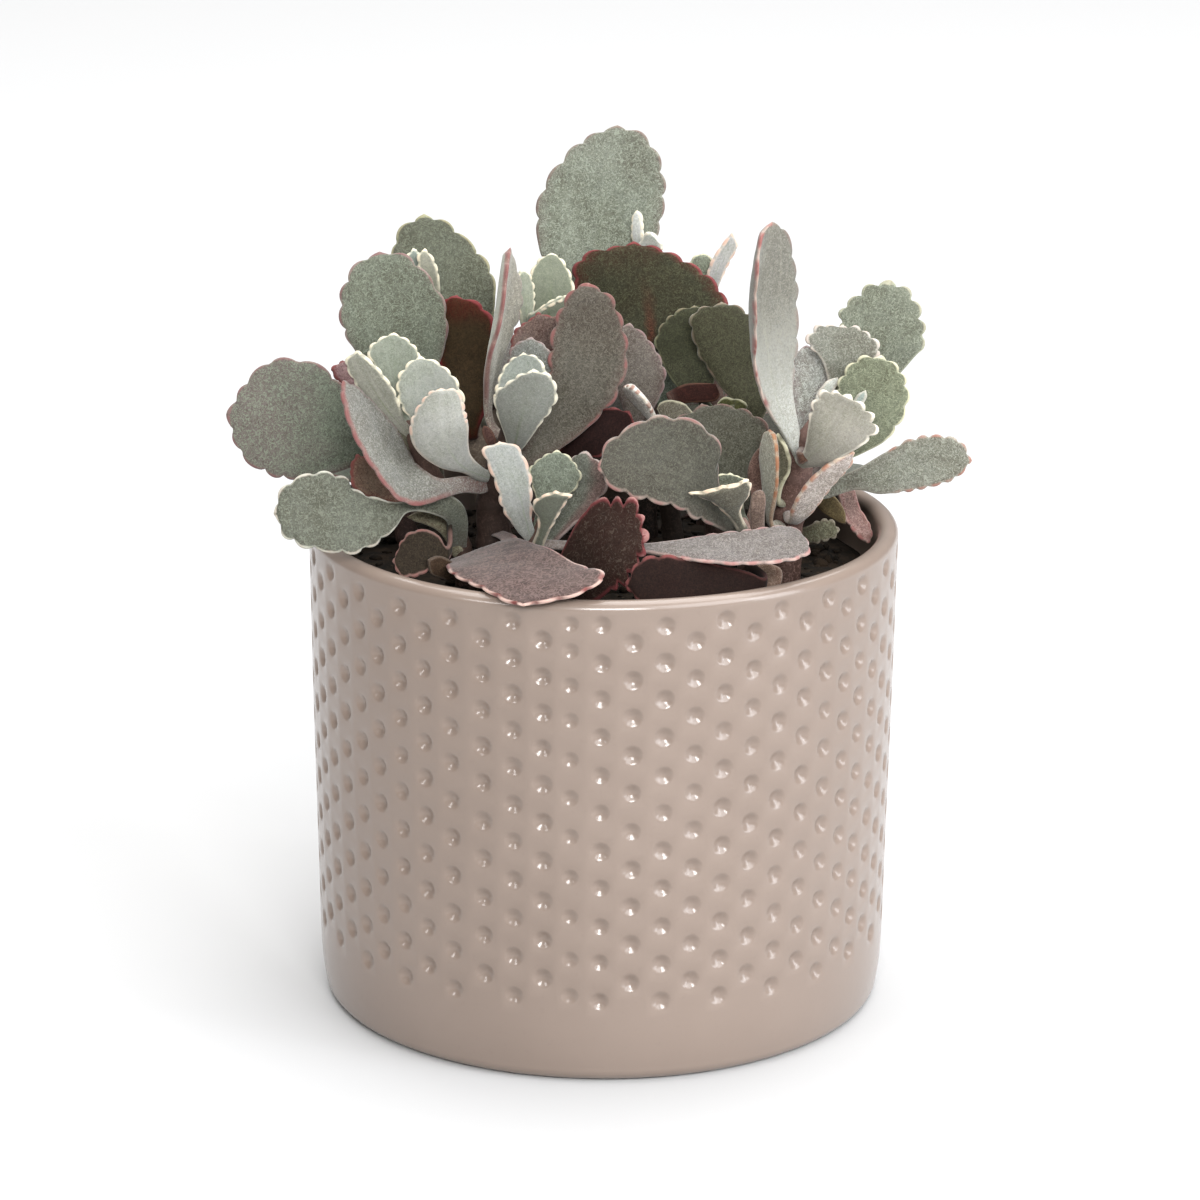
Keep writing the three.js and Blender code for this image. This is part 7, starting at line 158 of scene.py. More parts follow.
  {"n":"leaf_fill_d","k":"purplegrey","s":[[-26.99,5.44,115.46],[-29.0,8.0,117.0],[-25.0,18.0,124.0],[-23.0,24.0,134.0]],"v":[[0.894,-0.045,-0.447],[0.894,-0.045,-0.447],[0.959,-0.069,-0.274],[0.986,-0.084,-0.147]],"f":1,"R":[[0.0,1.3],[0.139,1.4],[0.242,1.87],[0.397,4.25],[0.569,7.14],[0.724,8.5],[0.862,7.48],[0.957,4.25],[1.0,0.0]],"L":[[0.0,1.3],[0.139,1.4],[0.242,1.87],[0.397,4.25],[0.569,7.14],[0.724,8.5],[0.862,7.48],[0.957,4.25],[1.0,0.0]],"c":[0.1,0.1],"h":1.7,"t":7,"a":0.6,"z":0.397,"g":"shoot_back_left","col":[0.0682,0.062,0.0499],"slot":"lilac_leaf"},
  {"n":"leaf_fill_e","k":"purplegrey","s":[[-13.09,8.41,108.85],[-13.0,10.0,110.0],[-8.0,20.0,115.0],[-5.0,29.0,123.0]],"v":[[-0.882,0.237,0.407],[-0.882,0.237,0.407],[-0.922,0.141,0.361],[-0.95,0.041,0.31]],"f":1,"R":[[0.0,1.3],[0.08,1.4],[0.191,2.09],[0.356,4.75],[0.54,7.98],[0.706,9.5],[0.853,8.36],[0.954,4.75],[1.0,0.0]],"L":[[0.0,1.3],[0.08,1.4],[0.191,2.09],[0.356,4.75],[0.54,7.98],[0.706,9.5],[0.853,8.36],[0.954,4.75],[1.0,0.0]],"c":[0.1,0.1],"h":1.7,"t":7,"a":0.6,"z":0.356,"g":"shoot_back_center","col":[0.0672,0.0611,0.0491],"slot":"lilac_leaf"},
  {"n":"leaf_fill_f","k":"lilac2","s":[[-13.3,7.85,119.12],[-13.0,9.0,120.0],[-19.0,15.0,126.0],[-21.0,19.0,134.0]],"v":[[0.707,0.707,0.0],[0.707,0.707,0.0],[0.684,0.719,-0.123],[0.665,0.721,-0.194]],"f":1,"R":[[0.0,1.3],[0.09,1.4],[0.199,1.65],[0.363,3.75],[0.545,6.3],[0.709,7.5],[0.854,6.6],[0.955,3.75],[1.0,0.0]],"L":[[0.0,1.3],[0.09,1.4],[0.199,1.65],[0.363,3.75],[0.545,6.3],[0.709,7.5],[0.854,6.6],[0.955,3.75],[1.0,0.0]],"c":[0.1,0.1],"h":1.7,"t":7,"a":0.6,"z":0.363,"g":"shoot_back_center","col":[0.1836,0.1811,0.1638],"slot":"lilac_leaf"},
  {"n":"leaf_fill_g","k":"sage","s":[[-13.11,9.34,99.29],[-13.0,9.0,101.0],[-16.0,21.21,103.94],[-18.0,31.3,107.91]],"v":[[-0.973,-0.228,-0.046],[-0.973,-0.228,-0.046],[-0.978,-0.206,-0.041],[-0.983,-0.181,-0.036]],"f":1,"R":[[0.0,1.3],[0.103,1.4],[0.211,1.98],[0.372,4.5],[0.552,7.56],[0.713,9.0],[0.857,7.92],[0.955,4.5],[1.0,0.0]],"L":[[0.0,1.3],[0.103,1.4],[0.211,1.98],[0.372,4.5],[0.552,7.56],[0.713,9.0],[0.857,7.92],[0.955,4.5],[1.0,0.0]],"c":[0.1,0.1],"h":1.7,"t":7,"a":0.6,"z":0.372,"g":"shoot_back_center","col":[0.1627,0.1765,0.1414],"slot":"sage_leaf"},
  {"n":"leaf_fill_h","k":"sagegrey","s":[[23.53,17.26,102.34],[23.0,18.0,104.0],[34.0,24.0,109.0],[43.0,29.0,114.0]],"v":[[-0.524,0.839,0.147],[-0.524,0.839,0.147],[-0.531,0.835,0.144],[-0.54,0.83,0.141]],"f":1,"R":[[0.0,1.3],[0.102,1.4],[0.209,2.09],[0.371,4.75],[0.551,7.98],[0.713,9.5],[0.856,8.36],[0.955,4.75],[1.0,0.0]],"L":[[0.0,1.3],[0.102,1.4],[0.209,2.09],[0.371,4.75],[0.551,7.98],[0.713,9.5],[0.856,8.36],[0.955,4.75],[1.0,0.0]],"c":[0.1,0.1],"h":1.7,"t":7,"a":0.6,"z":0.371,"g":"shoot_back_right","col":[0.054,0.0518,0.0403],"slot":"sage_leaf"},
  {"n":"leaf_fill_i","k":"greypurple","s":[[23.27,18.46,111.16],[23.0,20.0,112.0],[18.0,32.27,117.62],[14.0,43.81,124.45]],"v":[[-0.938,-0.323,-0.129],[-0.938,-0.323,-0.129],[-0.948,-0.296,-0.119],[-0.957,-0.268,-0.107]],"f":1,"R":[[0.0,1.3],[0.066,1.4],[0.178,2.2],[0.346,5.0],[0.533,8.4],[0.701,10.0],[0.851,8.8],[0.953,5.0],[1.0,0.0]],"L":[[0.0,1.3],[0.066,1.4],[0.178,2.2],[0.346,5.0],[0.533,8.4],[0.701,10.0],[0.851,8.8],[0.953,5.0],[1.0,0.0]],"c":[0.1,0.1],"h":1.7,"t":7,"a":0.6,"z":0.346,"g":"shoot_back_right","col":[0.0739,0.0732,0.0563],"slot":"lilac_leaf"},
  {"n":"leaf_fill_j","k":"sage2","s":[[22.46,21.44,120.99],[22.0,22.0,122.0],[30.0,28.0,129.0],[34.0,31.0,137.0]],"v":[[0.536,-0.837,0.105],[0.536,-0.837,0.105],[0.535,-0.841,0.076],[0.534,-0.844,0.05]],"f":1,"R":[[0.0,1.3],[0.089,1.4],[0.199,1.65],[0.363,3.75],[0.545,6.3],[0.709,7.5],[0.854,6.6],[0.954,3.75],[1.0,0.0]],"L":[[0.0,1.3],[0.089,1.4],[0.199,1.65],[0.363,3.75],[0.545,6.3],[0.709,7.5],[0.854,6.6],[0.954,3.75],[1.0,0.0]],"c":[0.1,0.1],"h":1.7,"t":7,"a":0.6,"z":0.363,"g":"shoot_back_right","col":[0.1002,0.109,0.0826],"slot":"sage_leaf"},
  {"n":"leaf_fill_k","k":"sage2","s":[[8.15,23.01,103.64],[8.0,24.0,105.0],[-2.0,32.0,110.0],[-11.0,40.0,113.0]],"v":[[-0.566,-0.808,0.162],[-0.566,-0.808,0.162],[-0.596,-0.787,0.157],[-0.628,-0.763,0.153]],"f":1,"R":[[0.0,1.3],[0.083,1.4],[0.193,2.2],[0.358,5.0],[0.542,8.4],[0.707,10.0],[0.853,8.8],[0.954,5.0],[1.0,0.0]],"L":[[0.0,1.3],[0.083,1.4],[0.193,2.2],[0.358,5.0],[0.542,8.4],[0.707,10.0],[0.853,8.8],[0.954,5.0],[1.0,0.0]],"c":[0.1,0.1],"h":1.7,"t":7,"a":0.6,"z":0.358,"g":"shoot_top","col":[0.1055,0.1147,0.0869],"slot":"sage_leaf"},
  {"n":"leaf_fill_l","k":"sagelilac","s":[[8.24,23.83,112.98],[8.0,25.0,114.0],[16.0,31.59,122.43],[21.0,35.98,132.61]],"v":[[-0.788,0.221,0.575],[-0.788,0.221,0.575],[-0.835,0.064,0.546],[-0.863,-0.143,0.485]],"f":1,"R":[[0.0,1.3],[0.082,1.4],[0.192,1.98],[0.357,4.5],[0.541,7.56],[0.706,9.0],[0.853,7.92],[0.954,4.5],[1.0,0.0]],"L":[[0.0,1.3],[0.082,1.4],[0.192,1.98],[0.357,4.5],[0.541,7.56],[0.706,9.0],[0.853,7.92],[0.954,4.5],[1.0,0.0]],"c":[0.1,0.1],"h":1.7,"t":7,"a":0.6,"z":0.357,"g":"shoot_top","col":[0.0916,0.1042,0.0781],"slot":"sage_leaf"},
  {"n":"leaf_fill_m","k":"sage","s":[[8.49,26.06,127.16],[9.0,27.0,128.0],[3.0,36.0,136.0],[-1.0,41.0,149.0]],"v":[[0.87,0.168,0.463],[0.87,0.168,0.463],[0.93,0.22,0.296],[0.949,0.245,0.198]],"f":1,"R":[[0.0,1.3],[0.072,1.4],[0.184,1.87],[0.351,4.25],[0.536,7.14],[0.703,8.5],[0.852,7.48],[0.954,4.25],[1.0,0.0]],"L":[[0.0,1.3],[0.072,1.4],[0.184,1.87],[0.351,4.25],[0.536,7.14],[0.703,8.5],[0.852,7.48],[0.954,4.25],[1.0,0.0]],"c":[0.1,0.1],"h":1.7,"t":7,"a":0.6,"z":0.351,"g":"shoot_top","col":[0.1445,0.1567,0.1256],"slot":"sage_leaf"},
  {"n":"leaf_fill_n","k":"sagegrey","s":[[8.45,25.66,125.01],[9.0,27.0,126.0],[14.0,33.24,133.13],[16.0,39.63,139.62]],"v":[[0.882,-0.361,-0.302],[0.882,-0.361,-0.302],[0.926,-0.344,-0.157],[0.95,-0.313,0.016]],"f":1,"R":[[0.0,1.3],[0.084,1.4],[0.194,1.76],[0.359,4.0],[0.542,6.72],[0.707,8.0],[0.853,7.04],[0.954,4.0],[1.0,0.0]],"L":[[0.0,1.3],[0.084,1.4],[0.194,1.76],[0.359,4.0],[0.542,6.72],[0.707,8.0],[0.853,7.04],[0.954,4.0],[1.0,0.0]],"c":[0.1,0.1],"h":1.7,"t":7,"a":0.6,"z":0.359,"g":"shoot_top","col":[0.0482,0.0463,0.036],"slot":"sage_leaf"},
  # leaf_fill_o: a near-black colour for a leaf in a gap that holds only shade, painted shade
  {"n":"leaf_fill_o","k":"dark","s":[[13.86,-4.54,98.89],[13.0,-4.0,100.0],[20.0,4.0,103.0],[27.0,11.0,107.0]],"v":[[-0.748,0.664,-0.025],[-0.748,0.664,-0.025],[-0.728,0.685,-0.013],[-0.707,0.707,0.0]],"f":1,"R":[[0.0,1.3],[0.097,1.4],[0.206,1.76],[0.368,4.0],[0.549,6.72],[0.711,8.0],[0.856,7.04],[0.955,4.0],[1.0,0.0]],"L":[[0.0,1.3],[0.097,1.4],[0.206,1.76],[0.368,4.0],[0.549,6.72],[0.711,8.0],[0.856,7.04],[0.955,4.0],[1.0,0.0]],"c":[0.1,0.1],"h":1.7,"t":7,"a":0.6,"z":0.368,"g":"shoot_mid","col":[0.015,0.012,0.009],"slot":"dark_leaf"},
  {"n":"leaf_fill_p","k":"lilac2","s":[[11.87,-5.51,111.12],[10.0,-5.0,112.0],[4.0,5.28,118.31],[0.0,12.25,126.02]],"v":[[-0.113,-0.567,0.816],[-0.113,-0.567,0.816],[-0.01,-0.634,0.773],[0.121,-0.704,0.7]],"f":1,"R":[[0.0,1.3],[0.095,1.4],[0.204,1.76],[0.366,4.0],[0.547,6.72],[0.71,8.0],[0.855,7.04],[0.955,4.0],[1.0,0.0]],"L":[[0.0,1.3],[0.095,1.4],[0.204,1.76],[0.366,4.0],[0.547,6.72],[0.71,8.0],[0.855,7.04],[0.955,4.0],[1.0,0.0]],"c":[0.1,0.1],"h":1.7,"t":7,"a":0.6,"z":0.366,"g":"shoot_mid","col":[0.1993,0.1966,0.1778],"slot":"lilac_leaf"},
  # leaf_fill_q: a near-black colour for a leaf in a gap that holds only shade, painted shade
  {"n":"leaf_fill_q","k":"dark","s":[[-21.96,-14.09,99.65],[-21.0,-14.0,101.0],[-14.0,-6.0,104.0],[-6.0,2.0,107.0]],"v":[[-0.749,0.662,-0.017],[-0.749,0.662,-0.017],[-0.728,0.686,-0.008],[-0.707,0.707,0.0]],"f":1,"R":[[0.0,1.3],[0.087,1.4],[0.197,1.87],[0.361,4.25],[0.544,7.14],[0.708,8.5],[0.854,7.48],[0.954,4.25],[1.0,0.0]],"L":[[0.0,1.3],[0.087,1.4],[0.197,1.87],[0.361,4.25],[0.544,7.14],[0.708,8.5],[0.854,7.48],[0.954,4.25],[1.0,0.0]],"c":[0.1,0.1],"h":1.7,"t":7,"a":0.6,"z":0.361,"g":"shoot_center","col":[0.02,0.014,0.011],"slot":"dark_leaf"},
]
STEMS = {
  "shoot_center": [[-21.24,-14.0,85.5,3.9],[-21.84,-14.0,98.23,3.7],[-22.6,-15.0,107.27,2.9],[-21.55,-17.0,114.24,2.3],[-19.31,-19.0,121.37,1.9],[-17.9,-20.0,126.76,1.3]],
  "shoot_left": [[-26.11,-13.0,85.5,2.6],[-29.07,-14.0,97.56,2.4],[-31.35,-17.0,106.73,2.1],[-34.55,-21.0,115.25,1.9],[-37.44,-22.0,121.64,1.5],[-38.85,-21.0,125.46,1.0]],
  "shoot_front": [[-18.22,-24.0,85.5,2.4],[-18.22,-24.0,89.72,2.4],[-16.17,-27.0,96.44,2.2],[-13.75,-30.0,102.28,1.9],[-11.98,-31.0,107.9,1.2]],
  "shoot_right": [[36.24,-11.0,85.5,3.658],[36.24,-11.0,93.1,3.658],[36.49,-11.0,101.92,3.658],[37.93,-12.0,109.51,3.4219999999999997],[39.18,-13.0,116.01,2.9499999999999997],[41.62,-14.0,122.08,2.242],[44.56,-13.0,126.77,1.534]],
  "shoot_right_front": [[28.78,-25.0,85.5,2.1],[28.78,-25.0,91.98,2.1],[28.48,-25.0,98.61,2.0],[27.97,-26.0,104.06,1.6],[27.3,-27.0,107.42,1.0]],
  "shoot_back_left": [[-22.99,8.0,85.5,2.9],[-22.99,8.0,91.24,2.9],[-24.17,7.0,106.03,2.7],[-28.17,5.0,119.21,2.4],[-31.98,5.0,133.83,1.9],[-34.81,6.0,143.96,1.2]],
  "shoot_back_center": [[-13.13,10.0,85.5,2.8],[-13.13,10.0,92.44,2.8],[-13.14,8.0,114.3,2.4],[-13.77,8.0,126.93,1.9],[-14.19,8.0,136.97,1.1]],
  "shoot_top": [[8.03,22.0,85.5,3.2],[8.03,22.0,90.0,3.2],[8.26,24.0,114.52,2.8],[8.54,27.0,133.01,2.2],[8.23,28.0,146.35,1.2]],
  "shoot_back_right": [[23.77,16.0,85.5,2.8],[23.77,16.0,90.95,2.8],[23.13,19.0,113.76,2.4],[21.41,25.0,129.31,1.8],[20.51,27.0,138.18,1.1]],
  "shoot_mid": [[14.76,-4.0,85.5,2.2],[14.76,-4.0,91.13,2.2],[12.98,-5.0,105.33,2.0],[10.22,-6.0,118.13,1.7],[8.38,-5.0,122.02,1.0]],
  "shoot_rear_left": [[-24.0,30.0,86.0,3.0],[-24.0,33.0,100.0,2.6],[-22.0,36.0,112.0,2.0],[-21.0,37.0,121.0,1.2]],
  "shoot_rear_right": [[22.0,34.0,86.0,3.0],[24.0,36.0,99.0,2.6],[27.0,37.0,110.0,2.0],[28.0,37.0,118.0,1.2]],
  "shoot_side_right": [[36.0,12.0,86.0,2.6],[38.0,14.0,94.0,2.3],[40.0,16.0,102.0,1.8],[41.0,17.0,108.0,1.1]],
  "shoot_side_left": [[-38.0,8.0,86.0,2.6],[-41.0,10.0,95.0,2.3],[-44.0,12.0,103.0,1.8],[-45.0,13.0,109.0,1.1]],
}
# looks of the leaves: felt, mottling, streaks, hairs, veins, blush, underside and margin
KINDS = {
  "default": {'dside': 0, 'abs': 0.8, 'ray_f': 0.5, 'ray_m': (1.22, 1.22, 1.2), 'patch_m': (0.7, 0.67, 0.6), 'patch_f': 0.8, 'mott_m': (1.24, 1.25, 1.22), 'mott_f': 0.35, 'fleck_m': 0.55, 'fleck_f': 0.3, 'bloom_m': (1.5, 1.52, 1.5), 'bloom_f': 0.25, 'sq_s': 1250.0, 'sq_w': 0.06, 'sq_m': (1.72, 1.74, 1.72), 'sq_f': 0.72, 'sqd_m': (0.52, 0.5, 0.46), 'sqd_f': 0.6, 'vein_f': 0.25, 'vein_w': 0.1, 'vein_m': (0.78, 0.8, 0.66), 'sb': 0, 'sb_f': 0.0, 'sb_m': (1.0, 0.62, 0.68), 'blush_m': (0.9, 0.7, 0.72), 'blush_f': 0.5, 'blush_w': 3.0, 'blush_u0': 0.6, 'blush_tip': 0.4, 'base_c': (134, 114, 104), 'base_u': 0.22, 'base_f': 0.4, 'under_m': (1.02, 0.94, 0.94), 'under_f': 0.6, 'edge': (190, 176, 162), 'edge_f': 0.4, 'edge_w': 0.55, 'edge_u0': 0.22, 'edge_lobe0': 0.45, 'dash': (134, 86, 82), 'dash_f': 0.3, 'dash_w': 0.7, 'dash_p': (0.5, 0.95), 'dash_n': 0.45, 'rough': 0.8, 'spec': 0.2, 'sheen': 0.18},
  "sage": {'blush_m': (0.88, 0.7, 0.74), 'blush_f': 0.6, 'dash': (116, 80, 80), 'dash_f': 0.5, 'edge': (176, 166, 152), 'edge_f': 0.35},
  "sage2": {'blush_f': 0.4, 'edge': (196, 194, 154), 'edge_f': 0.5, 'dash': (130, 104, 88), 'dash_f': 0.2, 'blush_m': (0.88, 0.76, 0.74)},
  "sagelilac": {'patch_m': (0.86, 0.84, 0.86), 'blush_m': (1.14, 0.82, 0.98), 'blush_f': 0.95, 'blush_w': 2.6, 'blush_tip': 0.95, 'blush_u0': 0.5, 'dash': (112, 72, 74), 'dash_f': 0.6, 'edge': (146, 114, 112), 'edge_f': 0.45},
  "sagepale": {'sqd_f': 0.45, 'fleck_f': 0.45, 'edge': (222, 220, 204), 'edge_f': 0.65, 'blush_f': 0.15, 'dash': (150, 112, 104), 'dash_f': 0.25},
  "sagegrey": {'edge': (188, 166, 154), 'edge_f': 0.5, 'edge_w': 0.75, 'dash': (132, 84, 82), 'dash_f': 0.75, 'blush_f': 0.45, 'blush_m': (0.98, 0.78, 0.8)},
  "sagegreen": {'edge': (204, 206, 178), 'edge_f': 0.5, 'blush_f': 0.1, 'dash_f': 0.15},
  "sagered": {'edge': (204, 192, 178), 'dash': (158, 84, 68), 'dash_f': 0.6, 'blush_f': 0.25},
  "green": {'edge': (226, 222, 190), 'edge_f': 0.75, 'blush_f': 0.05, 'dash_f': 0.05, 'base_f': 0.15},
  "greenpurple": {'under_m': (0.96, 0.92, 0.9), 'under_f': 0.4, 'edge': (214, 196, 188), 'edge_f': 0.6, 'blush_f': 0.1, 'dash_f': 0.2, 'sb': 1, 'sb_f': 0.85, 'sb_m': (1.05, 0.62, 0.68)},
  "greenorange": {'edge': (176, 128, 92), 'edge_f': 0.8, 'edge_w': 0.6, 'dash': (148, 92, 64), 'dash_f': 0.6},
  "mint": {'fleck_m': 0.7, 'fleck_f': 0.35, 'bloom_m': (1.25, 1.25, 1.22), 'patch_m': (0.8, 0.84, 0.74), 'mott_m': (1.14, 1.14, 1.12), 'edge_w': 0.7, 'edge_lobe0': 0.3, 'base_f': 0.15, 'blush_f': 0.05, 'sq_m': (1.34, 1.34, 1.28), 'sqd_m': (0.7, 0.74, 0.66), 'sqd_f': 0.4, 'sq_f': 0.5, 'vein_f': 0.7, 'vein_m': (0.72, 0.82, 0.62), 'edge': (244, 236, 208), 'edge_f': 0.8, 'dash': (220, 190, 164), 'dash_f': 0.25, 'under_m': (1.0, 0.99, 0.98), 'under_f': 0.3},
  "mintgrey": {'fleck_m': 0.7, 'fleck_f': 0.35, 'bloom_m': (1.25, 1.25, 1.22), 'patch_m': (0.8, 0.84, 0.74), 'mott_m': (1.14, 1.14, 1.12), 'edge_w': 0.7, 'edge_lobe0': 0.3, 'base_f': 0.15, 'blush_f': 0.05, 'sq_m': (1.34, 1.34, 1.28), 'sqd_m': (0.7, 0.74, 0.66), 'sqd_f': 0.4, 'sq_f': 0.5, 'vein_f': 0.7, 'vein_m': (0.72, 0.82, 0.62), 'edge': (238, 231, 212), 'edge_f': 0.75, 'dash_f': 0.05},
  "white": {'fleck_m': 0.7, 'fleck_f': 0.35, 'bloom_m': (1.25, 1.25, 1.22), 'patch_m': (0.8, 0.84, 0.74), 'mott_m': (1.14, 1.14, 1.12), 'edge_w': 0.7, 'edge_lobe0': 0.3, 'base_f': 0.15, 'blush_f': 0.05, 'sq_m': (1.34, 1.34, 1.28), 'sqd_m': (0.7, 0.74, 0.66), 'sqd_f': 0.4, 'sq_f': 0.5, 'vein_f': 0.7, 'vein_m': (0.72, 0.82, 0.62), 'edge': (244, 220, 198), 'edge_f': 0.75, 'dash': (190, 134, 116), 'dash_f': 0.5, 'under_f': 0.2},
  "white2": {'fleck_m': 0.7, 'fleck_f': 0.35, 'bloom_m': (1.25, 1.25, 1.22), 'patch_m': (0.8, 0.84, 0.74), 'mott_m': (1.14, 1.14, 1.12), 'edge_w': 0.7, 'edge_lobe0': 0.3, 'base_f': 0.3, 'blush_f': 0.05, 'sq_m': (1.34, 1.34, 1.28), 'sqd_m': (0.7, 0.74, 0.66), 'sqd_f': 0.4, 'sq_f': 0.5, 'vein_f': 0.7, 'vein_m': (0.72, 0.82, 0.62), 'edge': (248, 238, 220), 'edge_f': 0.8, 'dash_f': 0.1, 'under_f': 0.2, 'base_c': (226, 222, 204), 'base_u': 0.6},
  "whitegreen": {'fleck_m': 0.7, 'fleck_f': 0.35, 'bloom_m': (1.25, 1.25, 1.22), 'patch_m': (0.8, 0.84, 0.74), 'mott_m': (1.14, 1.14, 1.12), 'edge_w': 0.7, 'edge_lobe0': 0.3, 'base_f': 0.15, 'blush_f': 0.05, 'sq_m': (1.34, 1.34, 1.28), 'sqd_m': (0.7, 0.74, 0.66), 'sqd_f': 0.4, 'sq_f': 0.5, 'vein_f': 0.7, 'vein_m': (0.72, 0.82, 0.62), 'edge': (248, 230, 204), 'edge_f': 0.85, 'dash': (190, 142, 120), 'dash_f': 0.45},
  "pale": {'fleck_m': 0.7, 'fleck_f': 0.35, 'bloom_m': (1.25, 1.25, 1.22), 'patch_m': (0.8, 0.84, 0.74), 'mott_m': (1.14, 1.14, 1.12), 'edge_w': 0.7, 'edge_lobe0': 0.3, 'base_f': 0.15, 'blush_f': 0.05, 'sq_m': (1.34, 1.34, 1.28), 'sqd_m': (0.7, 0.74, 0.66), 'sqd_f': 0.4, 'sq_f': 0.5, 'vein_f': 0.7, 'vein_m': (0.72, 0.82, 0.62), 'edge': (240, 232, 206), 'edge_f': 0.78, 'dash_f': 0.05},
  "palegrey": {'fleck_m': 0.7, 'fleck_f': 0.35, 'bloom_m': (1.25, 1.25, 1.22), 'patch_m': (0.8, 0.84, 0.74), 'mott_m': (1.14, 1.14, 1.12), 'edge_w': 0.7, 'edge_lobe0': 0.3, 'base_f': 0.15, 'blush_f': 0.05, 'sq_m': (1.34, 1.34, 1.28), 'sqd_m': (0.7, 0.74, 0.66), 'sqd_f': 0.4, 'sq_f': 0.5, 'vein_f': 0.8, 'vein_m': (0.66, 0.74, 0.52), 'edge': (240, 232, 208), 'edge_f': 0.78, 'dash_f': 0.05, 'vein_w': 0.14},
  "paleside": {'dside': -1, 'edge': (134, 88, 84), 'edge_f': 0.75, 'edge_w': 1.3, 'edge_lobe0': 0.85, 'dash': (122, 72, 70), 'dash_f': 0.6, 'dash_w': 0.9, 'dash_n': 0.35, 'under_m': (0.86, 0.7, 0.7), 'under_f': 0.8, 'blush_f': 0.5, 'blush_w': 2.6, 'blush_m': (0.95, 0.76, 0.76), 'base_c': (112, 78, 74), 'base_f': 0.85, 'base_u': 0.45, 'sqd_f': 0.4},
  "palepink": {'edge': (206, 176, 166), 'edge_f': 0.75, 'edge_w': 0.7, 'dash': (150, 92, 90), 'dash_f': 0.7, 'dash_w': 0.9, 'under_m': (0.74, 0.62, 0.6), 'under_f': 0.7, 'blush_f': 0.25, 'blush_m': (1.0, 0.82, 0.84)},
  "palewavy": {'edge': (228, 220, 208), 'edge_f': 0.8, 'blush_f': 0.3, 'sqd_f': 0.4, 'edge_w': 0.8},
  "tallpale": {'dside': -1, 'sqd_f': 0.3, 'fleck_f': 0.35, 'mott_f': 0.2, 'patch_f': 0.5, 'edge': (206, 178, 166), 'edge_f': 0.6, 'edge_lobe0': 0.8, 'dash': (138, 78, 74), 'dash_f': 0.9, 'dash_w': 1.5, 'dash_n': 0.46, 'under_m': (0.95, 0.88, 0.85), 'under_f': 0.6, 'blush_f': 0.1, 'ray_f': 1.0, 'ray_m': (1.25, 1.25, 1.22), 'base_c': (226, 228, 220), 'base_u': 0.85, 'base_f': 0.7},
  "edgepale": {'edge': (210, 192, 170), 'edge_f': 0.8, 'dash': (164, 96, 68), 'dash_f': 0.75, 'dash_w': 0.9, 'under_m': (0.85, 0.76, 0.74), 'under_f': 0.6, 'blush_f': 0.2},
  "greyedge": {'edge': (222, 210, 192), 'edge_f': 0.8, 'dash': (146, 84, 70), 'dash_f': 0.7, 'dash_w': 0.8, 'under_f': 0.5, 'blush_f': 0.1},
  "lilac": {'blush_m': (1.08, 0.86, 0.9), 'blush_f': 0.5, 'edge': (186, 168, 162), 'edge_f': 0.45, 'dash': (118, 78, 80), 'dash_f': 0.5},
  "lilac2": {'blush_m': (0.98, 0.74, 0.8), 'blush_f': 0.6, 'edge': (178, 156, 152), 'edge_f': 0.45, 'dash': (120, 76, 80), 'dash_f': 0.5},
  "purplegrey": {'blush_m': (1.12, 0.76, 0.8), 'blush_f': 0.5, 'edge': (152, 114, 108), 'edge_f': 0.42, 'edge_w': 0.75, 'dash': (140, 84, 82), 'dash_f': 0.65, 'dash_w': 0.9},
  "greypurple": {'blush_m': (1.05, 0.74, 0.78), 'blush_f': 0.45, 'edge': (150, 118, 110), 'edge_f': 0.3, 'dash': (112, 72, 70), 'dash_f': 0.45, 'dash_w': 0.8},
  "maroonlilac": {'blush_m': (1.1, 0.74, 0.74), 'blush_f': 0.45, 'edge': (212, 180, 168), 'edge_f': 0.8, 'edge_w': 1.0, 'dash': (122, 58, 56), 'dash_f': 0.9, 'dash_w': 1.2, 'dash_p': (0.95, 0.45), 'bloom_f': 0.5, 'sq_m': (1.75, 1.7, 1.72), 'sq_f': 0.85, 'sq_s': 700.0, 'sq_w': 0.085, 'patch_m': (0.62, 0.5, 0.52), 'patch_f': 0.8, 'sqd_f': 0.8},
  "dark": {'patch_f': 0.85, 'patch_m': (0.5, 0.42, 0.4), 'blush_m': (1.3, 0.74, 0.76), 'blush_f': 0.5, 'edge': (112, 58, 56), 'edge_f': 0.75, 'edge_lobe0': 0.8, 'edge_w': 0.85, 'dash': (140, 80, 80), 'dash_f': 0.5, 'under_m': (1.1, 0.95, 0.9), 'under_f': 0.4, 'base_f': 0.1, 'bloom_m': (1.7, 1.6, 1.5), 'bloom_f': 0.35, 'sq_m': (2.1, 1.9, 1.8), 'sq_f': 0.4, 'sheen': 0.04, 'spec': 0.12},
  "darkback": {'patch_f': 0.7, 'patch_m': (1.05, 0.84, 0.78), 'vein_f': 1.0, 'vein_w': 0.14, 'vein_m': (1.9, 0.6, 0.62), 'blush_m': (2.05, 0.66, 0.76), 'blush_f': 0.95, 'blush_w': 3.9, 'blush_tip': 0.35, 'blush_u0': 0.8, 'edge': (120, 56, 58), 'edge_f': 0.85, 'edge_lobe0': 0.85, 'edge_w': 1.0, 'dash': (150, 84, 84), 'dash_f': 0.4, 'under_f': 0.0, 'base_f': 0.1, 'bloom_m': (1.6, 1.6, 1.5), 'bloom_f': 0.3, 'sq_m': (2.3, 2.35, 2.15), 'sq_f': 0.7, 'sheen': 0.04, 'spec': 0.12},
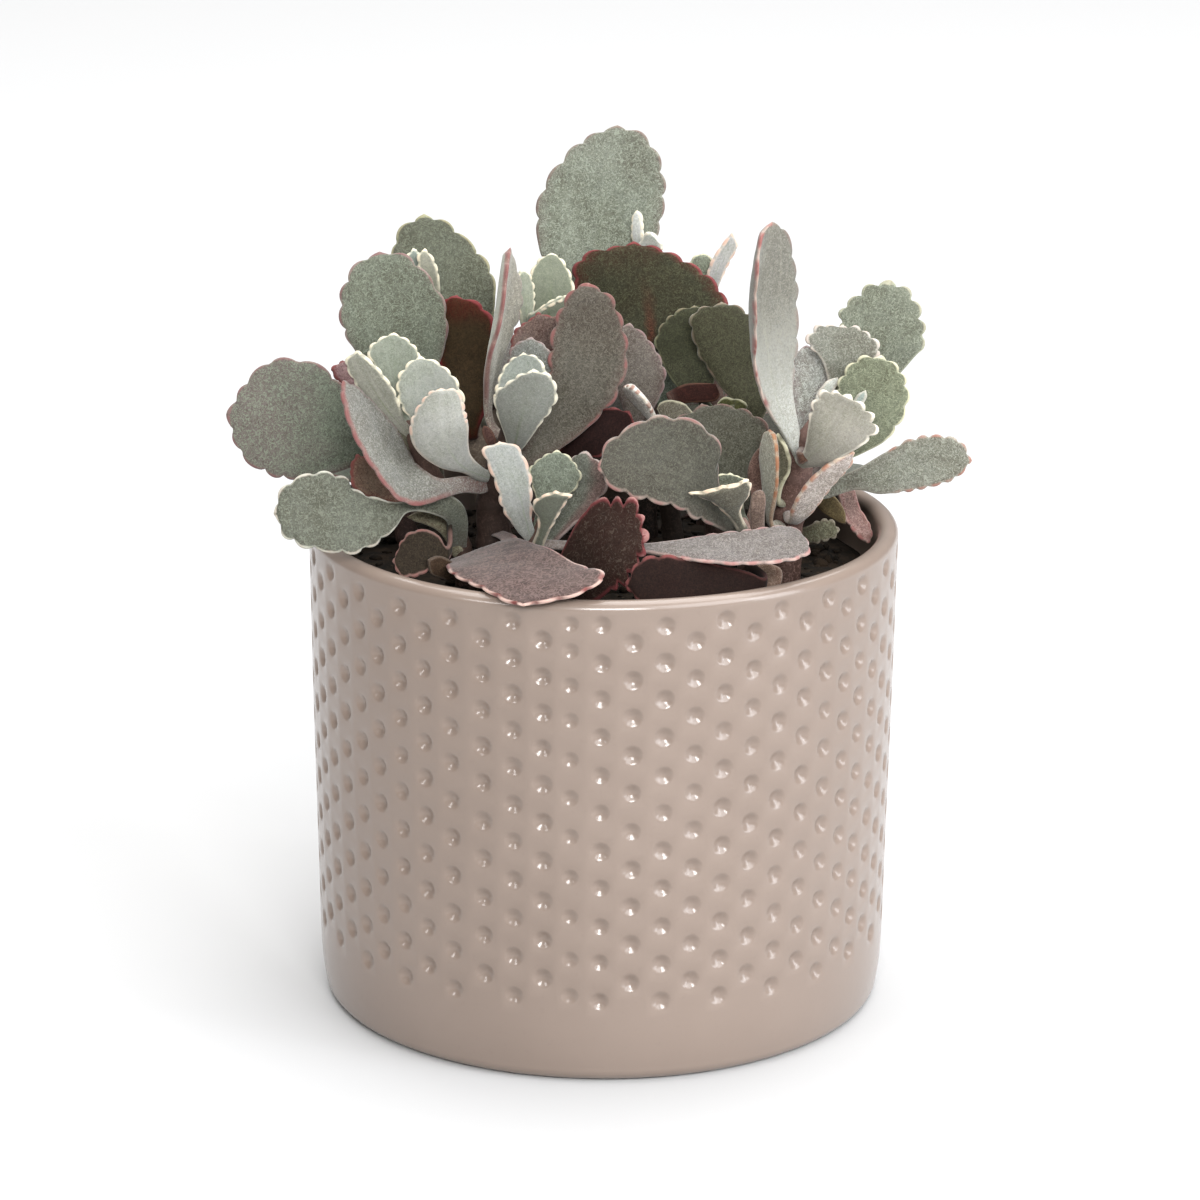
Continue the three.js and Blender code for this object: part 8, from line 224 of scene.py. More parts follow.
  "darkleft": {'patch_f': 0.8, 'patch_m': (0.6, 0.55, 0.5), 'blush_m': (2.3, 0.5, 0.62), 'blush_f': 0.9, 'blush_w': 1.9, 'blush_tip': 1.0, 'blush_u0': 0.74, 'edge': (124, 50, 54), 'edge_f': 0.85, 'edge_lobe0': 0.85, 'edge_w': 1.0, 'dash_f': 0.2, 'under_f': 0.0, 'base_f': 0.1, 'bloom_m': (1.6, 1.5, 1.4), 'bloom_f': 0.3, 'sq_m': (1.9, 1.7, 1.6), 'sq_f': 0.4, 'sheen': 0.04, 'spec': 0.12},
  "darkhairy": {'patch_m': (1.1, 0.8, 0.8), 'blush_m': (1.3, 0.74, 0.78), 'blush_f': 0.6, 'edge': (118, 58, 60), 'edge_f': 0.8, 'edge_lobe0': 0.8, 'edge_w': 1.0, 'dash': (190, 146, 140), 'dash_f': 0.5, 'dash_w': 0.5, 'bloom_m': (1.8, 1.7, 1.75), 'bloom_f': 0.25, 'sq_m': (3.0, 4.0, 4.2), 'sq_f': 0.7, 'sq_w': 0.03, 'sq_s': 800.0, 'sheen': 0.04, 'spec': 0.12},
  "darkgreen": {'patch_m': (1.2, 0.8, 0.8), 'blush_m': (1.4, 0.74, 0.76), 'blush_f': 0.5, 'blush_w': 3.0, 'edge': (122, 76, 72), 'edge_f': 0.6, 'edge_w': 0.8, 'dash': (132, 70, 70), 'dash_f': 0.6, 'bloom_m': (1.8, 1.7, 1.6), 'bloom_f': 0.35, 'sq_m': (2.2, 2.1, 1.9), 'sq_f': 0.4, 'patch_f': 0.3, 'sheen': 0.04, 'spec': 0.12},
  "deepgreen": {'blush_f': 0.15, 'edge': (150, 152, 118), 'edge_f': 0.5, 'dash_f': 0.2},
  "olivegrey": {'blush_f': 0.15, 'edge': (176, 164, 140), 'edge_f': 0.4, 'dash_f': 0.2},
  "pink": {'blush_f': 0.2, 'edge_f': 0.1, 'dash_f': 0.1},
  "redpink": {'blush_m': (1.2, 0.7, 0.72), 'blush_f': 0.7, 'blush_w': 1.6, 'edge': (206, 184, 172), 'edge_f': 0.6, 'dash': (140, 66, 64), 'dash_f': 0.7},
  "cup": {'edge': (240, 226, 200), 'edge_f': 0.85, 'edge_w': 0.8, 'blush_f': 0.05, 'dash': (200, 146, 116), 'dash_f': 0.4},
  "dullgrey": {'edge': (158, 122, 114), 'edge_f': 0.6, 'edge_w': 0.8, 'edge_lobe0': 0.8, 'dash': (136, 78, 74), 'dash_f': 0.5, 'sheen': 0.04, 'spec': 0.12},
  "dullpurple": {'edge_f': 0.1, 'dash_f': 0.0},
  "dull": {'edge_f': 0.2, 'dash_f': 0.0, 'sheen': 0.04, 'spec': 0.12},
  "olive": {'edge': (136, 118, 80), 'edge_f': 0.6, 'dash_f': 0.0},
  "purple": {'edge_f': 0.4, 'dash_f': 0.0},
  "dry": {'blush_f': 0.0, 'edge': (136, 102, 82), 'edge_f': 0.5, 'dash_f': 0.0, 'sheen': 0.0, 'rough': 0.9},
  "bud": {'edge_f': 0.2, 'dash_f': 0.0},
  "roundleft": {'blush_m': (0.92, 0.76, 0.8), 'blush_f': 0.55, 'blush_tip': 0.35, 'edge': (164, 136, 132), 'edge_f': 0.6, 'dash': (118, 78, 80), 'dash_f': 0.65},
  "edgeleft": {'dside': -1, 'edge': (134, 88, 84), 'edge_f': 0.75, 'edge_w': 1.3, 'edge_lobe0': 0.85, 'dash': (122, 72, 70), 'dash_f': 0.6, 'dash_w': 0.9, 'dash_n': 0.35, 'under_m': (1.55, 1.72, 1.7), 'under_f': 0.9, 'blush_f': 0.5, 'blush_w': 2.6, 'blush_m': (0.95, 0.76, 0.76), 'base_c': (112, 78, 74), 'base_f': 0.85, 'base_u': 0.45, 'sqd_f': 0.4},
}

# ------------------------------------------------------------------ small maths
def cr(P, t):
    P = np.asarray(P, float); n = len(P); t = np.atleast_1d(np.asarray(t, float))
    p = (n - 1) * t; i = np.minimum(np.floor(p).astype(int), n - 2); w = (p - i)[:, None]
    E = np.vstack([2 * P[0] - P[1], P, 2 * P[-1] - P[-2]])
    p0, p1, p2, p3 = E[i], E[i + 1], E[i + 2], E[i + 3]
    t0 = 0.5 * (p2 - p0); t1 = 0.5 * (p3 - p1)
    return p1 + t0 * w + (-3 * p1 + 3 * p2 - 2 * t0 - t1) * w ** 2 + (2 * p1 - 2 * p2 + t0 + t1) * w ** 3

def arcmap(P, n=240):
    t = np.linspace(0, 1, n + 1); q = cr(P, t)
    return t, np.concatenate([[0], np.cumsum(np.linalg.norm(np.diff(q, axis=0), axis=1))])

def unit(v):
    return v / np.maximum(np.linalg.norm(v, axis=-1, keepdims=True), 1e-12)

def vnoise(P, scale, seed=0):
    """smooth value noise at the points P (n,3)"""
    q = P * scale + seed * 17.17; i = np.floor(q).astype(np.int64); f = q - i; f = f * f * (3 - 2 * f)
    def h(a, b, c):
        x = (a * 374761393 + b * 668265263 + c * 2147483647 + seed * 982451653) & 0xFFFFFFFF
        x = ((x ^ (x >> 13)) * 1274126177) & 0xFFFFFFFF
        return ((x ^ (x >> 16)) & 0xFFFF) / 65535.0
    out = 0
    for dx in (0, 1):
        for dy in (0, 1):
            for dz in (0, 1):
                wgt = (f[:, 0] if dx else 1 - f[:, 0]) * (f[:, 1] if dy else 1 - f[:, 1]) * (f[:, 2] if dz else 1 - f[:, 2])
                out = out + wgt * h(i[:, 0] + dx, i[:, 1] + dy, i[:, 2] + dz)
    return out * 2 - 1

# ------------------------------------------------------------------ mesh helpers
def make_object(name, V, F, mat, attrs=None, smooth=True):
    me = bpy.data.meshes.new(name)
    V = np.asarray(V, np.float32) * MM
    me.vertices.add(len(V)); me.vertices.foreach_set("co", V.ravel())
    tot = sum(len(f) for f in F) if isinstance(F, list) else F.size
    if isinstance(F, list):
        loops = np.concatenate([np.asarray(f, np.int32) for f in F]); sizes = np.array([len(f) for f in F], np.int32)
    else:
        loops = F.astype(np.int32).ravel(); sizes = np.full(len(F), F.shape[1], np.int32)
    me.loops.add(len(loops)); me.loops.foreach_set("vertex_index", loops)
    me.polygons.add(len(sizes)); me.polygons.foreach_set("loop_start", np.concatenate([[0], np.cumsum(sizes)[:-1]]).astype(np.int32))
    me.polygons.foreach_set("use_smooth", np.full(len(sizes), smooth))
    me.update(calc_edges=True); me.validate()
    for k, a in (attrs or {}).items():
        at = me.attributes.new(k, "FLOAT", "POINT"); at.data.foreach_set("value", np.asarray(a, np.float32))
    mats = mat if isinstance(mat, (list, tuple)) else [mat]
    for m in mats: me.materials.append(m)
    o = bpy.data.objects.new(name, me); bpy.context.scene.collection.objects.link(o)
    return o

class Build:
    """collects several closed shells into one mesh, with point attributes and a material slot per shell"""
    def __init__(s): s.V = []; s.F = []; s.A = {}; s.m = []; s.n = 0; s.mats = []
    def add(s, V, F, mat, attrs):
        if mat not in s.mats: s.mats.append(mat)
        k = s.mats.index(mat)
        F = [tuple(int(x) + s.n for x in f) for f in F]
        s.F += F; s.m += [k] * len(F); s.V.append(V)
        for key in ("em", "ph", "un", "up", "lat"):
            s.A.setdefault(key, []).append(np.asarray(attrs.get(key, np.zeros(len(V))), np.float32))
        s.n += len(V)
    def make(s, name):
        o = make_object(name, np.vstack(s.V), s.F, s.mats, {k: np.concatenate(v) for k, v in s.A.items()})
        o.data.polygons.foreach_set("material_index", np.array(s.m, np.int32)); o.data.update()
        return o

# ------------------------------------------------------------------ leaf
def margin(rows, L, n):
    c = np.array([(u * L, b) for u, b in rows], float); t, l = arcmap(c, 400)
    return cr(c, np.interp(np.linspace(0, 1, n) * l[-1], l, t)), l[-1]

def scallop(m, L, leaf, rng):
    n = len(m); d = np.gradient(m, axis=0); d /= np.maximum(np.linalg.norm(d, axis=1)[:, None], 1e-9)
    nrm = np.stack([-d[:, 1], d[:, 0]], -1)
    s = np.linspace(0, L, n); nt = leaf["t"]; amp = leaf["a"]; st = leaf["z"] * L
    if nt <= 0: return m, np.zeros(n), np.zeros(n)
    x = (s - st) / (L - st) * (nt + 0.5)
    # uneven lobes: warp the phase a little
    knots = np.arange(-1, nt + 3); warp = knots + np.concatenate([[0], rng.uniform(-0.13, 0.13, len(knots) - 2), [0]])
    x = np.interp(x, knots, warp)
    lob = np.abs(np.sin(np.pi * np.clip(x, 0, nt + 0.5))) ** 0.62
    env = np.clip((s - st) / (0.10 * L), 0, 1)
    hgt = rng.uniform(0.8, 1.2, nt + 3)[np.clip(np.floor(x).astype(int), 0, nt + 2)]
    dsp = amp * (lob * hgt - 0.5) * env
    phase = np.where(env > 0, lob, 0.5)
    return m + nrm * dsp[:, None], phase, env

def leaf_mesh(leaf, rings=84, seg=20, seed=0):
    rng = np.random.RandomState(seed)
    hw = max(b for _, b in leaf["R"])
    if hw > 7.5: leaf = dict(leaf); leaf["t"] = max(4, int(round(leaf["t"] * 0.64))); leaf["a"] = leaf["a"] * 1.75; leaf["w"] = 0.85
    elif leaf["t"] > 5: leaf = dict(leaf); leaf["t"] = max(5, int(round(leaf["t"] * 0.78))); leaf["a"] = leaf["a"] * 1.3
    pts = np.array(leaf["s"]); sides = np.array(leaf["v"]); tt, LL = arcmap(pts); L = LL[-1]
    n = 601
    mr, lr = margin(leaf["R"], L, n); ml, ll_ = margin(leaf["L"], L, n)
    mr0, ml0 = mr.copy(), ml.copy()
    mr, pr, er = scallop(mr, lr, leaf, rng); ml, pl, el = scallop(ml, ll_, leaf, rng)
    wmax = max(mr[:, 1].max(), ml[:, 1].max(), 0.5)
    q = np.linspace(0, 1, rings + 2)[1:-1]
    # a little denser at both ends
    q = q + 0.012 * np.sin(2 * np.pi * q) * -1
    qi = np.linspace(0, 1, n)
    R = np.stack([np.interp(q, qi, mr[:, 0]), np.interp(q, qi, mr[:, 1])], -1)
    Lm = np.stack([np.interp(q, qi, ml[:, 0]), np.interp(q, qi, ml[:, 1])], -1)
    R0 = np.stack([np.interp(q, qi, mr0[:, 0]), np.interp(q, qi, mr0[:, 1])], -1)
    L0 = np.stack([np.interp(q, qi, ml0[:, 0]), np.interp(q, qi, ml0[:, 1])], -1)
    PR = np.interp(q, qi, pr); PL = np.interp(q, qi, pl)
    a_s = 0.5 * (R0[:, 0] + L0[:, 0]); w = 0.5 * (np.abs(R0[:, 1]) + np.abs(L0[:, 1]))
    thick = leaf["h"]; cup = leaf["c"]
    th = thick * np.minimum(1.0, np.sqrt(np.maximum(w, 0) / (0.35 * wmax + 0.6)))
    ang = 2 * np.pi * np.arange(seg) / seg; c = np.cos(ang)[None, :]; s = np.sin(ang)[None, :]
    pos = c >= 0
    # the lobes stay in the rim: the blade inside follows the plain outline
    rimw = np.abs(c) ** 4
    a = a_s[:, None] + np.where(pos, (R0[:, :1] - a_s[:, None]) * c + (R - R0)[:, :1] * rimw, (L0[:, :1] - a_s[:, None]) * -c + (Lm - L0)[:, :1] * rimw)
    b = np.where(pos, R0[:, 1:] * c + (R - R0)[:, 1:] * rimw, L0[:, 1:] * c - (Lm - L0)[:, 1:] * rimw)
    sh = np.sign(s) * np.abs(s) ** np.where(s > 0, 0.75, 0.9)
    h = np.where(s > 0, 0.36, 0.64) * th[:, None] * sh
    # the upper face dips behind a rounded rim
    rim = np.exp(-((1 - np.abs(c)) * np.abs(np.where(pos, R[:, 1:], Lm[:, 1:])) / 0.9) ** 2)
    h = h + np.where(b > 0, cup[0], cup[1]) * b * b / wmax
    P0n = np.stack([a.ravel(), b.ravel(), np.zeros(a.size)], -1)
    big = vnoise(P0n, 0.11, seed % 97); h = h + (big.reshape(a.shape)) * leaf.get("w", 0.35) * np.minimum(1, a / (0.4 * L + 1e-6)) * (0.3 + 0.7 * (w / wmax)[:, None])
    fine = vnoise(P0n, 0.55, (seed + 11) % 97).reshape(a.shape); h = h + 0.05 * fine * (1 - rim)
    # a faint groove along the middle of the upper face
    h = h - 0.12 * np.exp(-(b / 0.8) ** 2) * (s > 0) * np.clip(1.2 - a / L, 0, 1)
    u = np.clip(a / L, 0, 1); T_ = np.interp(u * L, LL, tt).ravel()
    P = cr(pts, T_); d = 1e-3
    T = unit(cr(pts, np.minimum(T_ + d, 1)) - cr(pts, np.maximum(T_ - d, 0)))
    S = cr(sides, T_); S = unit(S - (S * T).sum(1, keepdims=True) * T); N = np.cross(T, S) * leaf["f"]
    P = P + T * (a - u * L).ravel()[:, None] + S * b.ravel()[:, None] + N * h.ravel()[:, None]
    p0 = cr(pts, [0.0])[0]; Tb = unit(cr(pts, [1.0])[0] - cr(pts, [0.998])[0])
    tipa = max(R[-1, 0], Lm[-1, 0]) + 0.12
    p1 = cr(pts, [1.0])[0] + Tb * (tipa - L) + (N.reshape(rings, seg, 3)[-1, 0]) * float(h[-1].mean())
    V = np.vstack([p0, P, p1])
    F = []
    for k in range(seg): F.append((0, 1 + (k + 1) % seg, 1 + k))
    for i in range(rings - 1):
        for k in range(seg):
            k2 = (k + 1) % seg; F.append((1 + i * seg + k, 1 + i * seg + k2, 1 + (i + 1) * seg + k2, 1 + (i + 1) * seg + k))
    e = 1 + rings * seg
    for k in range(seg): F.append((e, e - seg + k, e - seg + (k + 1) % seg))
    # outward faces
    A = V[[f[0] for f in F]]; B_ = V[[f[1] for f in F]]; C_ = V[[f[2] for f in F]]
    vol = np.einsum("ij,ij->i", A, np.cross(B_, C_)).sum()
    quads = [f for f in F if len(f) == 4]
    vol2 = vol + sum(0 for _ in ())
    D_ = V[[f[3] for f in quads]]; A4 = V[[f[0] for f in quads]]; C4 = V[[f[2] for f in quads]]
    vol2 = vol + np.einsum("ij,ij->i", A4, np.cross(C4, D_)).sum()
    if vol2 < 0: F = [f[::-1] for f in F]
    wid = np.where(pos, np.abs(R[:, 1:]), np.abs(Lm[:, 1:]))
    em = (1 - np.abs(c)) * wid + 0 * a
    ph = np.where(pos, PR[:, None], PL[:, None]) + 0 * a
    un = u; up = 0.5 + 0.5 * s + 0 * a; lat = c + 0 * a
    f_ = lambda x, x0_, x1_: np.concatenate([[x0_], x.ravel(), [x1_]])
    return V, F, dict(em=f_(em, 0.6, 0.0), ph=f_(ph, 0.5, 0.9), un=f_(un, 0, 1), up=f_(up, 0.5, 0.5), lat=f_(lat, 0, 0))

# ------------------------------------------------------------------ stem
def stem_mesh(rows, seed=0, rings=46, seg=20):
    rows = np.array(rows); A = rows[:, :3]; tt, LL = arcmap(A); L = LL[-1]
    l = np.linspace(0, L, rings); t = np.interp(l, LL, tt); Q = cr(A, t); r = np.interp(t * (len(rows) - 1), np.arange(len(rows)), rows[:, 3])
    T = unit(np.gradient(Q, axis=0)); ref = np.array([0.15, 1.0, 0.05])
    X1 = unit(np.cross(T, ref)); Y1 = np.cross(T, X1)
    node = 0.5 + 0.5 * np.cos(2 * np.pi * (l / 8.5 + 0.13 * seed))
    r = r * (1 + 0.10 * node ** 8)
    ang = 2 * np.pi * np.arange(seg) / seg
    V = Q[:, None] + r[:, None, None] * (np.cos(ang)[None, :, None] * X1[:, None] + np.sin(ang)[None, :, None] * Y1[:, None])
    V = V.reshape(-1, 3); nn = vnoise(V, 0.5, seed); V = V + 0.10 * nn[:, None] * unit(V - np.repeat(Q, seg, 0))
    cap = Q[-1] + T[-1] * r[-1] * 0.45; bot = Q[0]
    V = np.vstack([V, bot, cap]); n = len(V); F = []
    for i in range(rings - 1):
        for k in range(seg):
            k2 = (k + 1) % seg; F.append((i * seg + k, i * seg + k2, (i + 1) * seg + k2, (i + 1) * seg + k))
    for k in range(seg):
        F.append((n - 2, (k + 1) % seg, k)); F.append((n - 1, (rings - 1) * seg + k, (rings - 1) * seg + (k + 1) % seg))
    f0 = F[0]; nrm = np.cross(V[f0[1]] - V[f0[0]], V[f0[2]] - V[f0[0]])
    if nrm @ (V[f0[0]] - Q[0]) < 0: F = [f[::-1] for f in F]
    one = np.ones(n)
    un = np.concatenate([np.repeat(l / L, seg), [0, 1]]); nd = np.concatenate([np.repeat(node ** 8, seg), [0, 0]])
    return V, F, dict(em=one * 3, ph=nd, un=un, up=one, lat=one * 0)

# ------------------------------------------------------------------ materials
def new_mat(name):
    m = bpy.data.materials.new(name); m.use_nodes = True; nt = m.node_tree
    return m, nt, nt.nodes, nt.links, nt.nodes["Principled BSDF"]
def node(nt, kind, **kw):
    n = nt.nodes.new(kind)
    for k, v in kw.items(): setattr(n, k, v)
    return n
def attr(nt, name):
    n = node(nt, "ShaderNodeAttribute"); n.attribute_name = name; return n.outputs["Fac"]
def math_(nt, op, a, b=None, c=None, clamp=False):
    n = node(nt, "ShaderNodeMath", operation=op, use_clamp=clamp)
    for i, v in enumerate((a, b, c)):
        if v is None: continue
        if isinstance(v, (int, float)): n.inputs[i].default_value = v
        else: nt.links.new(v, n.inputs[i])
    return n.outputs[0]
def ramp_(nt, x, a, b, lo=0.0, hi=1.0):
    """x from a to b becomes lo to hi, smooth, clamped"""
    n = node(nt, "ShaderNodeMapRange", interpolation_type="SMOOTHSTEP")
    nt.links.new(x, n.inputs["Value"])
    n.inputs["From Min"].default_value = min(a, b); n.inputs["From Max"].default_value = max(a, b)
    n.inputs["To Min"].default_value = lo if a <= b else hi; n.inputs["To Max"].default_value = hi if a <= b else lo
    return n.outputs["Result"]
def mix_(nt, fac, a, b, mode="MIX"):
    n = node(nt, "ShaderNodeMix", data_type="RGBA", blend_type=mode)
    for sock, v in ((n.inputs[0], fac), (n.inputs[6], a), (n.inputs[7], b)):
        if isinstance(v, (int, float)): sock.default_value = v
        elif isinstance(v, tuple): sock.default_value = (*v, 1.0)
        else: nt.links.new(v, sock)
    return n.outputs[2]
def noise_(nt, vec, scale, detail=2.0, rough=0.5, dist=0.0):
    n = node(nt, "ShaderNodeTexNoise"); n.inputs["Scale"].default_value = scale
    n.inputs["Detail"].default_value = detail; n.inputs["Roughness"].default_value = rough; n.inputs["Distortion"].default_value = dist
    nt.links.new(vec, n.inputs["Vector"]); return n.outputs["Fac"]
def lin(c):
    """sRGB 0..255 to linear"""
    out = []
    for x in c:
        x = x / 255.0; out.append(x / 12.92 if x <= 0.04045 else ((x + 0.055) / 1.055) ** 2.4)
    return tuple(out)
def scale_c(c, f): return tuple(min(1.0, max(0.0, x * f)) for x in c)

# stem colours (base, tip), darker at the base: the stems' own brown, partly painted shade, set darker for the plant's
# shaded middle and most of all for shoot_center, shoot_mid and shoot_top
STEM_COL = {"default": ((58, 43, 37), (82, 64, 56)), "shoot_center": ((46, 34, 28), (62, 48, 42)), "shoot_mid": ((34, 26, 20), (50, 40, 34)), "shoot_side_left": ((46, 32, 27), (70, 52, 46)), "shoot_top": ((34, 26, 21), (72, 57, 49)), "shoot_right": ((66, 48, 41), (110, 86, 79)), "shoot_right_front": ((78, 62, 54), (118, 98, 90)), "shoot_back_left": ((92, 79, 68), (134, 121, 107)), "shoot_rear_left": ((76, 66, 57), (116, 104, 92))}
def mul(c, k): return tuple(min(1.0, a * b) for a, b in zip(c, k if isinstance(k, tuple) else (k, k, k)))
def leaf_material(name, kind, base, seed):
    K = dict(KINDS["default"]); K.update(KINDS.get(kind, {}))
    m, nt, nodes, links, bsdf = new_mat("m_" + name)
    tc = node(nt, "ShaderNodeTexCoord").outputs["Object"]
    off = node(nt, "ShaderNodeVectorMath", operation="ADD"); off.inputs[1].default_value = (0.013 * (seed % 11), 0.017 * (seed % 7), 0.011 * (seed % 13)); links.new(tc, off.inputs[0]); vec = off.outputs[0]
    em, ph, un, up, lat = (attr(nt, k) for k in ("em", "ph", "un", "up", "lat"))
    b = tuple(base)
    A = lambda c: mul(lin(c), K["abs"])
    # felt: fine flecks over broader mottling
    n1 = noise_(nt, vec, 2600.0, 2.0, 0.6); n2 = noise_(nt, vec, 1800.0, 2.0, 0.55, 0.4); n3 = noise_(nt, vec, 110.0, 3.0, 0.55); n5 = noise_(nt, vec, 420.0, 3.0, 0.6)
    col = mix_(nt, math_(nt, "MULTIPLY", ramp_(nt, n3, 0.36, 0.64), K["patch_f"]), b, mul(b, K["patch_m"]))
    col = mix_(nt, math_(nt, "MULTIPLY", ramp_(nt, n5, 0.40, 0.66), K["mott_f"]), col, mul(b, K["mott_m"]))
    # streaks along the blade
    cx = node(nt, "ShaderNodeCombineXYZ"); links.new(lat, cx.inputs[0]); links.new(math_(nt, "MULTIPLY", un, 0.22), cx.inputs[1]); cx.inputs[2].default_value = 0.37 * (seed % 19)
    ray = noise_(nt, cx.outputs[0], 5.0, 4.0, 0.6, 0.2)
    col = mix_(nt, math_(nt, "MULTIPLY", ramp_(nt, ray, 0.50, 0.66), K["ray_f"]), col, mul(b, K["ray_m"]))
    col = mix_(nt, math_(nt, "MULTIPLY", ramp_(nt, ray, 0.46, 0.30), K["ray_f"]), col, (0.78, 0.78, 0.74), "MULTIPLY")
    # underside
    und = ramp_(nt, up, 0.44, 0.34)
    col = mix_(nt, math_(nt, "MULTIPLY", und, K["under_f"]), col, mul(b, K["under_m"]))
    # base of the blade
    col = mix_(nt, math_(nt, "MULTIPLY", ramp_(nt, un, K["base_u"], 0.0), K["base_f"]), col, A(K["base_c"]))
    # blush towards the margin and the tip
    near_edge = ramp_(nt, math_(nt, "ADD", em, math_(nt, "MULTIPLY", math_(nt, "SUBTRACT", n5, 0.5), K["blush_w"] * 1.2)), K["blush_w"], 0.0)
    to_tip = math_(nt, "MULTIPLY", ramp_(nt, math_(nt, "ADD", un, math_(nt, "MULTIPLY", math_(nt, "SUBTRACT", n3, 0.5), 0.5)), K["blush_u0"], K["blush_u0"] + 0.35), K["blush_tip"])
    if K["dside"] != 0:
        side = ramp_(nt, math_(nt, "MULTIPLY", lat, float(K["dside"])), -0.25, 0.35)
        near_edge = math_(nt, "MULTIPLY", near_edge, side)
    bl = math_(nt, "MULTIPLY", math_(nt, "MAXIMUM", near_edge, to_tip), K["blush_f"])
    col = mix_(nt, bl, col, mul(b, K["blush_m"]))
    # flecks lie over all of it
    f_dark = math_(nt, "MULTIPLY", ramp_(nt, n2, 0.52, 0.38), K["fleck_f"])
    col = mix_(nt, f_dark, col, K["fleck_m"] if isinstance(K["fleck_m"], tuple) else (K["fleck_m"],) * 3, "MULTIPLY")
    f_light = math_(nt, "MULTIPLY", ramp_(nt, n1, 0.50, 0.66), K["bloom_f"])
    col = mix_(nt, f_light, col, mul(b, K["bloom_m"]))
    # matted hairs: thin squiggles, light and dark
    off2 = node(nt, "ShaderNodeVectorMath", operation="ADD"); off2.inputs[1].default_value = (0.31, 0.17, 0.23); links.new(vec, off2.inputs[0])
    hA = noise_(nt, vec, K["sq_s"], 1.0, 0.5, 1.1); hB = noise_(nt, off2.outputs[0], K["sq_s"] * 1.2, 1.0, 0.5, 1.1)
    lineA = ramp_(nt, math_(nt, "ABSOLUTE", math_(nt, "SUBTRACT", hA, 0.5)), K["sq_w"], K["sq_w"] * 0.2)
    lineB = ramp_(nt, math_(nt, "ABSOLUTE", math_(nt, "SUBTRACT", hB, 0.5)), K["sq_w"], K["sq_w"] * 0.2)
    col = mix_(nt, math_(nt, "MULTIPLY", lineB, K["sqd_f"]), col, K["sqd_m"], "MULTIPLY")
    col = mix_(nt, math_(nt, "MULTIPLY", lineA, K["sq_f"]), col, mul(b, K["sq_m"]))
    # middle vein, and a tint on one side of the blade
    if K["vein_f"] > 0:
        alat = math_(nt, "ABSOLUTE", math_(nt, "ADD", lat, math_(nt, "MULTIPLY", math_(nt, "SUBTRACT", n5, 0.5), 0.16)))
        vein = math_(nt, "MULTIPLY", math_(nt, "MULTIPLY", ramp_(nt, alat, K["vein_w"], 0.0), ramp_(nt, un, 0.85, 0.25)), K["vein_f"])
        col = mix_(nt, vein, col, K["vein_m"], "MULTIPLY")
    if K["sb"] != 0:
        sbl = ramp_(nt, math_(nt, "MULTIPLY", math_(nt, "ADD", lat, math_(nt, "MULTIPLY", math_(nt, "SUBTRACT", n5, 0.5), 0.4)), float(K["sb"])), 0.15, 0.75)
        col = mix_(nt, math_(nt, "MULTIPLY", sbl, K["sb_f"]), col, K["sb_m"], "MULTIPLY")
    # margin line, with marks on each lobe
    on = ramp_(nt, un, K["edge_u0"], K["edge_u0"] + 0.12)
    if K["dside"] != 0: on = math_(nt, "MULTIPLY", on, math_(nt, "ADD", 0.25, math_(nt, "MULTIPLY", side, 0.75)))
    wob = noise_(nt, vec, 600.0, 2.0, 0.5)
    wem = math_(nt, "ADD", em, math_(nt, "MULTIPLY", math_(nt, "SUBTRACT", wob, 0.5), 0.55))
    lobe = math_(nt, "ADD", K["edge_lobe0"], math_(nt, "MULTIPLY", ramp_(nt, ph, 0.35, 0.95), 1.0 - K["edge_lobe0"]))
    line = math_(nt, "MULTIPLY", math_(nt, "MULTIPLY", ramp_(nt, wem, K["edge_w"], K["edge_w"] * 0.35), K["edge_f"]), math_(nt, "MULTIPLY", on, lobe))
    col = mix_(nt, line, col, A(K["edge"]))
    dash = math_(nt, "MULTIPLY", ramp_(nt, wem, K["dash_w"], K["dash_w"] * 0.3), ramp_(nt, ph, K["dash_p"][0], K["dash_p"][1]))
    dash = math_(nt, "MULTIPLY", math_(nt, "MULTIPLY", dash, K["dash_f"]), on)
    dash = math_(nt, "MULTIPLY", dash, ramp_(nt, noise_(nt, vec, 240.0, 2.0, 0.6), K["dash_n"] - 0.1, K["dash_n"] + 0.1))
    col = mix_(nt, dash, col, A(K["dash"]))
    links.new(col, bsdf.inputs["Base Color"])
    bsdf.inputs["Roughness"].default_value = K["rough"]; bsdf.inputs["Specular IOR Level"].default_value = K["spec"]
    bsdf.inputs["Sheen Weight"].default_value = K["sheen"]; bsdf.inputs["Sheen Roughness"].default_value = 0.45
    bsdf.inputs["Sheen Tint"].default_value = (0.92, 0.95, 0.93, 1)
    bsdf.inputs["Subsurface Weight"].default_value = 0.10; bsdf.inputs["Subsurface Radius"].default_value = (1.0, 0.8, 0.5); bsdf.inputs["Subsurface Scale"].default_value = 0.0010
    bump = node(nt, "ShaderNodeBump"); bump.inputs["Strength"].default_value = 0.30; bump.inputs["Distance"].default_value = 0.00010
    links.new(math_(nt, "ADD", n1, math_(nt, "MULTIPLY", n2, 0.8)), bump.inputs["Height"]); links.new(bump.outputs[0], bsdf.inputs["Normal"])
    return m

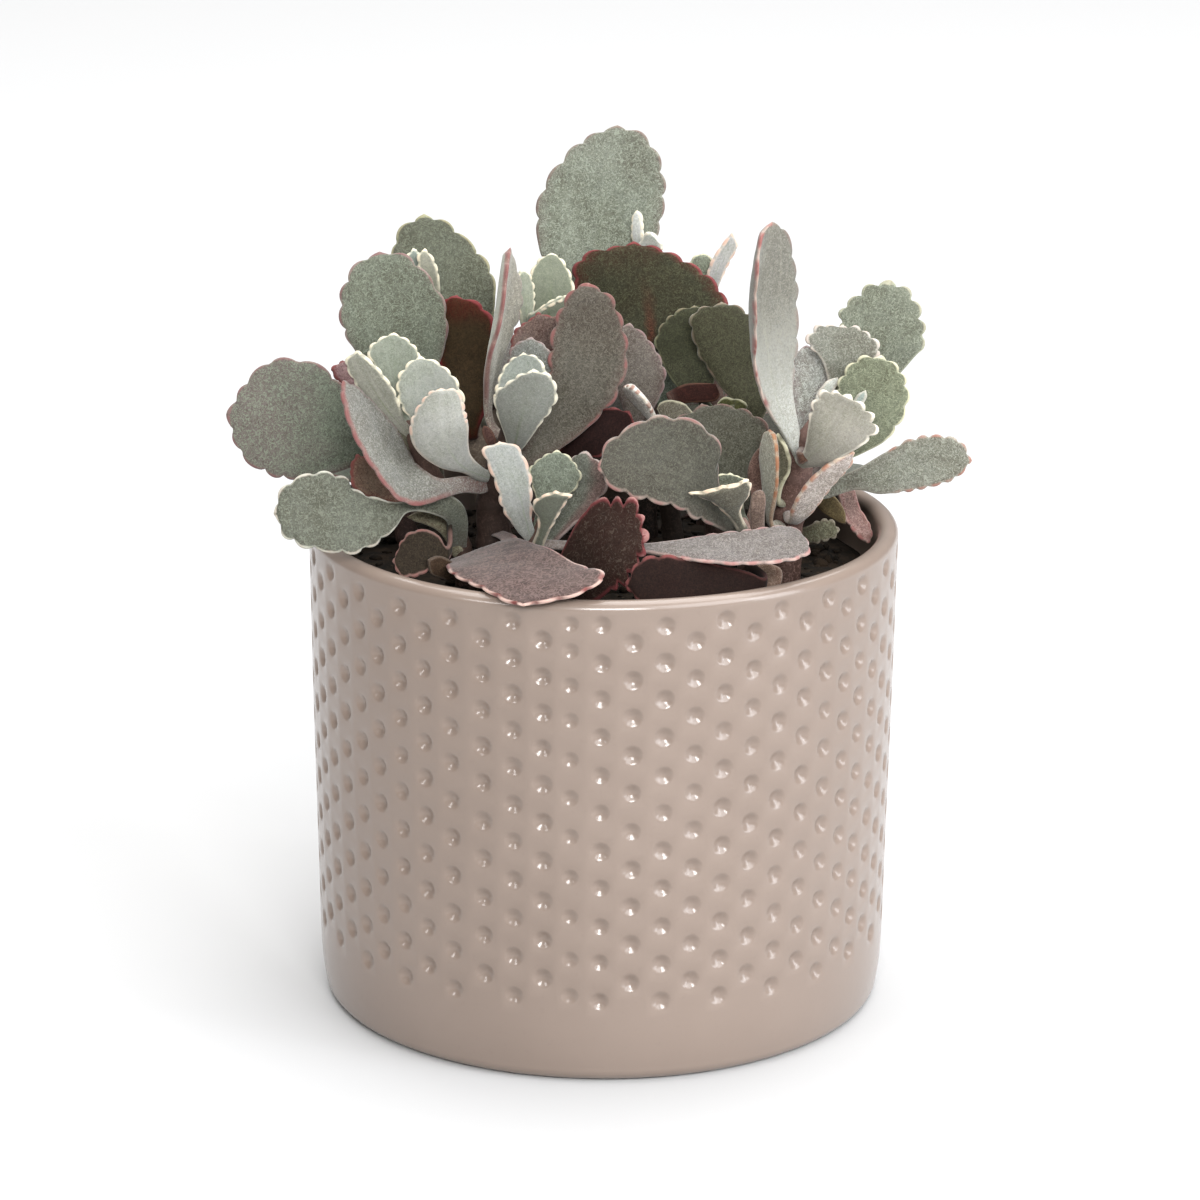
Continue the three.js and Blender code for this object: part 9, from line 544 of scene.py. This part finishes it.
def stem_material(name, base, tip, seed):
    m, nt, nodes, links, bsdf = new_mat(name)
    tc = node(nt, "ShaderNodeTexCoord").outputs["Object"]
    un = attr(nt, "un"); ph = attr(nt, "ph")
    n1 = noise_(nt, tc, 1500.0, 3.0, 0.6); n2 = noise_(nt, tc, 260.0, 3.0, 0.55)
    b, t = lin(base), lin(tip)
    col = mix_(nt, ramp_(nt, math_(nt, "ADD", un, math_(nt, "MULTIPLY", math_(nt, "SUBTRACT", n2, 0.5), 0.6)), 0.15, 0.95), b, t)
    col = mix_(nt, math_(nt, "MULTIPLY", ramp_(nt, n2, 0.58, 0.40), 0.5), col, (0.62, 0.55, 0.52), "MULTIPLY")
    col = mix_(nt, math_(nt, "MULTIPLY", ramp_(nt, n1, 0.50, 0.70), 0.5), col, mul(t, 1.35))
    hA = noise_(nt, tc, 700.0, 2.0, 0.55, 0.5)
    col = mix_(nt, math_(nt, "MULTIPLY", ramp_(nt, math_(nt, "ABSOLUTE", math_(nt, "SUBTRACT", hA, 0.5)), 0.03, 0.005), 0.35), col, mul(t, 1.9))
    col = mix_(nt, math_(nt, "MULTIPLY", ph, 0.5), col, mul(b, 0.7))
    links.new(col, bsdf.inputs["Base Color"]); bsdf.inputs["Roughness"].default_value = 0.7; bsdf.inputs["Specular IOR Level"].default_value = 0.25
    bump = node(nt, "ShaderNodeBump"); bump.inputs["Strength"].default_value = 0.5; bump.inputs["Distance"].default_value = 0.0002
    links.new(math_(nt, "ADD", n1, n2), bump.inputs["Height"]); links.new(bump.outputs[0], bsdf.inputs["Normal"])
    return m

def pot_material():
    m, nt, nodes, links, bsdf = new_mat("m_pot_glaze")
    tc = node(nt, "ShaderNodeTexCoord").outputs["Object"]
    n1 = noise_(nt, tc, 14.0, 2.0, 0.5); n2 = noise_(nt, tc, 900.0, 2.0, 0.5); n3 = noise_(nt, tc, 70.0, 3.0, 0.5)
    deep = attr(nt, "deep")
    col = mix_(nt, ramp_(nt, n1, 0.35, 0.65), POT_A, POT_B)
    col = mix_(nt, math_(nt, "MULTIPLY", ramp_(nt, n3, 0.4, 0.7), 0.18), col, POT_C)
    col = mix_(nt, math_(nt, "MULTIPLY", ramp_(nt, n2, 0.60, 0.76), 0.07), col, POT_D)
    # darker towards the bottom of each dimple (the deep attribute): partly glaze pooling, partly painted shade in the
    # hollows
    col = mix_(nt, math_(nt, "MULTIPLY", deep, 0.10), col, POT_D)
    links.new(col, bsdf.inputs["Base Color"])
    bsdf.inputs["Roughness"].default_value = 0.55; bsdf.inputs["Specular IOR Level"].default_value = 0.25
    bsdf.inputs["Coat Weight"].default_value = 0.9; bsdf.inputs["Coat Roughness"].default_value = 0.19; bsdf.inputs["Coat IOR"].default_value = 1.5
    bump = node(nt, "ShaderNodeBump"); bump.inputs["Strength"].default_value = 0.12; bump.inputs["Distance"].default_value = 0.0003
    links.new(noise_(nt, tc, 240.0, 2.0, 0.5), bump.inputs["Height"]); links.new(bump.outputs[0], bsdf.inputs["Normal"])
    return m
POT_A, POT_B, POT_C, POT_D = (0.205, 0.155, 0.125), (0.218, 0.166, 0.135), (0.240, 0.185, 0.151), (0.135, 0.096, 0.075)

def soil_material():
    m, nt, nodes, links, bsdf = new_mat("m_soil")
    tc = node(nt, "ShaderNodeTexCoord").outputs["Object"]
    n1 = noise_(nt, tc, 220.0, 5.0, 0.65); n2 = noise_(nt, tc, 1300.0, 3.0, 0.6)
    col = mix_(nt, ramp_(nt, n1, 0.36, 0.66), lin((14, 11, 7)), lin((38, 29, 20)))
    col = mix_(nt, math_(nt, "MULTIPLY", ramp_(nt, n2, 0.6, 0.72), 0.6), col, lin((72, 58, 43)))
    links.new(col, bsdf.inputs["Base Color"]); bsdf.inputs["Roughness"].default_value = 0.95; bsdf.inputs["Specular IOR Level"].default_value = 0.15
    return m

# ------------------------------------------------------------------ pot
H, RT, RF, LIP = 100.0, 60.0, 58.2, 4.1
def wall(z):
    r = RF + (RT - RF) * z / H + 0.15 * math.sin(math.pi * min(max(z / H, 0), 1))
    if z < 12: k = (12 - z) / 12; r -= 1.9 * (1 - math.sqrt(max(0.0, 1 - k * k)))
    return r
NC, PITCH, TOP_ODD, TOP_EVEN = 61, 7.78, 95.55, 91.66
CW = 360.0 / NC
# dimple columns that differ from the regular lattice: turn of the column (degrees) and the offsets of its dimples (mm)
COLUMN = {
  -8: (0.0, [-0.8, -0.7, -0.6, -0.5, -0.5, -0.4, -0.4, -0.5, -0.6, -0.8, -0.7]),
  -7: (-0.3, [-0.8, -0.7, -0.6, -0.45, -0.5, -0.4, -0.4, -0.5, -0.8, -0.75]),
  -6: (-0.1, [-0.95, -0.86, -0.7, -0.44, -0.42, -0.3, -0.4, -0.5, -0.7, -0.8, -0.66]),
  -5: (-0.1, [-0.9, -0.7, -0.5, -0.4, 0.0, -0.1, -0.2, -0.2, -0.3, -0.7]),
  -4: (0.0, [-0.87, -0.4, 0.0, 0.1, 0.5, 0.43, 0.46, 0.28, 0.1, 0.0, -0.46]),
  -3: (0.8, [-0.15, 0.3, 0.8, 1.06, 1.3, 1.1, 1.1, 0.7, 0.55, 0.1]),
  -2: (0.95, [0.07, 0.43, 0.81, 1.19, 1.47, 1.43, 1.57, 1.28, 1.09, 0.71, 0.21]),
  -1: (0.8, [0.55, 0.93, 1.34, 1.82, 2.18, 2.13, 1.9, 1.32, 0.88, 0.53]),
  0: (0.15, [0.18, 2.52, 3.31, 3.93, 3.67, 3.57, 3.34, 2.69, 2.13, 0.92, 1.04]),
  1: (-0.05, [0.12, 0.11, 0.61, 0.71, 0.58, 0.65, 0.34, 0.57, 0.25, 0.43, 0.0]),
  2: (-0.1, [0.3, 0.49, 0.68, 0.76, 0.77, 0.56, 0.45, 0.51, 0.36, -0.04]),
  3: (0.0, [-0.44, 0.0, 0.24, 0.3, 0.25, 0.3, 0.25, 0.2, 0.0, -0.2, -0.25]),
  4: (0.0, [0.0, 0.2, 0.4, 0.36, 0.23, 0.2, 0.1, 0.0, -0.25, -0.24]),
  5: (0.0, [-0.2, 0.15, 0.5, 0.5, 0.5, 0.3, 0.2, 0.1, -0.2, -0.4, -0.4]),
  6: (0.1, [0.5, 0.6, 0.6, 0.5, 0.4, 0.1, 0.0, -0.2, -0.4, -0.6]),
  7: (0.2, [0.1, 0.4, 0.45, 0.5, 0.25, 0.0, -0.25, -0.3, -0.6, -0.7, -0.65]),
  8: (0.3, [0.5, 0.4, 0.4, 0.25, -0.1, -0.15, -0.35, -0.4, -0.7, -0.55]),
  9: (0.35, [0.0, 0.5, 0.5, 0.2, 0.15, -0.2, -0.4, -0.5, -0.7, -0.9, -0.6]),
  10: (0.35, [0.7, 0.6, 0.7, 0.45, 0.0, -0.2, -0.35, -0.4, -0.4, -0.9]),
}
def pot_mesh():
    rng = np.random.RandomState(21)
    ks = list(range(-30, 31))
    az = [-0.3 + (k - 1) * CW + COLUMN.get(k, (rng.uniform(-0.15, 0.15), 0))[0] for k in ks]
    left = [0.5 * (az[i - 1] - (360 if i == 0 else 0) + az[i]) for i in range(NC)]
    right = [left[(i + 1) % NC] + (360 if i == NC - 1 else 0) for i in range(NC)]
    S = 4 * NC
    ang = [math.radians(left[i // 4] + (right[i // 4] - left[i // 4]) * (i % 4) / 4) for i in range(S)]
    q = PITCH / 6; zb = TOP_ODD - 10 * PITCH - PITCH / 2; ZCAP = H - LIP / 2; NL = 66
    def remap(z): return TOP_ODD + (z - TOP_ODD) * (ZCAP - TOP_ODD) / (PITCH / 2) if z > TOP_ODD else z
    V = []; F = []; deep = []; key = {}
    def put(a, r, z, d=0.0):
        V.append((r * math.sin(a), -r * math.cos(a), z)); deep.append(d); return len(V) - 1
    def vid(ia, line):
        kk = (ia % S, line)
        if kk not in key:
            z = remap(zb + line * q); key[kk] = put(ang[ia % S], wall(z), z)
        return key[kk]
    def strip(ia0, l0, l1):
        for l in range(l0, l1):
            for j in range(4): F.append((vid(ia0 + j, l), vid(ia0 + j + 1, l), vid(ia0 + j + 1, l + 1), vid(ia0 + j, l + 1)))
    for i, k in enumerate(ks):
        odd = (k % 2 == 1) if k >= 1 else (k % 2 == 0)
        zs = [TOP_ODD - PITCH * n for n in range(11)] if odd else [TOP_EVEN - PITCH * n for n in range(10)]
        offs = COLUMN[k][1] if k in COLUMN else [rng.uniform(-0.25, 0.25) for _ in zs]
        zs = [z + o for z, o in zip(zs, offs)]
        idx = [(z - zb) / q for z in zs]
        tops = [min(NL, int(round(idx[0] + 3)))]
        for n in range(1, len(zs)): tops.append(int(round(0.5 * (idx[n - 1] + idx[n]))))
        bots = tops[1:] + [max(0, int(round(idx[-1] - 3)))]
        ia0 = 4 * i
        if tops[0] < NL: strip(ia0, tops[0], NL)
        if bots[-1] > 0: strip(ia0, 0, bots[-1])
        for n, z in enumerate(zs):
            lo, hi = bots[n], tops[n]
            B = [(ia0 + j, lo) for j in range(4)] + [(ia0 + 4, l) for l in range(lo, hi)] + [(ia0 + 4 - j, hi) for j in range(4)] + [(ia0, l) for l in range(hi, lo, -1)]
            border = [vid(a, l) for a, l in B]
            zt, zl = remap(zb + hi * q), remap(zb + lo * q)
            R = 2.18 * rng.uniform(0.95, 1.05) * (0.86 if k == 0 else 0.95 if k == 1 else 1.0)
            a0 = math.radians(az[i]); half = min(math.radians(right[i]) - a0, a0 - math.radians(left[i])) * 59.0
            R = min(R, half - 0.25, max(1.2, zt - z - 0.15), max(1.2, z - zl - 0.15))
            zc = min(max(z, zl + R + 0.1), zt - R - 0.1) if zt - zl > 2 * R + 0.2 else 0.5 * (zt + zl)
            dep = 0.92 * rng.uniform(0.88, 1.08) * (0.85 if k == 0 else 1.0) * (R / 2.18)
            du = rng.uniform(-0.06, 0.06)
            th = []
            for a, l in B:
                jj = a - ia0; aa = math.radians(left[i] + (right[i] - left[i]) * jj / 4)
                th.append(math.atan2(remap(zb + l * q) - zc, (aa - a0) * 59.0 - du))
            prev = border; nb = len(B)
            for rho in (1.0, 0.86, 0.72, 0.56, 0.38, 0.18):
                # soft shoulder, then a round bowl
                d = (1 - rho ** 2) ** 1.6
                ring = []
                for t_ in th:
                    x_ = R * rho * math.cos(t_) + du; z_ = zc + R * rho * math.sin(t_)
                    ring.append(put(a0 + x_ / 59.0, wall(z_) - dep * d, z_, d))
                for m in range(nb): F.append((prev[m], prev[(m + 1) % nb], ring[(m + 1) % nb], ring[m]))
                prev = ring
            ctr = put(a0 + du / 59.0, wall(zc) - dep, zc, 1.0)
            for m in range(nb): F.append((prev[m], prev[(m + 1) % nb], ctr))
    def ring(z, r):
        return [put(ang[ia], r, z) for ia in range(S)]
    def join(lower, upper):
        for i in range(S):
            j = (i + 1) % S; F.append((lower[i], lower[j], upper[j], upper[i]))
    prev = [vid(ia, 0) for ia in range(S)]
    for z_ in (12.6, 11.3, 10, 8.6, 7.2, 6.0, 5.0, 4.0, 3.4):
        cur = ring(z_, wall(z_)); join(cur, prev); prev = cur
    e0 = wall(3.0) - 3.0
    for a_ in range(0, 91, 10):
        t_ = math.radians(a_); cur = ring(3.0 - 3.0 * math.sin(t_), e0 + 3.0 * math.cos(t_)); join(cur, prev); prev = cur
    for r_, z_ in ((51.8, 0.0), (51.0, 0.0), (48.0, 0.0), (30.0, 0.0), (10.0, 0.0)):
        cur = ring(z_, r_); join(cur, prev); prev = cur
    ctr = put(0.0, 0.0, 0.0)
    for i in range(S): F.append((ctr, prev[(i + 1) % S], prev[i]))
    prev = [vid(ia, NL) for ia in range(S)]; lr = LIP / 2
    for a_ in range(10, 181, 10):
        t_ = math.radians(a_); cur = ring(H - lr + lr * math.sin(t_), RT - lr + lr * math.cos(t_)); join(prev, cur); prev = cur
    for z_, r_ in ((96.5, 55.85), (94, 55.7), (91, 55.6), (88, 55.5), (60, 55.3), (20, 54.9), (9, 52.5), (6.2, 48), (6.0, 30)):
        cur = ring(z_, r_); join(prev, cur); prev = cur
    ctr = put(0.0, 0.0, 6.0)
    for i in range(S): F.append((prev[i], prev[(i + 1) % S], ctr))
    V = np.array(V, float)
    # the wall is thrown by hand-like unevenness of a few hundredths
    r = np.hypot(V[:, 0], V[:, 1]); n = vnoise(V, 0.035, 9) * 0.10 + vnoise(V, 0.12, 10) * 0.03
    k = np.where(r > 57, 1 + n / np.maximum(r, 1), 1.0); V[:, 0] *= k; V[:, 1] *= k
    # 'deep' is 0 on the wall and 1 at a dimple's bottom; the glaze darkens with it, partly glaze pooling, partly
    # painted shade
    return V, F, dict(deep=deep)

V, F, A = pot_mesh()
pot = make_object("pot_glazed", V, F, pot_material(), A)
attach(pot, "root"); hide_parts("pot")

# ------------------------------------------------------------------ soil
def soil_build():
    b = Build(); mat = soil_material()
    rng = np.random.RandomState(5)
    nr, na = 40, 120; R = 55.35
    V = []; F = []
    for i in range(1, nr + 1):
        r = R * i / nr
        for k in range(na):
            a = 2 * math.pi * k / na; V.append((r * math.cos(a), r * math.sin(a), 0))
    V = np.array(V)
    z = 89.6 + 0.9 * vnoise(V, 0.12, 3) + 0.5 * vnoise(V, 0.45, 4) + 0.25 * vnoise(V, 1.3, 5)
    rr = np.hypot(V[:, 0], V[:, 1]); z -= 1.2 * np.clip((rr - 48) / 7, 0, 1)
    V[:, 2] = z
    V = np.vstack([V, (0, 0, 89.8)]); top = len(V) - 1
    for i in range(nr - 1):
        for k in range(na): F.append((i * na + k, (i + 1) * na + k, (i + 1) * na + (k + 1) % na, i * na + (k + 1) % na))
    for k in range(na): F.append((top, k, (k + 1) % na))
    # side and bottom
    o = (nr - 1) * na; s0 = len(V)
    V = np.vstack([V, [(54.9 * math.cos(2 * math.pi * k / na), 54.9 * math.sin(2 * math.pi * k / na), 84.0) for k in range(na)], (0, 0, 84.0)])
    for k in range(na): F.append((o + k, s0 + k, s0 + (k + 1) % na, o + (k + 1) % na)); F.append((s0 + na, s0 + (k + 1) % na, s0 + k))
    b.add(V, F, mat, {})
    # crumbs of bark and grit
    ico = [(0, 0, 1), (0.894, 0, 0.447), (0.276, 0.851, 0.447), (-0.724, 0.526, 0.447), (-0.724, -0.526, 0.447), (0.276, -0.851, 0.447), (0.724, 0.526, -0.447), (-0.276, 0.851, -0.447), (-0.894, 0, -0.447), (-0.276, -0.851, -0.447), (0.724, -0.526, -0.447), (0, 0, -1)]
    idx = [(0, 1, 2), (0, 2, 3), (0, 3, 4), (0, 4, 5), (0, 5, 1), (1, 6, 2), (2, 7, 3), (3, 8, 4), (4, 9, 5), (5, 10, 1), (2, 6, 7), (3, 7, 8), (4, 8, 9), (5, 9, 10), (1, 10, 6), (11, 7, 6), (11, 8, 7), (11, 9, 8), (11, 10, 9), (11, 6, 10)]
    ico = np.array(ico)
    for i in range(900):
        r = 54.0 * math.sqrt(rng.rand()); a = rng.rand() * 2 * math.pi
        s = rng.uniform(0.35, 1.3) if i % 9 else rng.uniform(1.2, 2.4)
        P = ico * (1 + 0.35 * rng.uniform(-1, 1, (12, 1))) * s * np.array([1.0, rng.uniform(0.5, 1), rng.uniform(0.3, 0.7)])
        t = rng.rand() * 6.28; ct, st = math.cos(t), math.sin(t)
        P = np.stack([P[:, 0] * ct - P[:, 1] * st, P[:, 0] * st + P[:, 1] * ct, P[:, 2]], -1)
        b.add(P + (r * math.cos(a), r * math.sin(a), 89.6 - 1.2 * max(0, (r - 48) / 7) + 0.2), idx, mat, {})
    return b
sb = soil_build()

# ------------------------------------------------------------------ plant
def lm(i, leaf):
    return leaf_material(leaf["n"], leaf["k"], leaf["col"], i * 37 + 5)
groups = {}
for i, leaf in enumerate(LEAVES):
    mat = lm(i, leaf); small = max(r[1] for r in leaf["R"] + leaf["L"]) < 6
    V, F, A = leaf_mesh(leaf, rings=64 if small else 96, seg=16 if small else 24, seed=i + 1)
    g = leaf.get("g")
    if g == "litter": sb.add(V, F, mat, A); continue
    if g: groups.setdefault(g, []).append((V, F, mat, A)); continue
    b = Build(); b.add(V, F, mat, A); o = b.make(leaf["n"] + "_blade")
    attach(o, "root"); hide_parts(leaf["n"])
soil = sb.make("soil_and_litter")
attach(soil, "root"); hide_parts("soil")
for i, (name, rows) in enumerate(STEMS.items()):
    b = Build(); V, F, A = stem_mesh(rows, seed=i + 3)
    b.add(V, F, stem_material("m_" + name, *STEM_COL.get(name, STEM_COL["default"]), i), A)
    for (V, F, mat, A) in groups.get(name, []): b.add(V, F, mat, A)
    o = b.make(name + "_grown"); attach(o, "root"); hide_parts(name)

# ------------------------------------------------------------------ floor, light
FLOOR = 0.49
def floor_mat():
    m, nt, nodes, links, bsdf = new_mat("m_floor")
    bsdf.inputs["Base Color"].default_value = (FLOOR, FLOOR, FLOOR, 1); bsdf.inputs["Roughness"].default_value = 0.9; bsdf.inputs["Specular IOR Level"].default_value = 0.1
    return m
fl = make_object("floor", [(-6000, -6000, -0.05), (6000, -6000, -0.05), (6000, 6000, -0.05), (-6000, 6000, -0.05)], [(0, 1, 2, 3)], floor_mat(), smooth=False)
world = bpy.data.worlds.new("studio"); bpy.context.scene.world = world; world.use_nodes = True
bg = world.node_tree.nodes["Background"]; bg.inputs[0].default_value = (1.0, 1.0, 1.0, 1); bg.inputs[1].default_value = 0.24
def area(name, loc, target, size, power, color=(1, 1, 1)):
    d = bpy.data.lights.new(name, "AREA"); d.shape = "RECTANGLE"; d.size, d.size_y = size; d.energy = power; d.color = color
    o = bpy.data.objects.new(name, d); bpy.context.scene.collection.objects.link(o)
    o.location = loc; o.rotation_euler = (Vector(target) - Vector(loc)).to_track_quat("-Z", "Y").to_euler()
    return o
area("side", (1.42, -0.56, 0.50), (0, 0, 0.09), (0.55, 1.0), 12.0, (0.96, 0.99, 1.03))
area("key", (1.00, -0.98, 1.10), (0, 0, 0.1), (1.1, 1.1), 21.0, (0.97, 0.99, 1.02))
area("front", (0.12, -1.42, 0.88), (0, 0, 0.08), (0.62, 0.40), 22.0, (1.0, 1.0, 1.0))
area("left", (-1.15, -1.05, 0.80), (0, 0, 0.08), (0.40, 0.32), 5.0, (1.0, 1.0, 1.0))
area("top", (0.1, 0.9, 2.2), (0.0, 0.9, 0.0), (2.6, 3.0), 114.0, (1.0, 1.0, 1.0))
bpy.context.scene.view_settings.view_transform = "Standard"
bpy.context.scene.view_settings.look = "None"
